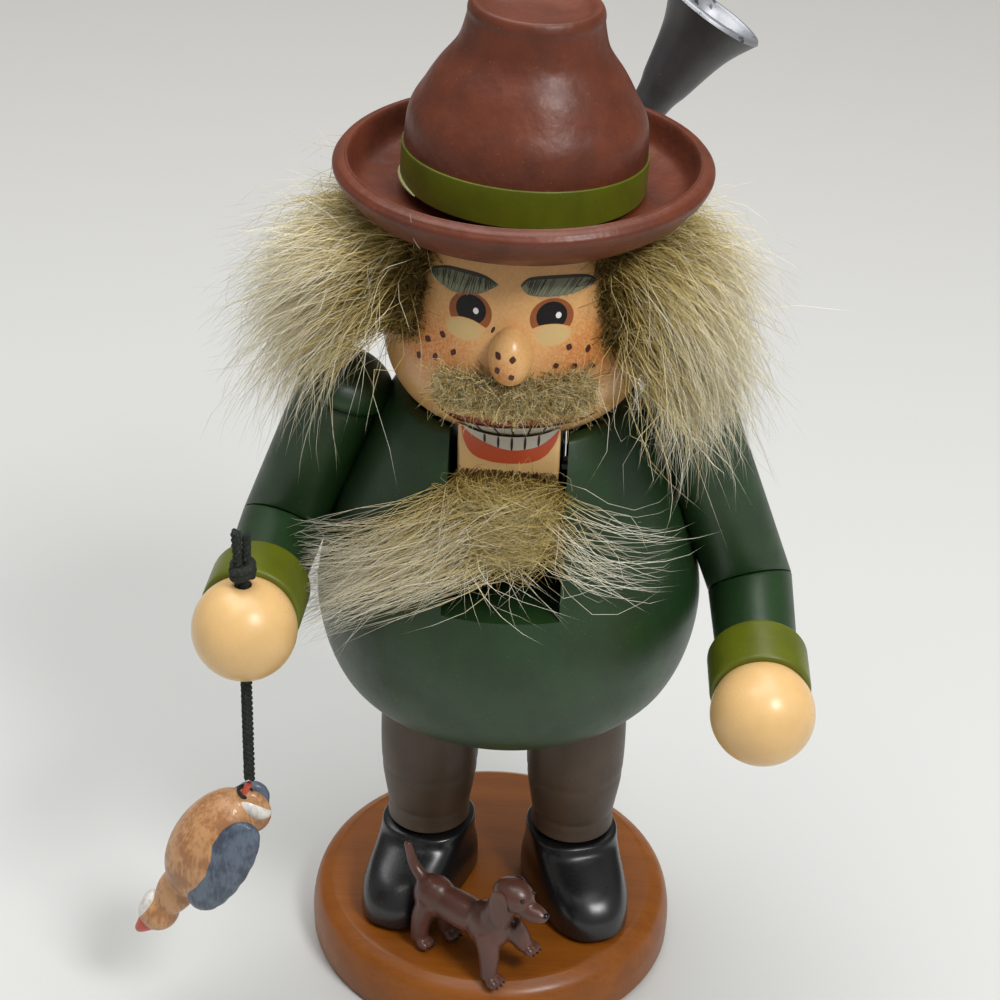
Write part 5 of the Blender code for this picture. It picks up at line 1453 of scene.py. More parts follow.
@dataclass
class Jaw:
    """The jaw and its lever in one sawn piece. Its lip follows the ball of the head."""

    half: float = 0.00545
    reach: float = 0.0122
    front_depth: float = 0.0126
    boss_radius: float = 0.0037
    pivot: tuple[float, float] = (0.0030, 0.0650)
    lip_wall: float = 0.0020
    recess: tuple[float, float] = (0.0082, 0.0072)
    recess_floor: float = 0.0036
    tail_thick: float = 0.0052
    tail_drop: float = 0.0292
    tail_stand_out: float = 0.0006
    seat: float = 0.00045
    edge: float = 0.0004
    tail_gap: float = 0.0009
    lip_line: float = 0.0001
    # the lower lip's outer and inner lines
    lower_lip: tuple = (
        (
            (-5.10, 78.00), (-4.69, 76.07), (-3.70, 74.55), (-1.78, 73.84), (0.31, 73.72),
            (2.40, 74.01), (3.88, 74.88), (4.90, 76.50), (5.30, 78.05),
        ),
        (
            (-4.85, 77.95), (-4.05, 77.10), (-2.60, 76.20), (-1.07, 75.58), (0.35, 75.35),
            (1.96, 75.58), (3.27, 76.10), (4.40, 77.10), (5.10, 78.00),
        ),
    )
    tooth_lines: tuple = (-2.61, -1.14, 0.32, 1.73, 3.19)

    def under(self, radius: np.ndarray | float) -> np.ndarray:
        """The height of the jaw's lip at a radius: one gap under the ball of the head."""
        return HEAD.underside_at(radius) - self.seat

    def boss(self, *angles_deg: float) -> list[tuple[float, float]]:
        """Points on the boss round the pin, by angle."""
        y, z = self.pivot
        radius = self.boss_radius
        return [(y + radius * math.cos(a), z + radius * math.sin(a)) for a in np.radians(angles_deg)]

    def profile(self) -> np.ndarray:
        """The jaw and lever from the side, as a closed (y, z) outline."""
        front, wall = -self.reach, self.lip_wall
        lip = [(-r, float(self.under(r))) for r in (self.reach, self.reach - wall, HEAD.flat_radius)]
        chin = lip[0][1] - self.front_depth
        tail_top = COAT_SHAPE.slot_height + 0.0012
        inner = COAT_SHAPE.groove_at() + self.tail_gap
        foot = self.pivot[1] - self.tail_drop
        heights = np.linspace(tail_top, foot + 0.0042, 9)
        back = [(float(COAT_SHAPE.radius_at(h)) + self.tail_stand_out, float(h)) for h in heights]
        neck = front + 1.8 * wall + self.recess[1]
        return np.array(
            [
                *lip[::-1],
                (front, chin),
                (front + 0.5 * wall, chin - self.edge),
                *self.boss(246, 258, 270, 282, 294),
                (inner, tail_top - self.edge),
                (inner, foot),
                (inner + self.tail_thick, foot),
                *back[::-1],
                (back[0][0] - 0.0016, tail_top + 0.0008),
                *self.boss(66, 78, 90, 104),
                (neck, HEAD.floor - 0.0016),
                (neck - 1.1 * wall, HEAD.floor - 0.0012),
            ]
        )

    def lever(self) -> None:
        """The sawn piece: the profile across its thickness, with the lip raised towards its
        corners so that it stays one gap under the ball. It is green behind the chin."""
        outline = eased(self.profile(), self.edge, closed=True, steps=4)
        points = slab(outline, self.half, self.edge, 17)
        x, y, z = points[..., 0], points[..., 1], points[..., 2]
        lip = (y < -0.0076) & (z > HEAD.floor - 0.0008)
        raised = z + self.under(np.hypot(x, y)) - self.under(np.abs(y))
        points[..., 2] = np.where(lip, raised, z)
        jaw = build("jaw_and_lever", grid(points))
        back_edge = -self.reach + self.lip_wall
        low = (-self.recess[0] / 2, back_edge, self.pivot[1] + self.recess_floor)
        high = (self.recess[0] / 2, back_edge + self.recess[1], HEAD.top)
        cut(jaw, box(low, high))
        settle(jaw, SKIN, COAT, node="jaw_lever", body=Body.JAW)
        centres = np.empty(len(jaw.data.polygons) * 3, np.float32)
        jaw.data.polygons.foreach_get("center", centres)
        centres = centres.reshape(-1, 3)
        green = (centres[:, 1] > -0.0118) & (centres[:, 2] < HEAD.floor - 0.003)
        jaw.data.polygons.foreach_set("material_index", green.astype(np.int32))

    def mouth(self) -> None:
        """The lower lip and the lower teeth, painted on the jaw's front."""
        ground = Ground("flat", (0.0, -self.reach, 0.0))
        outer, inner = (through(line, 8) * MM for line in self.lower_lip)
        x = inner[:, 0]
        rising = self.under(np.hypot(x, self.reach)) - self.lip_line
        outer[:, 1] = np.minimum(outer[:, 1], self.under(np.hypot(outer[:, 0], self.reach)) - self.lip_line)
        foot = np.stack([x, np.minimum(inner[:, 1], rising)], axis=1)
        lip = band(ground, outer, foot, 2.0, 6)
        top = np.stack([x, np.maximum(rising, foot[:, 1] + 0.00001)], axis=1)
        teeth = band(ground, foot, top, 1.0, 6)
        lines = []
        for at in self.tooth_lines:
            high = float(self.under(math.hypot(at * MM, self.reach))) - 0.00012
            low = float(np.interp(at * MM, x, inner[:, 1]))
            line = np.linspace((at * MM, high), (at * MM * 0.98, low), 7)
            lines.append(stroke(ground, line, 0.00014, 2.2))
        patches = (("lower_lip", [lip], LOWER_LIP), ("lower_teeth", [teeth], TEETH))
        for name, forms, finish in (*patches, ("lower_tooth_lines", lines, TOOTH_LINE)):
            add(name, joined(forms), finish, slot="skin_paint", body=Body.JAW)

    def make(self) -> None:
        """Make the jaw."""
        self.lever()
        self.mouth()


# Hat


@dataclass
class Hat:
    """The dished brim, the bell of the crown with its band, and the bead of glue under it."""

    brim_radius: float = 0.01993
    brim_height: float = 0.00524
    brim_web: float = 0.0016
    brim_foot: float = 0.0163
    brim_lip: float = 0.0012
    crown_radius: float = 0.01275
    crown_height: float = 0.0195
    crown_top: float = 0.0069
    crown_waist: float = 0.0079
    crown_lean_deg: float = 2.4
    band_height: float = 0.0038
    band_proud: float = 0.0002
    band_lift: float = 0.0006
    band_sink: float = 0.0008
    foot_gap: float = 0.0002
    web_gap: float = 0.0003
    glue_deg: tuple[float, float] = (178.0, 214.0)

    def crown_place(self) -> Matrix:
        """The crown stands on the brim's web, leaning a little to its left."""
        lean = math.radians(self.crown_lean_deg)
        foot = floor_of("hat_brim") + self.brim_web + self.web_gap + self.crown_radius * math.sin(lean)
        return Matrix.Translation((0.0, 0.0, foot)) @ Matrix.Rotation(lean, 4, "Y")

    def brim(self) -> None:
        """The brim: a dish inside, a rounded lip and a bowl below."""
        low, wide, lip, foot = floor_of("hat_brim"), self.brim_radius, self.brim_lip, self.brim_foot
        top, web = low + self.brim_height, low + self.brim_web
        dish = through(
            [
                (self.crown_radius + lip, web),
                ((self.crown_radius + wide) / 2 + 0.67 * lip, web + 0.5 * lip),
                (wide - 1.35 * lip, top - 0.12 * lip),
                (wide - lip, top),
            ]
        )
        under = through(
            [
                (wide - 0.62 * lip, top - 0.02 * lip),
                (wide - 0.25 * lip, top - 0.26 * lip),
                (wide, top - lip),
                (0.4 * foot + 0.6 * wide, low + 0.36 * self.brim_height),
                (foot, low + 0.25 * lip),
                (foot - 0.67 * lip, low),
            ]
        )
        outline = np.concatenate([[(0.0, web), (0.5 * self.crown_radius, web)], dish, under, [(0.0, low)]])
        add("hat_brim_wood", grid(turned(outline, 160)), HAT, "hat_brim")

    def crown(self) -> None:
        """The crown: a bell with a waist under a flared, dished top, and its painted band. The
        band stands a little higher in front than at its sides."""
        high, top, waist, wide = self.crown_height, self.crown_top, self.crown_waist, self.crown_radius
        bell = through(
            [
                (0.0, 0.935 * high),
                (0.40 * top, 0.94 * high),
                (0.72 * top, 0.962 * high),
                (0.90 * top, 0.997 * high),
                (0.975 * top, 0.992 * high),
                (1.02 * top, 0.955 * high),
                (1.03 * top, 0.90 * high),
                (waist, 0.76 * high),
                (0.60 * waist + 0.40 * wide, 0.62 * high),
                (0.34 * waist + 0.66 * wide, 0.51 * high),
                (0.07 * waist + 0.93 * wide, 0.38 * high),
                (wide, self.band_height + 0.5 * self.band_proud),
                (wide, 0.0006),
            ]
        )
        outline = np.concatenate([bell, [(wide - 0.0005, 0.0), (0.0, 0.0)]])
        place = self.crown_place()
        add("hat_crown_wood", grid(turned(outline, 160)).moved(place), HAT, "hat_crown", sharp_deg=60.0)
        inner, outer, foot = wide - self.band_sink, wide + self.band_proud, self.foot_gap
        corners = [(inner, self.band_height), (outer, self.band_height), (outer, foot), (inner, foot)]
        ring = eased(corners, 0.00012, closed=True)
        rows = turned(np.concatenate([ring, ring[:1]]), 160)
        rows[..., 2] -= self.band_lift * rows[..., 1] / wide * rows[..., 2] / self.band_height
        add("hat_band", grid(rows).moved(place), TRIM, sharp_deg=60.0)

    def glue(self) -> None:
        """A thin bead of glue that has squeezed out at the band's foot, on its right side."""
        angle = np.radians(np.linspace(*self.glue_deg, 40))
        swell = np.sin(np.linspace(0.0, np.pi, 40)) ** 0.6
        radius = self.crown_radius + self.band_proud + 0.00004 * swell
        height = self.foot_gap + 0.00012 * swell
        path = np.stack([radius * np.cos(angle), radius * np.sin(angle), height], axis=1)
        bead = tube(path, 0.00005 + 0.00017 * swell, 12).moved(self.crown_place())
        add("hat_glue_bead", bead, GLUE, slot="trim_olive_paint")

    def make(self) -> None:
        """Make the hat."""
        self.brim()
        self.crown()
        self.glue()


# Arms


@dataclass
class Arm:
    """One arm: upper arm and sleeve sawn to a mitre, turned cuff, ball hand and shoulder cap."""

    side: Side
    elbow_drop: float
    rise_deg: float
    cap_outline: tuple[tuple[float, float], ...] = (
        (0.0, 1.0), (0.45, 0.94), (0.78, 0.76), (0.96, 0.48), (1.0, 0.22), (0.97, 0.06), (0.92, 0.0),
    )
    dish: float = 0.0006
    radius: float = 0.00485
    lean_deg: float = 20.6
    top_drop: float = 0.0018
    seat_flat: float = 0.0004
    sleeve_end: float = 0.0045
    sleeve_length: float = 0.0120
    cuff_radius: float = 0.00555
    cuff_length: float = 0.0062
    cuff_rounding: float = 0.0006
    hand_radius: float = 0.0057
    hand_sink: float = 0.0030
    cap_radius: float = 0.0056
    cap_thick: float = 0.0040
    spread_deg: float = 3.0
    gap: float = 0.0003
    cord_bore: float = 0.00095

    def __post_init__(self) -> None:
        """Work out the arm's places: top, elbow and the directions of its two halves."""
        lean = math.radians(self.lean_deg)
        sign = self.side.value
        shape = COAT_SHAPE
        self.down = np.array([sign * math.sin(lean), 0.0, -math.cos(lean)])
        height = shape.top - self.top_drop
        touch = shape.floor + shape.chest_height + 0.5 * (shape.top - shape.floor - shape.chest_height)
        stand_off = (self.radius - self.seat_flat) / math.cos(lean)
        reach = float(shape.radius_at(touch)) + stand_off - (height - touch) * math.tan(lean)
        self.length = self.elbow_drop / math.cos(lean)
        self.top = np.array([sign * reach, 0.0, height])
        self.elbow = self.top + self.down * self.length
        spread, rise = math.radians(self.spread_deg), math.radians(self.rise_deg)
        level = np.array([sign * math.sin(spread), -math.cos(spread), 0.0])
        self.forward = level * math.cos(rise) + UP * math.sin(rise)
        beyond = self.sleeve_length + 2 * self.gap + self.cuff_length + self.hand_radius - self.hand_sink
        self.hand_at = self.elbow + self.forward * beyond

    def mitred(self, start: np.ndarray, axis: np.ndarray, radii: Sequence[float], length: float) -> Form:
        """A rod from its square end to the mitre. Each line of the rod runs along the axis up to
        the plane through the elbow that halves the bend, and the cone narrows evenly. The sawn
        face stands off that plane by a fifth of the gap.

        Args:
            start: The middle of the square end.
            axis: The direction from there to the elbow.
            radii: The radius at the square end and at the elbow.
            length: The distance from the square end to the elbow.

        Returns:
            The form.
        """
        normal = (self.down + self.forward) / np.linalg.norm(self.down + self.forward)
        normal = normal if normal @ axis > 0 else -normal
        side = np.cross(axis, (0.0, 0.3, 1.0) if abs(axis[2]) < 0.5 else (0.0, 1.0, 0.0))
        side /= np.linalg.norm(side)
        other = np.cross(axis, side)
        angle = ring_angles(72)[:, None]
        spoke = np.cos(angle) * side + np.sin(angle) * other
        share = np.linspace(0.0, 1.0, 15)[:, None, None]
        far = (length * (axis @ normal) - self.gap / 5 - radii[1] * (spoke @ normal)) / (axis @ normal)
        radius = radii[0] + (radii[1] - radii[0]) * share
        rows = start + radius * spoke[None] + (share * far[None, :, None]) * axis
        ends = np.array([(0.90, 0.0), (0.965, 0.00008), (1.0, 0.0004)])[..., None, None]
        first = rows[:1] + (ends[:, 0] - 1.0) * radius[:1] * spoke[None] + ends[:, 1] * axis
        middle = rows[-1:].mean(axis=1, keepdims=True)
        shrink, pull = np.array([(1.0, 0.996, 0.982), (0.00014, 0.00004, 0.0)])[..., None, None]
        last = middle + (rows[-1:] - middle) * shrink - pull * axis
        return grid(capped(np.concatenate([first, rows[1:-1], last])))

    def make_sleeves(self) -> None:
        """The upper arm and the sleeve on either side of the mitre."""
        end = self.elbow + self.forward * self.sleeve_length
        upper = self.mitred(self.top, self.down, (self.radius, self.radius), self.length)
        sleeve = self.mitred(end, -self.forward, (self.sleeve_end, self.radius), self.sleeve_length)
        for kind, form in (("upper_arm", upper), ("forearm", sleeve)):
            node = f"{kind}_{self.side.word}"
            add(f"{node}_wood", form, COAT, node)

    def make_cuff(self) -> None:
        """The turned cuff, with rounded edges and a shallow dish round the hand."""
        wide, long = self.cuff_radius, self.cuff_length
        floor = long - self.dish
        foot = [(0.0, 0.0), (0.5 * wide, 0.0), (wide, 0.0)]
        corners = [*foot, (wide, long), (0.80 * wide, long), (0.70 * wide, floor), (0.0, floor)]
        outline = eased(corners, self.cuff_rounding, steps=6)
        place = facing(self.elbow + self.forward * (self.sleeve_length + self.gap), self.forward)
        node = f"cuff_{self.side.word}"
        add(f"{node}_wood", grid(turned(outline, 80)).moved(place), TRIM, node)

    def make_hand(self) -> None:
        """The ball of the hand, turned with a short neck that stands in the cuff. The right one
        is bored for the cord."""
        radius = self.hand_radius
        angle = np.radians(np.linspace(0.0, 145.0, 44))
        ball = np.stack([radius * np.sin(angle), radius * np.cos(angle)], axis=1)
        neck = [(0.55 * radius, -0.90 * radius), (0.5 * radius, -1.05 * radius), (0.0, -1.05 * radius)]
        outline = np.concatenate([ball, neck])
        node = f"hand_{self.side.word}"
        hand = build(f"{node}_ball", grid(turned(outline, 72)).moved(facing(self.hand_at, self.forward)))
        if self.side is Side.RIGHT:
            beyond = np.array([0.0, 0.0, 1.5 * radius])
            bore = np.linspace(self.hand_at - beyond, self.hand_at + beyond, 4)
            cut(hand, tube(bore, self.cord_bore, 24))
        settle(hand, SKIN, node=node)

    def make_cap(self) -> None:
        """The domed cap on the shoulder, with a rounded rim that overhangs the arm."""
        dome = through(np.array(self.cap_outline) * (self.cap_radius, self.cap_thick))
        place = facing(self.top - self.down * self.gap, -self.down)
        node = f"shoulder_cap_{self.side.word}"
        form = grid(turned(np.concatenate([dome, [(0.0, 0.0)]]), 72)).moved(place)
        add(f"{node}_wood", form, COAT, node)

    def make(self) -> None:
        """Make the arm."""
        self.make_sleeves()
        self.make_cuff()
        self.make_hand()
        self.make_cap()


# Fur


@dataclass
class Hairs:
    """Many hairs at once. Each is a bent line from root to tip, with a small curl, and a
    three-sided skin that tapers to a point."""

    roots: np.ndarray
    middles: np.ndarray
    tips: np.ndarray
    radius: float = 0.00006
    curl: float = 0.00025
    waves: float = 1.2
    rows: int = 6
    reach: float = 1.0

    def lines(self, rng: np.random.Generator) -> np.ndarray:
        """The hairs' centre lines: the parabola (1-t)^2 root + 2t(1-t) middle + t^2 tip, plus
        two sine waves across it that grow from nothing at the root."""
        each = (len(self.roots), 1, 1)
        t = np.linspace(0.0, 1.0, self.rows)[None, :, None]
        roots, middles, tips = self.roots[:, None], self.middles[:, None], self.tips[:, None]
        line = (1 - t) ** 2 * roots + 2 * t * (1 - t) * middles + t**2 * tips
        for _ in range(2):
            across = rng.normal(size=(len(self.roots), 1, 3))
            phase = rng.uniform(0.0, 2 * np.pi, each)
            rate = rng.uniform(0.5, 1.5, each) * self.waves
            size = self.curl * rng.uniform(0.3, 1.3, each)
            wave = np.sin(2 * np.pi * rate * t + phase) - np.sin(phase)
            line = line + across * size * np.minimum(2.0 * t, 1.0) * wave
        return line

    def form(self, line: np.ndarray, rng: np.random.Generator) -> tuple[Form, np.ndarray, np.ndarray]:
        """The hairs' skins round their centre lines.

        Args:
            line: The centre lines, as hairs by rows by coordinates.
            rng: Where each hair's tone and turn come from.

        Returns:
            The form, how far along its hair each point is, and each point's tone.
        """
        count, rows = line.shape[:2]
        along = np.gradient(line, axis=1)
        along /= np.linalg.norm(along, axis=2, keepdims=True).clip(1e-12)
        side = np.cross(along, rng.normal(size=(count, 1, 3)))
        side /= np.linalg.norm(side, axis=2, keepdims=True).clip(1e-12)
        other = np.cross(along, side)
        t = np.linspace(0.0, 1.0, rows)
        taper = 1.0 - 0.72 * t[None] ** 1.6
        radius = (self.radius * rng.uniform(0.7, 1.25, (count, 1)) * taper)[:, :-1, None, None]
        angle = (np.arange(3) * 2 * np.pi / 3)[None, None, :, None]
        spokes = np.cos(angle) * side[:, :-1, None] + np.sin(angle) * other[:, :-1, None]
        rings = line[:, :-1, None] + radius * spokes
        each = (rows - 1) * 3 + 1
        points = np.concatenate([rings.reshape(count, -1, 3), line[:, -1:]], axis=1).reshape(-1, 3)
        ring = np.arange((rows - 1) * 3).reshape(rows - 1, 3)
        after = np.roll(ring, -1, axis=1)
        quads = np.stack([ring[:-1], after[:-1], after[1:], ring[1:]], axis=-1).reshape(-1, 4)
        tip = np.stack([ring[-1], after[-1], np.full(3, each - 1)], axis=-1)
        triangles = np.concatenate([tip, [[0, 2, 1]]])
        starts = (np.arange(count) * each)[:, None, None]
        at = np.concatenate([np.repeat(t[:-1], 3), t[-1:]])
        tone = rng.beta(2.2, 2.0, count)
        form = Form(points, (quads[None] + starts).reshape(-1, 4), (triangles[None] + starts).reshape(-1, 3))
        return form, np.tile(at * self.reach, count), np.repeat(tone, each)

    def piece(self, name: str, line: np.ndarray, rng: np.random.Generator) -> bpy.types.Object:
        """An object of the hairs, with the two numbers that its fur reads."""
        form, along, tone = self.form(line, rng)
        obj = raw_object(name, form)
        for title, values in (("along", along), ("tone", tone)):
            made = obj.data.attributes.new(title, "FLOAT", "POINT")
            made.data.foreach_set("value", values.astype(np.float32))
        obj.data.shade_smooth()
        return obj


def clear_of_head(points: np.ndarray, gap: float) -> np.ndarray:
    """Points pushed straight out from the axis where they would lie in the head or the coat."""
    flat = np.hypot(points[..., 0], points[..., 1]).clip(1e-6)
    height = points[..., 2]
    head = np.where((height > HEAD.floor) & (height < HEAD.top), HEAD.radius_at(height), 0.0)
    coat = np.where(height < COAT_SHAPE.top, COAT_SHAPE.radius_at(height), 0.0)
    grow = np.maximum(1.0, (np.maximum(head, coat) + gap) / flat)
    return points * np.stack([grow, grow, np.ones_like(grow)], axis=-1)


# the underside of the brim, by radius, and how high it lies there over the brim's foot
BOWL_RADIUS = (0.0, 0.0163, 0.0185, 0.0196, 0.0204)
BOWL_RISE = (0.0, 0.0003, 0.0019, 0.0036)
BRIM_GAP = 0.0003


def under_brim(points: np.ndarray) -> np.ndarray:
    """Points pressed down where they would lie in the hat's brim."""
    flat = np.hypot(points[..., 0], points[..., 1])
    low = floor_of("hat_brim")
    bowl = np.interp(flat, BOWL_RADIUS, [*(low + rise for rise in BOWL_RISE), 1.0])
    height = np.minimum(points[..., 2], bowl - BRIM_GAP)
    return np.concatenate([points[..., :2], height[..., None]], axis=-1)


def nearest_of(spots: np.ndarray, heads: np.ndarray) -> np.ndarray:
    """For each spot, the place in the list of heads of the head that lies nearest to it."""
    return np.argmin(((spots[:, None] - spots[heads][None]) ** 2).sum(axis=2), axis=1)


# values for the lowest and the highest hairs, each for the front, the side and the back
Rows = tuple[tuple[float, ...], tuple[float, ...]]


@dataclass(frozen=True)
class Tuft:
    """A tuft of the wig as a fan of hairs, whose ends are drawn together in clumps. A few hairs
    are strays. The spreads are those of heading and fall in degrees, and of length as a factor."""

    node: str
    side: Side
    root_deg: tuple[float, float]
    root_height: tuple[float, float]
    heading_deg: Rows
    leave_deg: Rows
    fall_deg: Rows
    length: Rows
    count: int
    pieces: int
    seed: int
    clump: float = 0.75
    clumps: int = 170
    strays: float = 0.06
    stray_spread: tuple[float, float, float] = (34.0, 26.0, 0.20)
    spread: tuple[float, float, float] = (11.0, 10.0, 0.22)
    mean_length: float = 0.93

    @staticmethod
    def read(rows: Rows, back: np.ndarray, high: np.ndarray) -> np.ndarray:
        """A value between the rows: back is 0 at the front and 1 at the back, high is 0 to 1."""
        low_row, high_row = (np.interp(back, [0.0, 0.5, 1.0], row) for row in rows)
        return low_row + (high_row - low_row) * high

    def hair(self, back: np.ndarray, high: np.ndarray, jitter: np.ndarray) -> tuple[np.ndarray, ...]:
        """The root, middle and tip of each hair of the fan, shaken by three numbers: its
        heading and fall in degrees and its length as a factor."""
        sign = self.side.value
        turn = np.radians(self.root_deg[0] + (self.root_deg[1] - self.root_deg[0]) * back)
        height = self.root_height[0] + (self.root_height[1] - self.root_height[0]) * high
        roots = round_axis(HEAD.radius_at(height) - 0.0001, turn, height, sign)
        heading = np.radians(self.read(self.heading_deg, back, high) + jitter[..., 0])
        level = round_axis(1.0, heading, 0 * heading, sign)
        leave = np.radians(self.read(self.leave_deg, back, high) + 0.5 * jitter[..., 1])[..., None]
        fall = np.radians(self.read(self.fall_deg, back, high) + jitter[..., 1])[..., None]
        long = (self.read(self.length, back, high) * jitter[..., 2])[..., None]
        middles = roots + (level * np.cos(leave) + UP * np.sin(leave)) * 0.52 * long
        return roots, middles, middles + (level * np.cos(fall) + UP * np.sin(fall)) * 0.56 * long

    def curves(self, rng: np.random.Generator, count: int) -> Hairs:
        """Hairs over the whole fan, their ends drawn together in clumps, and a few strays."""
        back, high = rng.random(count), rng.random(count) ** 0.75
        wild = (rng.random(count) < self.strays)[:, None]
        spread = np.where(wild, self.stray_spread, self.spread)
        jitter = rng.normal(0.0, 1.0, (count, 3)) * spread + np.array([0.0, 0.0, self.mean_length])
        jitter[:, 2] = np.clip(jitter[:, 2], 0.35, 1.3)
        roots, middles, tips = self.hair(back, high, jitter)
        heads = rng.integers(0, count, self.clumps)
        nearest = nearest_of(roots, heads)
        pull = (self.clump * rng.random(count))[:, None] * ~wild
        aim = tips[heads][nearest] - roots[heads][nearest]
        aim *= (np.linalg.norm(tips - roots, axis=1) / np.linalg.norm(aim, axis=1))[:, None]
        tips = tips + (roots[heads][nearest] + aim - tips) * pull
        middles = middles + rng.normal(0.0, 0.0007, (self.clumps, 3))[nearest]
        tips = tips + rng.normal(0.0, 0.0016, (self.clumps, 3))[nearest]
        return Hairs(roots, middles, tips, 0.000043, 0.0008, 1.0, 8)

    def make(self) -> None:
        """Make the tuft's pieces."""
        for number in range(self.pieces):
            rng = np.random.default_rng(self.seed * 100 + number)
            hairs = self.curves(rng, self.count // self.pieces)
            line = clear_of_head(hairs.lines(rng), 0.00015)
            line[:, 0] = hairs.roots
            obj = hairs.piece(f"{self.node}_fur_{number + 1}", under_brim(line), rng)
            settle(obj, WHEAT, node=self.node)


TUFTS = (
    Tuft(
        "hair_right",
        Side.RIGHT,
        (48.0, 122.0),
        (0.0872, 0.0974),
        ((84.0, 94.0, 122.0), (80.0, 92.0, 118.0)),
        ((-2.0, -8.0, -16.0), (8.0, 6.0, -2.0)),
        ((-82.0, -80.0, -76.0), (-26.0, -32.0, -44.0)),
        ((0.0214, 0.0170, 0.0125), (0.0152, 0.0138, 0.0108)),
        count=7000,
        pieces=2,
        seed=5,
    ),
    Tuft(
        "hair_left",
        Side.LEFT,
        (45.0, 122.0),
        (0.0868, 0.0974),
        ((46.0, 80.0, 118.0), (68.0, 86.0, 116.0)),
        ((-20.0, -14.0, -20.0), (0.0, 4.0, -6.0)),
        ((-94.0, -86.0, -78.0), (-72.0, -54.0, -50.0)),
        ((0.0215, 0.0166, 0.0125), (0.0162, 0.0130, 0.0108)),
        count=7000,
        pieces=2,
        seed=6,
    ),
    Tuft(
        "hair_back",
        Side.LEFT,
        (116.0, 244.0),
        (0.0832, 0.0972),
        ((120.0, 180.0, 240.0), (120.0, 180.0, 240.0)),
        ((-30.0, -30.0, -30.0), (-16.0, -16.0, -16.0)),
        ((-80.0, -80.0, -80.0), (-56.0, -60.0, -56.0)),
        ((0.0090, 0.0090, 0.0090), (0.0125, 0.0115, 0.0125)),
        count=4400,
        pieces=1,
        seed=7,
    ),
)


@dataclass
class Wig:
    """The fur wig: two tufts, the strip behind the head and the dark hide that they grow from."""

    hairline_deg: tuple[float, float] = (46.0, 44.0)
    hide_low: float = 0.0872
    hide_high: float = 0.0978
    hide_thick: float = 0.00025
    sunk: float = 0.0001
    curls: int = 3600

    def hide(self) -> None:
        """The strip of hide: a film round the back of the head from one hairline to the other."""
        turn = np.radians(np.linspace(self.hairline_deg[1], 360.0 - self.hairline_deg[0], 120))[:, None]
        height = np.linspace(self.hide_low, self.hide_high, 12)[None, :]
        head, level = HEAD.radius_at(height), height + 0 * turn
        rough = 0.00006 * np.sin(40 * turn) * np.sin(9000 * height)
        outer = round_axis(head + self.hide_thick + rough, turn, level)
        inner = round_axis(head - self.sunk, turn, level)
        form = grid(capped(np.concatenate([outer, inner[:, ::-1]], axis=1)))
        add("wig_hide", form, HIDE, slot="wheat_fur")

    def fuzz(self) -> None:
        """Short dark curls along the two front edges of the hide."""
        rng = np.random.default_rng(77)
        count = self.curls
        left = rng.random(count) < 0.5
        edge = np.where(left, self.hairline_deg[1], self.hairline_deg[0])
        turn = np.radians(edge + rng.exponential(5.0, count) - 1.0)
        sign = np.where(left, 1.0, -1.0)
        height = rng.uniform(self.hide_low + 0.0008, self.hide_high, count)
        out = round_axis(1.0, turn, 0 * turn, sign)
        roots = out * (HEAD.radius_at(height) + self.sunk)[:, None] + UP * height[:, None]
        fall = np.stack([sign * 0.5, 0 * sign, 0 * sign - 0.25], axis=1)
        lean = out + rng.normal(0.0, 0.75, (count, 3)) + fall
        lean /= np.linalg.norm(lean, axis=1, keepdims=True)
        long = rng.uniform(0.0012, 0.0030, count)[:, None]
        hairs = Hairs(roots, roots + out * long * 0.5, roots + lean * long, 0.00005, 0.0005, 1.6, 6, 0.12)
        line = under_brim(clear_of_head(hairs.lines(rng), self.sunk))
        settle(hairs.piece("wig_root_curls", line, rng), WHEAT)

    def make(self) -> None:
        """Make the wig."""
        self.hide()
        self.fuzz()
        for tuft in TUFTS:
            tuft.make()


@dataclass
class Moustache:
    """The moustache: short curly fur on the head, under the nose."""

    top: tuple = ((-6.7, 84.8), (-3.0, 85.1), (0.0, 84.6), (2.5, 84.9), (6.0, 85.3), (7.6, 84.6))
    foot: tuple = ((-6.7, 82.4), (-4.0, 82.0), (-1.0, 82.0), (2.0, 81.6), (6.0, 81.4), (7.6, 82.4))
    count: int = 5200

    def make(self) -> None:
        """Root the hairs on the head between the nose and the mouth, and comb them outwards."""
        rng = np.random.default_rng(21)
        count = self.count
        place = rng.uniform(self.top[0][0], self.top[-1][0], count)
        top, foot = (np.interp(place, *zip(*line)) for line in (self.top, self.foot))
        flat = np.stack([place, foot + rng.random(count) * (top - foot)], axis=1) * MM
        roots, normal = FACE_GROUND.at(flat)
        x = place / 8.0
        comb = np.stack([0.7 * x + rng.normal(0.0, 0.6, count), 0 * x, rng.normal(-0.1, 0.5, count)], axis=1)
        lean = normal * rng.uniform(0.2, 0.9, count)[:, None] + comb
        lean /= np.linalg.norm(lean, axis=1, keepdims=True)
        long = rng.uniform(0.0010, 0.0023, count)[:, None]
        middles = roots + (0.9 * normal + 0.4 * lean) * long * 0.5
        hairs = Hairs(roots - normal * 0.0001, middles, roots + lean * long, 0.00004, 0.0005, 1.3, 7)
        line = clear_of_head(hairs.lines(rng), 0.00005)
        settle(hairs.piece("moustache_fur", line, rng), MOUSTACHE_FUR, node="moustache", slot="wheat_fur")


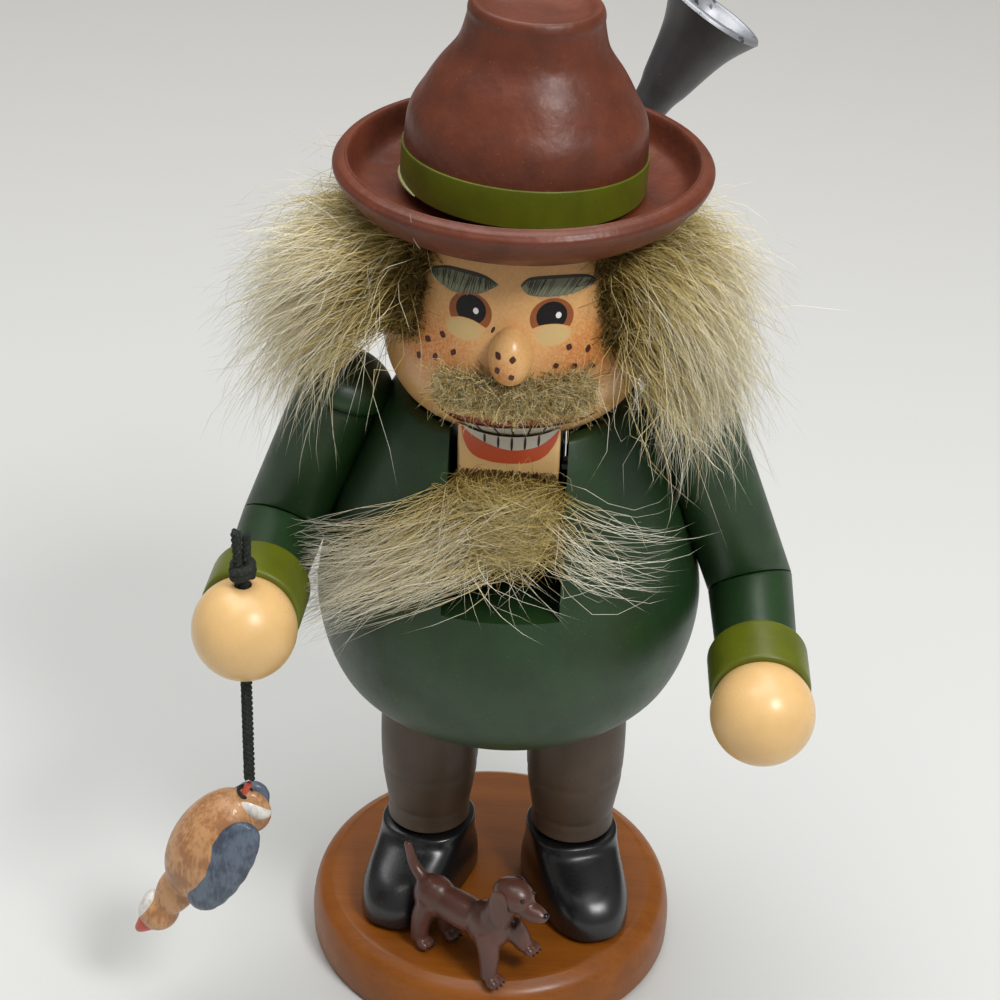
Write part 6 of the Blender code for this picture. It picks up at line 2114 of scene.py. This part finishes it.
@dataclass(frozen=True)
class BeardPart:
    """One combed part of the beard, by the angles round the coat that its tips reach, from the
    farthest to the nearest, and the heights between which they end at those two angles."""

    name: str
    root_x: tuple[float, float]
    tip_deg: tuple[float, float]
    far_height: tuple[float, float]
    near_height: tuple[float, float]
    thick: tuple[float, float]
    count: int
    blend_end: tuple[float, float, float]
    curl: float
    stand: float = 0.0
    rise: float = 0.0
    gather: float = 0.6
    reach: float = 1.14
    radius: float = 0.000042


@dataclass
class Beard:
    """The beard: fur glued to the jaw under the lip, combed out over the coat to both sides."""

    reach: float = Jaw.reach
    root_low: float = 0.0655
    root_high: float = 0.0729
    rows: int = 8
    tip_jitter: float = 0.0012
    parts: tuple[BeardPart, ...] = (
        BeardPart(
            "beard_right_fur_1", (-0.0050, 0.0020), (-97.0, -52.0), (0.0520, 0.0590), (0.0505, 0.0565),
            (0.0004, 0.0030), 480, (-0.0120, -0.0175, 0.0640), 0.0006, 0.0024, 0.0024,
        ),
        BeardPart(
            "beard_right_fur_2", (-0.0050, 0.0040), (-54.0, -16.0), (0.0530, 0.0615), (0.0620, 0.0680),
            (0.0003, 0.0020), 380, (-0.0110, -0.0180, 0.0635), 0.0007, 0.0, 0.0020,
        ),
        BeardPart(
            "beard_left_fur", (0.0005, 0.0050), (80.0, 26.0), (0.0600, 0.0690), (0.0615, 0.0660),
            (0.0004, 0.0030), 100, (0.0120, -0.0175, 0.0640), 0.0007, 0.0014, -0.0012, 0.7, 1.6,
        ),
        BeardPart(
            "beard_chin_fur", (-0.0050, 0.0050), (-21.0, 11.0), (0.0655, 0.0715), (0.0660, 0.0712),
            (0.0001, 0.0012), 3000, (0.0, -0.0195, 0.0610), 0.0007, 0.0, 0.0006, 0.45, 0.64, 0.000034,
        ),
        BeardPart(
            "beard_slot_strands", (-0.0044, 0.0046), (-20.0, 20.0), (0.0590, 0.0650), (0.0590, 0.0650),
            (0.0003, 0.0020), 34, (0.0, -0.0195, 0.0600), 0.0007, 0.0006, 0.0, 0.0,
        ),
    )

    def knots(self, part: BeardPart, rng: np.random.Generator) -> np.ndarray:
        """Four knots for each hair, in (angle round the coat, height, distance off the coat):
        at the jaw's front, past the slot's edge, on the way over the coat, and at the tip."""
        count = part.count
        x = rng.uniform(*part.root_x, count)
        z = rng.uniform(self.root_low, self.root_high, count)
        turn = np.arctan2(x, self.reach)
        off = np.hypot(x, self.reach) - COAT_SHAPE.radius_at(z)
        share = rng.random(count) ** 0.55
        tip_turn = np.radians(part.tip_deg[0] + (part.tip_deg[1] - part.tip_deg[0]) * share)
        level = (z - self.root_low) / (self.root_high - self.root_low)
        bias = np.clip(level + rng.normal(0.0, 0.22, count), 0.0, 1.0)
        ends = zip(part.far_height, part.near_height)
        low, high = (far + share * (near - far) for far, near in ends)
        tip_z = low + bias * (high - low)
        heads = rng.integers(0, count, 1 + count // 14)
        nearest = heads[nearest_of(np.stack([tip_turn * 0.02, tip_z], axis=1), heads)]
        pull = part.gather * rng.random(count) ** 0.5
        tip_turn = tip_turn + pull * (tip_turn[nearest] - tip_turn)
        tip_z = tip_z + pull * (tip_z[nearest] - tip_z)
        thick = rng.uniform(*part.thick, count)
        out = turn * 1.15
        over = (out + 0.55 * (tip_turn - out), 0.58 * z + 0.42 * tip_z + part.rise, thick + 0.0014)
        tip_off = 0.9 * thick + 0.0005 + self.tip_jitter * rng.random(count) + part.stand * rng.random(count)
        past = (out, z - 0.0004, 0.3 * off + 0.8 * thick + 0.0010)
        each = ((turn, z, off), past, over, (tip_turn, tip_z, tip_off))
        return np.stack([np.stack(knot, axis=1) for knot in each], axis=1)

    def lines(self, part: BeardPart, rng: np.random.Generator) -> tuple[Hairs, np.ndarray]:
        """Each hair is a cubic between its knots: out of the jaw's front and past the slot's
        edge first, then sideways close over the coat. The curl is that of curled hairs with the
        same ends, less plain ones."""
        knots = self.knots(part, rng)
        t = np.linspace(0.0, 1.0, self.rows)[None, :, None]
        weights = ((1 - t) ** 3, 3 * t * (1 - t) ** 2, 3 * t**2 * (1 - t), t**3)
        curve = sum(w * knots[:, k : k + 1] for k, w in enumerate(weights))
        radius = COAT_SHAPE.radius_at(curve[..., 1]) + curve[..., 2]
        line = round_axis(radius, curve[..., 0], curve[..., 1])
        ends = (line[:, 0], line[:, self.rows // 2], line[:, -1])
        hairs = Hairs(*ends, part.radius, part.curl, 1.0, self.rows, part.reach)
        wave = hairs.lines(rng)
        plain = Hairs(*ends, 0.00005, 0.0, 1.0, self.rows)
        return hairs, line + wave - plain.lines(rng)

    def make(self) -> None:
        """Make the beard's parts: their roots follow the jaw and their tips stay on the coat."""
        for number, part in enumerate(self.parts):
            rng = np.random.default_rng(300 + number)
            hairs, line = self.lines(part, rng)
            obj = hairs.piece(part.name, line, rng)
            obj.data.materials.append(WHEAT.material())
            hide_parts("beard")
            middle_x = (part.root_x[0] + part.root_x[1]) / 2
            start = (0.6 * middle_x, -self.reach - 0.0005, 0.0700)
            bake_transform(obj)
            log.info("%s: %d faces from jaw to figure", obj.name, len(obj.data.polygons))


# Gun


@dataclass
class Gun:
    """The gun across the back: a flat stock and a turned barrel with a flared, silvered mouth."""

    seat_height: float = 0.0264
    round_deg: float = 25.4
    stand_off: float = 0.0011
    lean_side_deg: float = 31.8
    lean_back_deg: float = 6.6
    twist_deg: float = 36.0
    length: float = 0.0702
    stock_length: float = 0.0270
    stock_thick: float = 0.0030
    butt: float = 0.0036
    wrist: float = 0.0018
    barrel: float = 0.0021
    muzzle: float = 0.0060
    muzzle_length: float = 0.0140
    muzzle_depth: float = 0.0040
    wall: float = 0.0007
    dowel_along: float = 0.0145
    edge: float = 0.0006
    rim_drop: float = 0.0005
    rolls: tuple[float, float] = (0.10, 0.16)
    roll_height: float = 0.00022
    roll_width: float = 0.0005

    def place(self) -> Matrix:
        """The gun's place: its origin at the butt, +Z along the barrel, +Y off the back."""
        turn = (
            Matrix.Rotation(math.radians(self.lean_side_deg), 4, "Y")
            @ Matrix.Rotation(math.radians(-self.lean_back_deg), 4, "X")
            @ Matrix.Rotation(math.radians(self.twist_deg), 4, "Z")
        )
        height = COAT_SHAPE.floor + self.seat_height
        reach = float(COAT_SHAPE.radius_at(height)) + self.stand_off
        angle = math.radians(self.round_deg)
        seat = Vector((-reach * math.sin(angle), reach * math.cos(angle), height))
        return Matrix.Translation(seat - turn @ Vector((0.0, -self.stock_thick / 2, self.dowel_along))) @ turn

    def stock(self) -> None:
        """The stock, sawn to its outline and rounded all along its edges."""
        long, butt, wrist = self.stock_length, self.butt, self.wrist
        comb, grip = 0.36 * long, 0.62 * long
        upper = through([(-butt, 0.0), (-0.9 * wrist, comb), (-wrist, grip), (-1.3 * wrist, long)])
        lower = through([(1.3 * wrist, long), (1.1 * wrist, grip), (1.6 * wrist, comb), (1.35 * butt, 0.0)])
        outline = eased(np.concatenate([upper, lower]), 0.0005, closed=True, steps=3)
        points = slab(outline, self.stock_thick / 2, self.edge, 3)
        points = np.stack([points[..., 1], points[..., 0], points[..., 2]], axis=-1)
        add("gun_stock_wood", grid(points).moved(self.place()), STOCK, "gun_stock")

    def turned_barrel(self) -> None:
        """The barrel with a rolled foot, a slow flare and, as a piece of its own, the mouth."""
        start = self.stock_length + 0.0003
        long = self.length - start
        neck = long - self.muzzle_length
        slim, wide, flaring = self.barrel, self.muzzle, self.muzzle_length
        rim = long - self.rim_drop
        flare = through(
            [
                (slim, 0.0007),
                (1.02 * slim, 0.5 * neck),
                (slim, neck),
                (0.90 * slim + 0.17 * wide, neck + 0.32 * flaring),
                (0.30 * slim + 0.60 * wide, neck + 0.70 * flaring),
                (wide, rim),
            ]
        )
        for at in self.rolls:
            flare[:, 0] += self.roll_height * np.exp(-(((flare[:, 1] - at * neck) / self.roll_width) ** 2))
        foot = [(0.0, 0.0), (slim - 0.0004, 0.0)]
        outline = np.concatenate([foot, flare, [(0.9 * wide, rim), (0.0, long - 0.005)]])
        place = self.place() @ Matrix.Translation((0.0, 0.0, start))
        add("gun_barrel_wood", grid(turned(outline, 72)).moved(place), GUN, "gun_barrel")
        floor = long - self.muzzle_depth
        inner = wide - 0.0004 - self.wall
        mouth = through(
            [
                (0.0, floor),
                (0.25 * wide, floor + 0.0001),
                (0.45 * wide, floor + 0.0007),
                (0.86 * inner, long - 0.0009),
                (inner, long - 0.0002),
                (inner + 0.4 * self.wall, long),
                (wide - 0.0002, long - 0.0001),
                (wide + 0.00004, rim),
            ]
        )
        closed = np.concatenate([mouth, [(0.8 * wide, long - 0.0012), (0.0, floor - 0.0006)]])
        add("gun_mouth", grid(turned(closed, 72)).moved(place), MUZZLE, slot="gun_grey_paint")

    def make(self) -> None:
        """Make the gun."""
        self.stock()
        self.turned_barrel()


# Cord, bird and dog


def twisted(path: np.ndarray, radius: float, turns: float, strands: int = 3) -> Form:
    """A cord laid of strands: each runs round the path at half the cord's radius."""
    path = np.asarray(path, float)
    share = np.linspace(0.0, 1.0, len(path))
    forms = []
    for number in range(strands):
        angle = 2 * np.pi * (turns * share + number / strands)
        offset = 0.52 * radius * np.stack([np.cos(angle), np.sin(angle), 0 * angle], axis=1)
        forms.append(tube(path + offset, 0.52 * radius, 8))
    return joined(forms)


@dataclass
class GameCord:
    """The cord through the right hand: a doubled stub, a wound knot and the stretch to the bird."""

    hand_at: np.ndarray
    hand_radius: float
    radius: float = 0.00065
    knot_radius: float = 0.0015
    knot_turns: float = 2.6
    knot_half: float = 0.0011
    stub: float = 0.0036
    drop: float = 0.0150
    feet_gap: float = 0.0004

    def knot(self, x: float, y: float, knot: float) -> Form:
        """The wound knot round its middle, and the two ends of the stub that leave it."""
        turn = np.linspace(0.0, self.knot_turns * 2 * np.pi, 90)
        rise = np.linspace(-0.85, 0.85, 90)
        wide = (self.knot_radius - 0.0005) * np.sqrt((1.0 - 0.35 * rise**2).clip(0.1))
        height = knot + rise * self.knot_half + 0.0002 * np.cos(turn)
        coil = np.stack([x + wide * np.cos(turn), y + wide * np.sin(turn), height], axis=1)
        share = np.linspace(0.0, 1.0, 24)
        first = (x - 0.0004 - 0.0002 * share, y - 0.0002 + 0 * share, knot + share * (self.stub + 0.0013))
        second = (x + 0.0004 + 0.0001 * share, y + 0.0001 + 0 * share, knot + share * (self.stub + 0.0009))
        below = np.linspace((x, y, self.hand_at[2] - 0.9 * self.hand_radius), (x, y, knot), 30)
        form = twisted(below, self.radius, 4.0) + tube(coil, 0.00052, 12)
        form = form + twisted(np.stack(first, axis=1), 0.00055, 2.4)
        return form + twisted(np.stack(second, axis=1), 0.0005, 2.2)

    def make(self) -> None:
        """Make the knot on the figure and the drop on its own body."""
        x, y, z = self.hand_at
        knot = z + self.hand_radius + self.knot_radius + 0.0003
        add("cord_knot_fibre", self.knot(x, y, knot), CORD, "cord_knot")
        mouth = np.array([x, y, z - self.hand_radius])
        path = np.linspace(mouth, mouth - UP * (self.drop - self.feet_gap), 60)
        add("cord_drop_fibre", twisted(path, self.radius, 7.0), CORD, "cord_drop", body=Body.CORD)


@dataclass
class GameBird:
    """The game bird, hung by its feet: body, slate wings, neck, head with a white cheek, and bill."""

    feet: np.ndarray
    length: float = 0.0260
    girth: float = 0.0050
    lean_deg: float = 27.0
    thin: float = 0.46
    voxel: float = 0.00024

    def place(self) -> Matrix:
        """The bird hangs from its feet, its head swung to the figure's right."""
        return Matrix.Translation(Vector(self.feet)) @ Matrix.Rotation(math.radians(self.lean_deg), 4, "Y")

    def wing(self, sign: float) -> Form:
        """A folded wing: a lens over the flank, with rows of feathers stepped on it."""
        girth, long = self.girth, self.length
        fall = np.linspace(0.0, np.pi, 60)[:, None]
        angle = ring_angles(48)[None, :]
        ring = np.sin(fall) ** 0.8
        height = np.cos(fall) + 0 * angle
        feather = 1.0 + 0.05 * np.abs(np.sin(9.0 * fall)) * np.abs(np.sin(4.0 * angle))
        x = 0.36 * girth + 0.56 * girth * ring * np.cos(angle) * feather
        y = sign * (0.74 * girth + 0.30 * girth * ring * np.sin(angle) * feather)
        z = -0.36 * long + 0.27 * long * height
        return grid(np.stack([x, y, z], axis=-1))

    def make(self) -> None:
        """Make the bird's pieces."""
        girth, long = self.girth, self.length
        thin = self.thin * girth
        place = self.place()

        def paint(name: str, form: Form, finish: Finish, slot: str = "bird_paint") -> None:
            """Add a piece of the bird, hung where the bird hangs."""
            add(name, form.moved(place), finish, slot=slot, body=Body.BIRD)

        body = (
            egg((0.0, 0.0, -0.38 * long), (0.92 * girth, girth, 0.30 * long), blunt=0.08),
            egg((0.24 * girth, 0.0, -0.15 * long), (0.62 * girth, 0.26 * girth, 0.12 * long)),
            egg((-0.12 * girth, 0.0, -0.70 * long), (thin, thin, 0.15 * long)),
            egg((-0.20 * girth, 0.0, -0.86 * long), (thin, 0.95 * thin, 0.10 * long)),
        )
        carving = melted("bird_carving", joined(body).moved(place), self.voxel, 4)
        settle(carving, BROWN_PLUMES, node="bird", body=Body.BIRD)
        paint("bird_wings", self.wing(-1.0) + self.wing(1.0), SLATE_PLUMES)
        cheek = egg((-0.52 * girth, 0.0, -0.85 * long), (0.17 * girth, 0.30 * girth, 0.075 * long))
        tail_edge = egg((0.30 * girth, 0.0, -0.105 * long), (0.50 * girth, 0.29 * girth, 0.05 * long))
        paint("bird_white", cheek + tail_edge, WHITE_PLUMES)
        share = np.linspace(0.0, 1.0, 12)[:, None]
        root, tip = np.array([(-0.24 * girth, 0.0, -0.91 * long), (-0.40 * girth, 0.0, -1.012 * long)])
        bill = tube(root * (1 - share) + tip * share, 0.25 * girth * (1.0 - 0.62 * share[:, 0] ** 2), 20)
        paint("bird_bill", bill, CORAL)
        eyes, feet = [], []
        for sign in (-1, 1):
            eye = (-0.22 * girth, sign * 0.80 * thin, -0.875 * long)
            eyes.append(egg(eye, (0.00028, 0.00022, 0.00028), 12, 8))
            ankle, hip = (0.0, sign * 0.0004, -0.0016), (0.0004, sign * 0.0009, -0.16 * long)
            feet.append(tube(through([(0.0, 0.0, -0.00006), ankle, hip], 6), 0.00036, 10))
        paint("bird_eyes", joined(eyes), PUPIL)
        paint("bird_feet", joined(feet), CORAL)
        wrap = np.linspace(0.0, 4 * np.pi, 40)
        height = -0.0010 - 0.00035 * wrap / np.pi
        loop = np.stack([0.00072 * np.cos(wrap), 0.00072 * np.sin(wrap), height], axis=1)
        paint("bird_lashing", tube(loop, 0.00022, 8), CORD, "black_cord")


@dataclass
class Hound:
    """The small pointing hound in front of the boots, carved, with one forefoot raised."""

    long: float = 0.0125
    tall: float = 0.0085
    girth: float = 0.0024
    leg: float = 0.0011
    heading_deg: float = 56.0
    aside: float = -0.0035
    edge: float = 0.0042
    voxel: float = 0.00020
    toes: tuple[float, float, float] = (-0.62, 0.0, 0.62)

    def place(self) -> Matrix:
        """The hound's place on the base, turned by its heading."""
        spot = Vector((self.aside, self.edge - Stand.top_radius, top_of("base_plate")))
        return Matrix.Translation(spot) @ Matrix.Rotation(math.radians(self.heading_deg), 4, "Z")

    def paws(self) -> list[tuple[float, float, float]]:
        """Each paw's place: across, along as a share of the length, and up."""
        ankle = 0.9 * self.leg
        near, raised, far = -0.71 * self.girth, 1.08 * self.girth, 0.63 * self.girth
        lifted = (raised, -0.60, 0.47 * self.tall)
        return [(near, -0.44, ankle), lifted, (near, 0.40, ankle), (far, 0.28, ankle)]

    def limbs(self, back: float) -> tuple[list[Form], list[Form]]:
        """The four legs with their toes, and the claws on them."""
        leg, long = self.leg, self.long
        lumps, claws = [], []
        for across, along, height in self.paws():
            hip = np.array((0.6 * across, 0.80 * along * long, back))
            paw = np.array([across, along * long, height])
            knee = 0.5 * (hip + paw) + np.array([0.0, 0.0004 if along > 0 else -0.0003, 0.0])
            limb = through([paw, knee, hip], 6)
            lumps.append(tube(limb, np.linspace(0.92 * leg, 1.45 * leg, len(limb)), 16))
            for toe in self.toes:
                sunk = 0.25 * height * (height < 0.002)
                at = paw + np.array([toe * leg, -(1.0 - 0.25 * toe**2) * leg, 0.05 * leg - sunk])
                lumps.append(egg(at, (0.42 * leg, 0.78 * leg, 0.60 * leg), 16, 12))
                claw = at + np.array([0.0, -0.70 * leg, -0.10 * leg])
                claws.append(egg(claw, (0.00012, 0.00030, 0.00016), 10, 8))
        return lumps, claws

    def ear(self, sign: float) -> Form:
        """A hanging ear: a thin lens at the side of the head, which stands off as it falls."""
        girth, thin = self.girth, 0.34 * self.girth
        fall = np.linspace(0.0, np.pi, 24)[:, None]
        angle = ring_angles(32)[None, :]
        ring = np.sin(fall) ** 0.7
        x = sign * (0.80 * girth + 0.30 * thin * ring * np.cos(angle) + 0.25 * thin * (1 - np.cos(fall)))
        y = -0.55 * self.long + 0.56 * girth * ring * np.sin(angle)
        z = 1.45 * self.tall + 1.02 * girth * np.cos(fall) + 0 * angle
        return grid(np.stack([x + 0 * angle, y, z], axis=-1))

    def make(self) -> None:
        """Make the carving, its ears, eyes, nose and claws."""
        long, tall, girth = self.long, self.tall, self.girth
        back = tall - 0.6 * girth
        thin = 0.34 * girth
        place = self.place()
        neck = np.linspace((0.0, -0.38 * long, 0.95 * tall), (0.0, -0.54 * long, 1.52 * tall), 6)
        tip = (0.0, 0.67 * long, 1.53 * tall)
        tail = through([(0.0, 0.44 * long, tall), (0.0, 0.58 * long, 1.18 * tall), tip], 6)
        limbs, claws = self.limbs(back)
        lumps = (
            egg((0.0, 0.0, back), (0.86 * girth, 0.50 * long, 0.92 * girth)),
            egg((0.0, -0.32 * long, back), (1.0 * girth, 1.25 * girth, 1.28 * girth)),
            egg((0.0, 0.32 * long, back), (0.95 * girth, 1.17 * girth, 1.15 * girth)),
            egg((0.0, -0.60 * long, 1.59 * tall), (0.84 * girth, 1.10 * girth, 0.84 * girth)),
            egg((0.0, -0.80 * long, 1.47 * tall), (0.50 * girth, 1.0 * girth, 0.46 * girth)),
            tube(neck, np.linspace(0.86 * girth, 0.64 * girth, 6), 24),
            tube(tail, np.linspace(1.15 * thin, 0.55 * thin, len(tail)), 16),
        )
        carving = melted("dog_carving", joined((*lumps, *limbs)).moved(place), self.voxel, 4)
        settle(carving, DOG, node="dog")
        add("dog_ears", (self.ear(-1) + self.ear(1)).moved(place), DOG)
        brow = (-0.78 * long + 0.1 * girth, 1.59 * tall + 0.30 * girth)
        eyes = [egg((sign * 0.42 * girth, *brow), (0.00026, 0.00026, 0.00028), 14, 10) for sign in (-1, 1)]
        muzzle = (0.0, -0.80 * long - 0.92 * girth, 1.47 * tall + 0.16 * girth)
        nose = egg(muzzle, (0.00042, 0.00034, 0.00032), 16, 12)
        add("dog_claws_and_eyes", joined((*eyes, nose, *claws)).moved(place), PUPIL, slot="dog_paint")


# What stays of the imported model


@dataclass
class HiddenParts:
    """The dowels and the pin keep their own solids, and get their wood and steel."""

    dowels: tuple[str, ...] = (
        "leg_dowel_left",
        "leg_dowel_right",
        "neck_dowel_left",
        "neck_dowel_right",
        "hat_dowel",
        "shoulder_dowel_left",
        "shoulder_dowel_right",
        "gun_dowel",
    )

    def make(self) -> None:
        """Dress the nodes that stay."""
        for name, finish in [*((dowel, BEECH) for dowel in self.dowels), ("pivot_pin", STEEL)]:
            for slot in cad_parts[name].material_slots:
                slot.material = finish.material()
            log.info("%s: dressed in %s", name, finish.name)


# Floor, light and camera


@dataclass(frozen=True)
class Lamp:
    """A square soft lamp that looks down at a point over the figure's feet."""

    name: str
    at: tuple[float, float, float]
    size: float
    power: float
    aim_drop: float = 0.06

    def make(self) -> None:
        """Make the lamp."""
        data = bpy.data.lights.new(self.name, "AREA")
        data.shape = "SQUARE"
        data.size = self.size
        data.energy = self.power
        lamp = bpy.data.objects.new(self.name, data)
        bpy.context.scene.collection.objects.link(lamp)
        lamp.matrix_world = facing(self.at, Vector(self.at) - Vector((0.0, 0.0, self.aim_drop)))


@dataclass
class Studio:
    """A pale floor that runs up behind, soft light from above and the photograph's camera."""

    distance: float = 0.2318
    height: float = 0.2037
    azimuth_deg: float = 2.4
    aside_deg: float = 0.325
    pitch_deg: float = 31.5
    roll_deg: float = 1.9
    lens: float = 86.4
    sensor: float = 36.0
    clip_start: float = 0.01
    # the floor's own colour, then its painted shade far behind and where along Y that comes in
    paper: Paper = Paper("floor_paper", shade(200, 201, 198), shade(186, 184, 180), (-0.02, 0.42))
    half_width: float = 5.0
    bend_from: float = 0.9
    bend_radius: float = 0.6
    wall_top: float = 2.6
    sky: float = 0.31
    lamps: tuple[Lamp, ...] = (
        Lamp("window", (0.27, -0.30, 0.53), 0.15, 2.3),
        Lamp("ceiling", (-0.06, 0.14, 0.80), 0.78, 6.9),
    )

    def camera(self) -> None:
        """The camera: where it stands, how far it looks down and how it is rolled."""
        azimuth = math.radians(self.azimuth_deg)
        yaw = azimuth + math.radians(self.aside_deg)
        pitch, roll = math.radians(self.pitch_deg), math.radians(self.roll_deg)
        at = Vector((self.distance * math.sin(azimuth), -self.distance * math.cos(azimuth), self.height))
        ahead = Vector((-math.sin(yaw) * math.cos(pitch), math.cos(yaw) * math.cos(pitch), -math.sin(pitch)))
        right = Vector((math.cos(yaw), math.sin(yaw), 0.0))
        up = right.cross(ahead)
        rolled_right = right * math.cos(roll) + up * math.sin(roll)
        rolled_up = up * math.cos(roll) - right * math.sin(roll)
        turn = Matrix((rolled_right, rolled_up, -ahead)).transposed().to_4x4()
        data = bpy.data.cameras.new("photograph")
        data.lens = self.lens
        data.sensor_width = self.sensor
        data.clip_start = self.clip_start
        camera = bpy.data.objects.new("photograph", data)
        bpy.context.scene.collection.objects.link(camera)
        camera.matrix_world = Matrix.Translation(at) @ turn
        bpy.context.scene.camera = camera

    def floor(self) -> None:
        """The floor: flat round the figure, then curved up in a quarter round behind it."""
        bend = np.radians(np.linspace(0.0, 90.0, 24))
        radius = self.bend_radius
        start = self.bend_from
        y = np.concatenate([[-1.6, -0.6, 0.0], start + radius * np.sin(bend), [start + radius]])
        z = np.concatenate([[0.0, 0.0, 0.0], radius * (1 - np.cos(bend)), [self.wall_top]])
        x = np.linspace(-self.half_width, self.half_width, 9)
        points = np.stack(np.broadcast_arrays(x[None, :], y[:, None], z[:, None]), axis=-1)
        floor = raw_object("floor", grid(points, around=False))
        floor.data.shade_smooth()
        floor.data.materials.append(self.paper.material())

    def make(self) -> None:
        """Make the studio."""
        scene = bpy.context.scene
        scene.view_settings.view_transform = "Standard"
        world = bpy.data.worlds.new("room")
        world.use_nodes = True
        sky = world.node_tree.nodes["Background"]
        sky.inputs["Color"].default_value = (1.0, 1.0, 1.0, 1.0)
        sky.inputs["Strength"].default_value = self.sky
        scene.world = world
        self.floor()
        for lamp in self.lamps:
            lamp.make()
        self.camera()


def main() -> None:
    """Build every sub-assembly in order."""
    logging.basicConfig(level=logging.INFO, format="%(message)s")
    right = Arm(Side.RIGHT, 0.0180, 0.0)
    left = Arm(Side.LEFT, 0.0222, -8.0)
    cord = GameCord(right.hand_at, right.hand_radius)
    mouth = right.hand_at - UP * right.hand_radius
    bird = GameBird(mouth - UP * (cord.drop + 0.0003))
    carved = (Stand(), CoatBlock(), HeadAndNose(), Jaw(), Hat(), right, left)
    furred = (Wig(), Moustache(), Beard())
    for part in (Studio(), *carved, *furred, Gun(), cord, bird, Hound(), HiddenParts()):
        log.info("making %s", type(part).__name__)
        part.make()

if __name__ == "__main__":
    main()
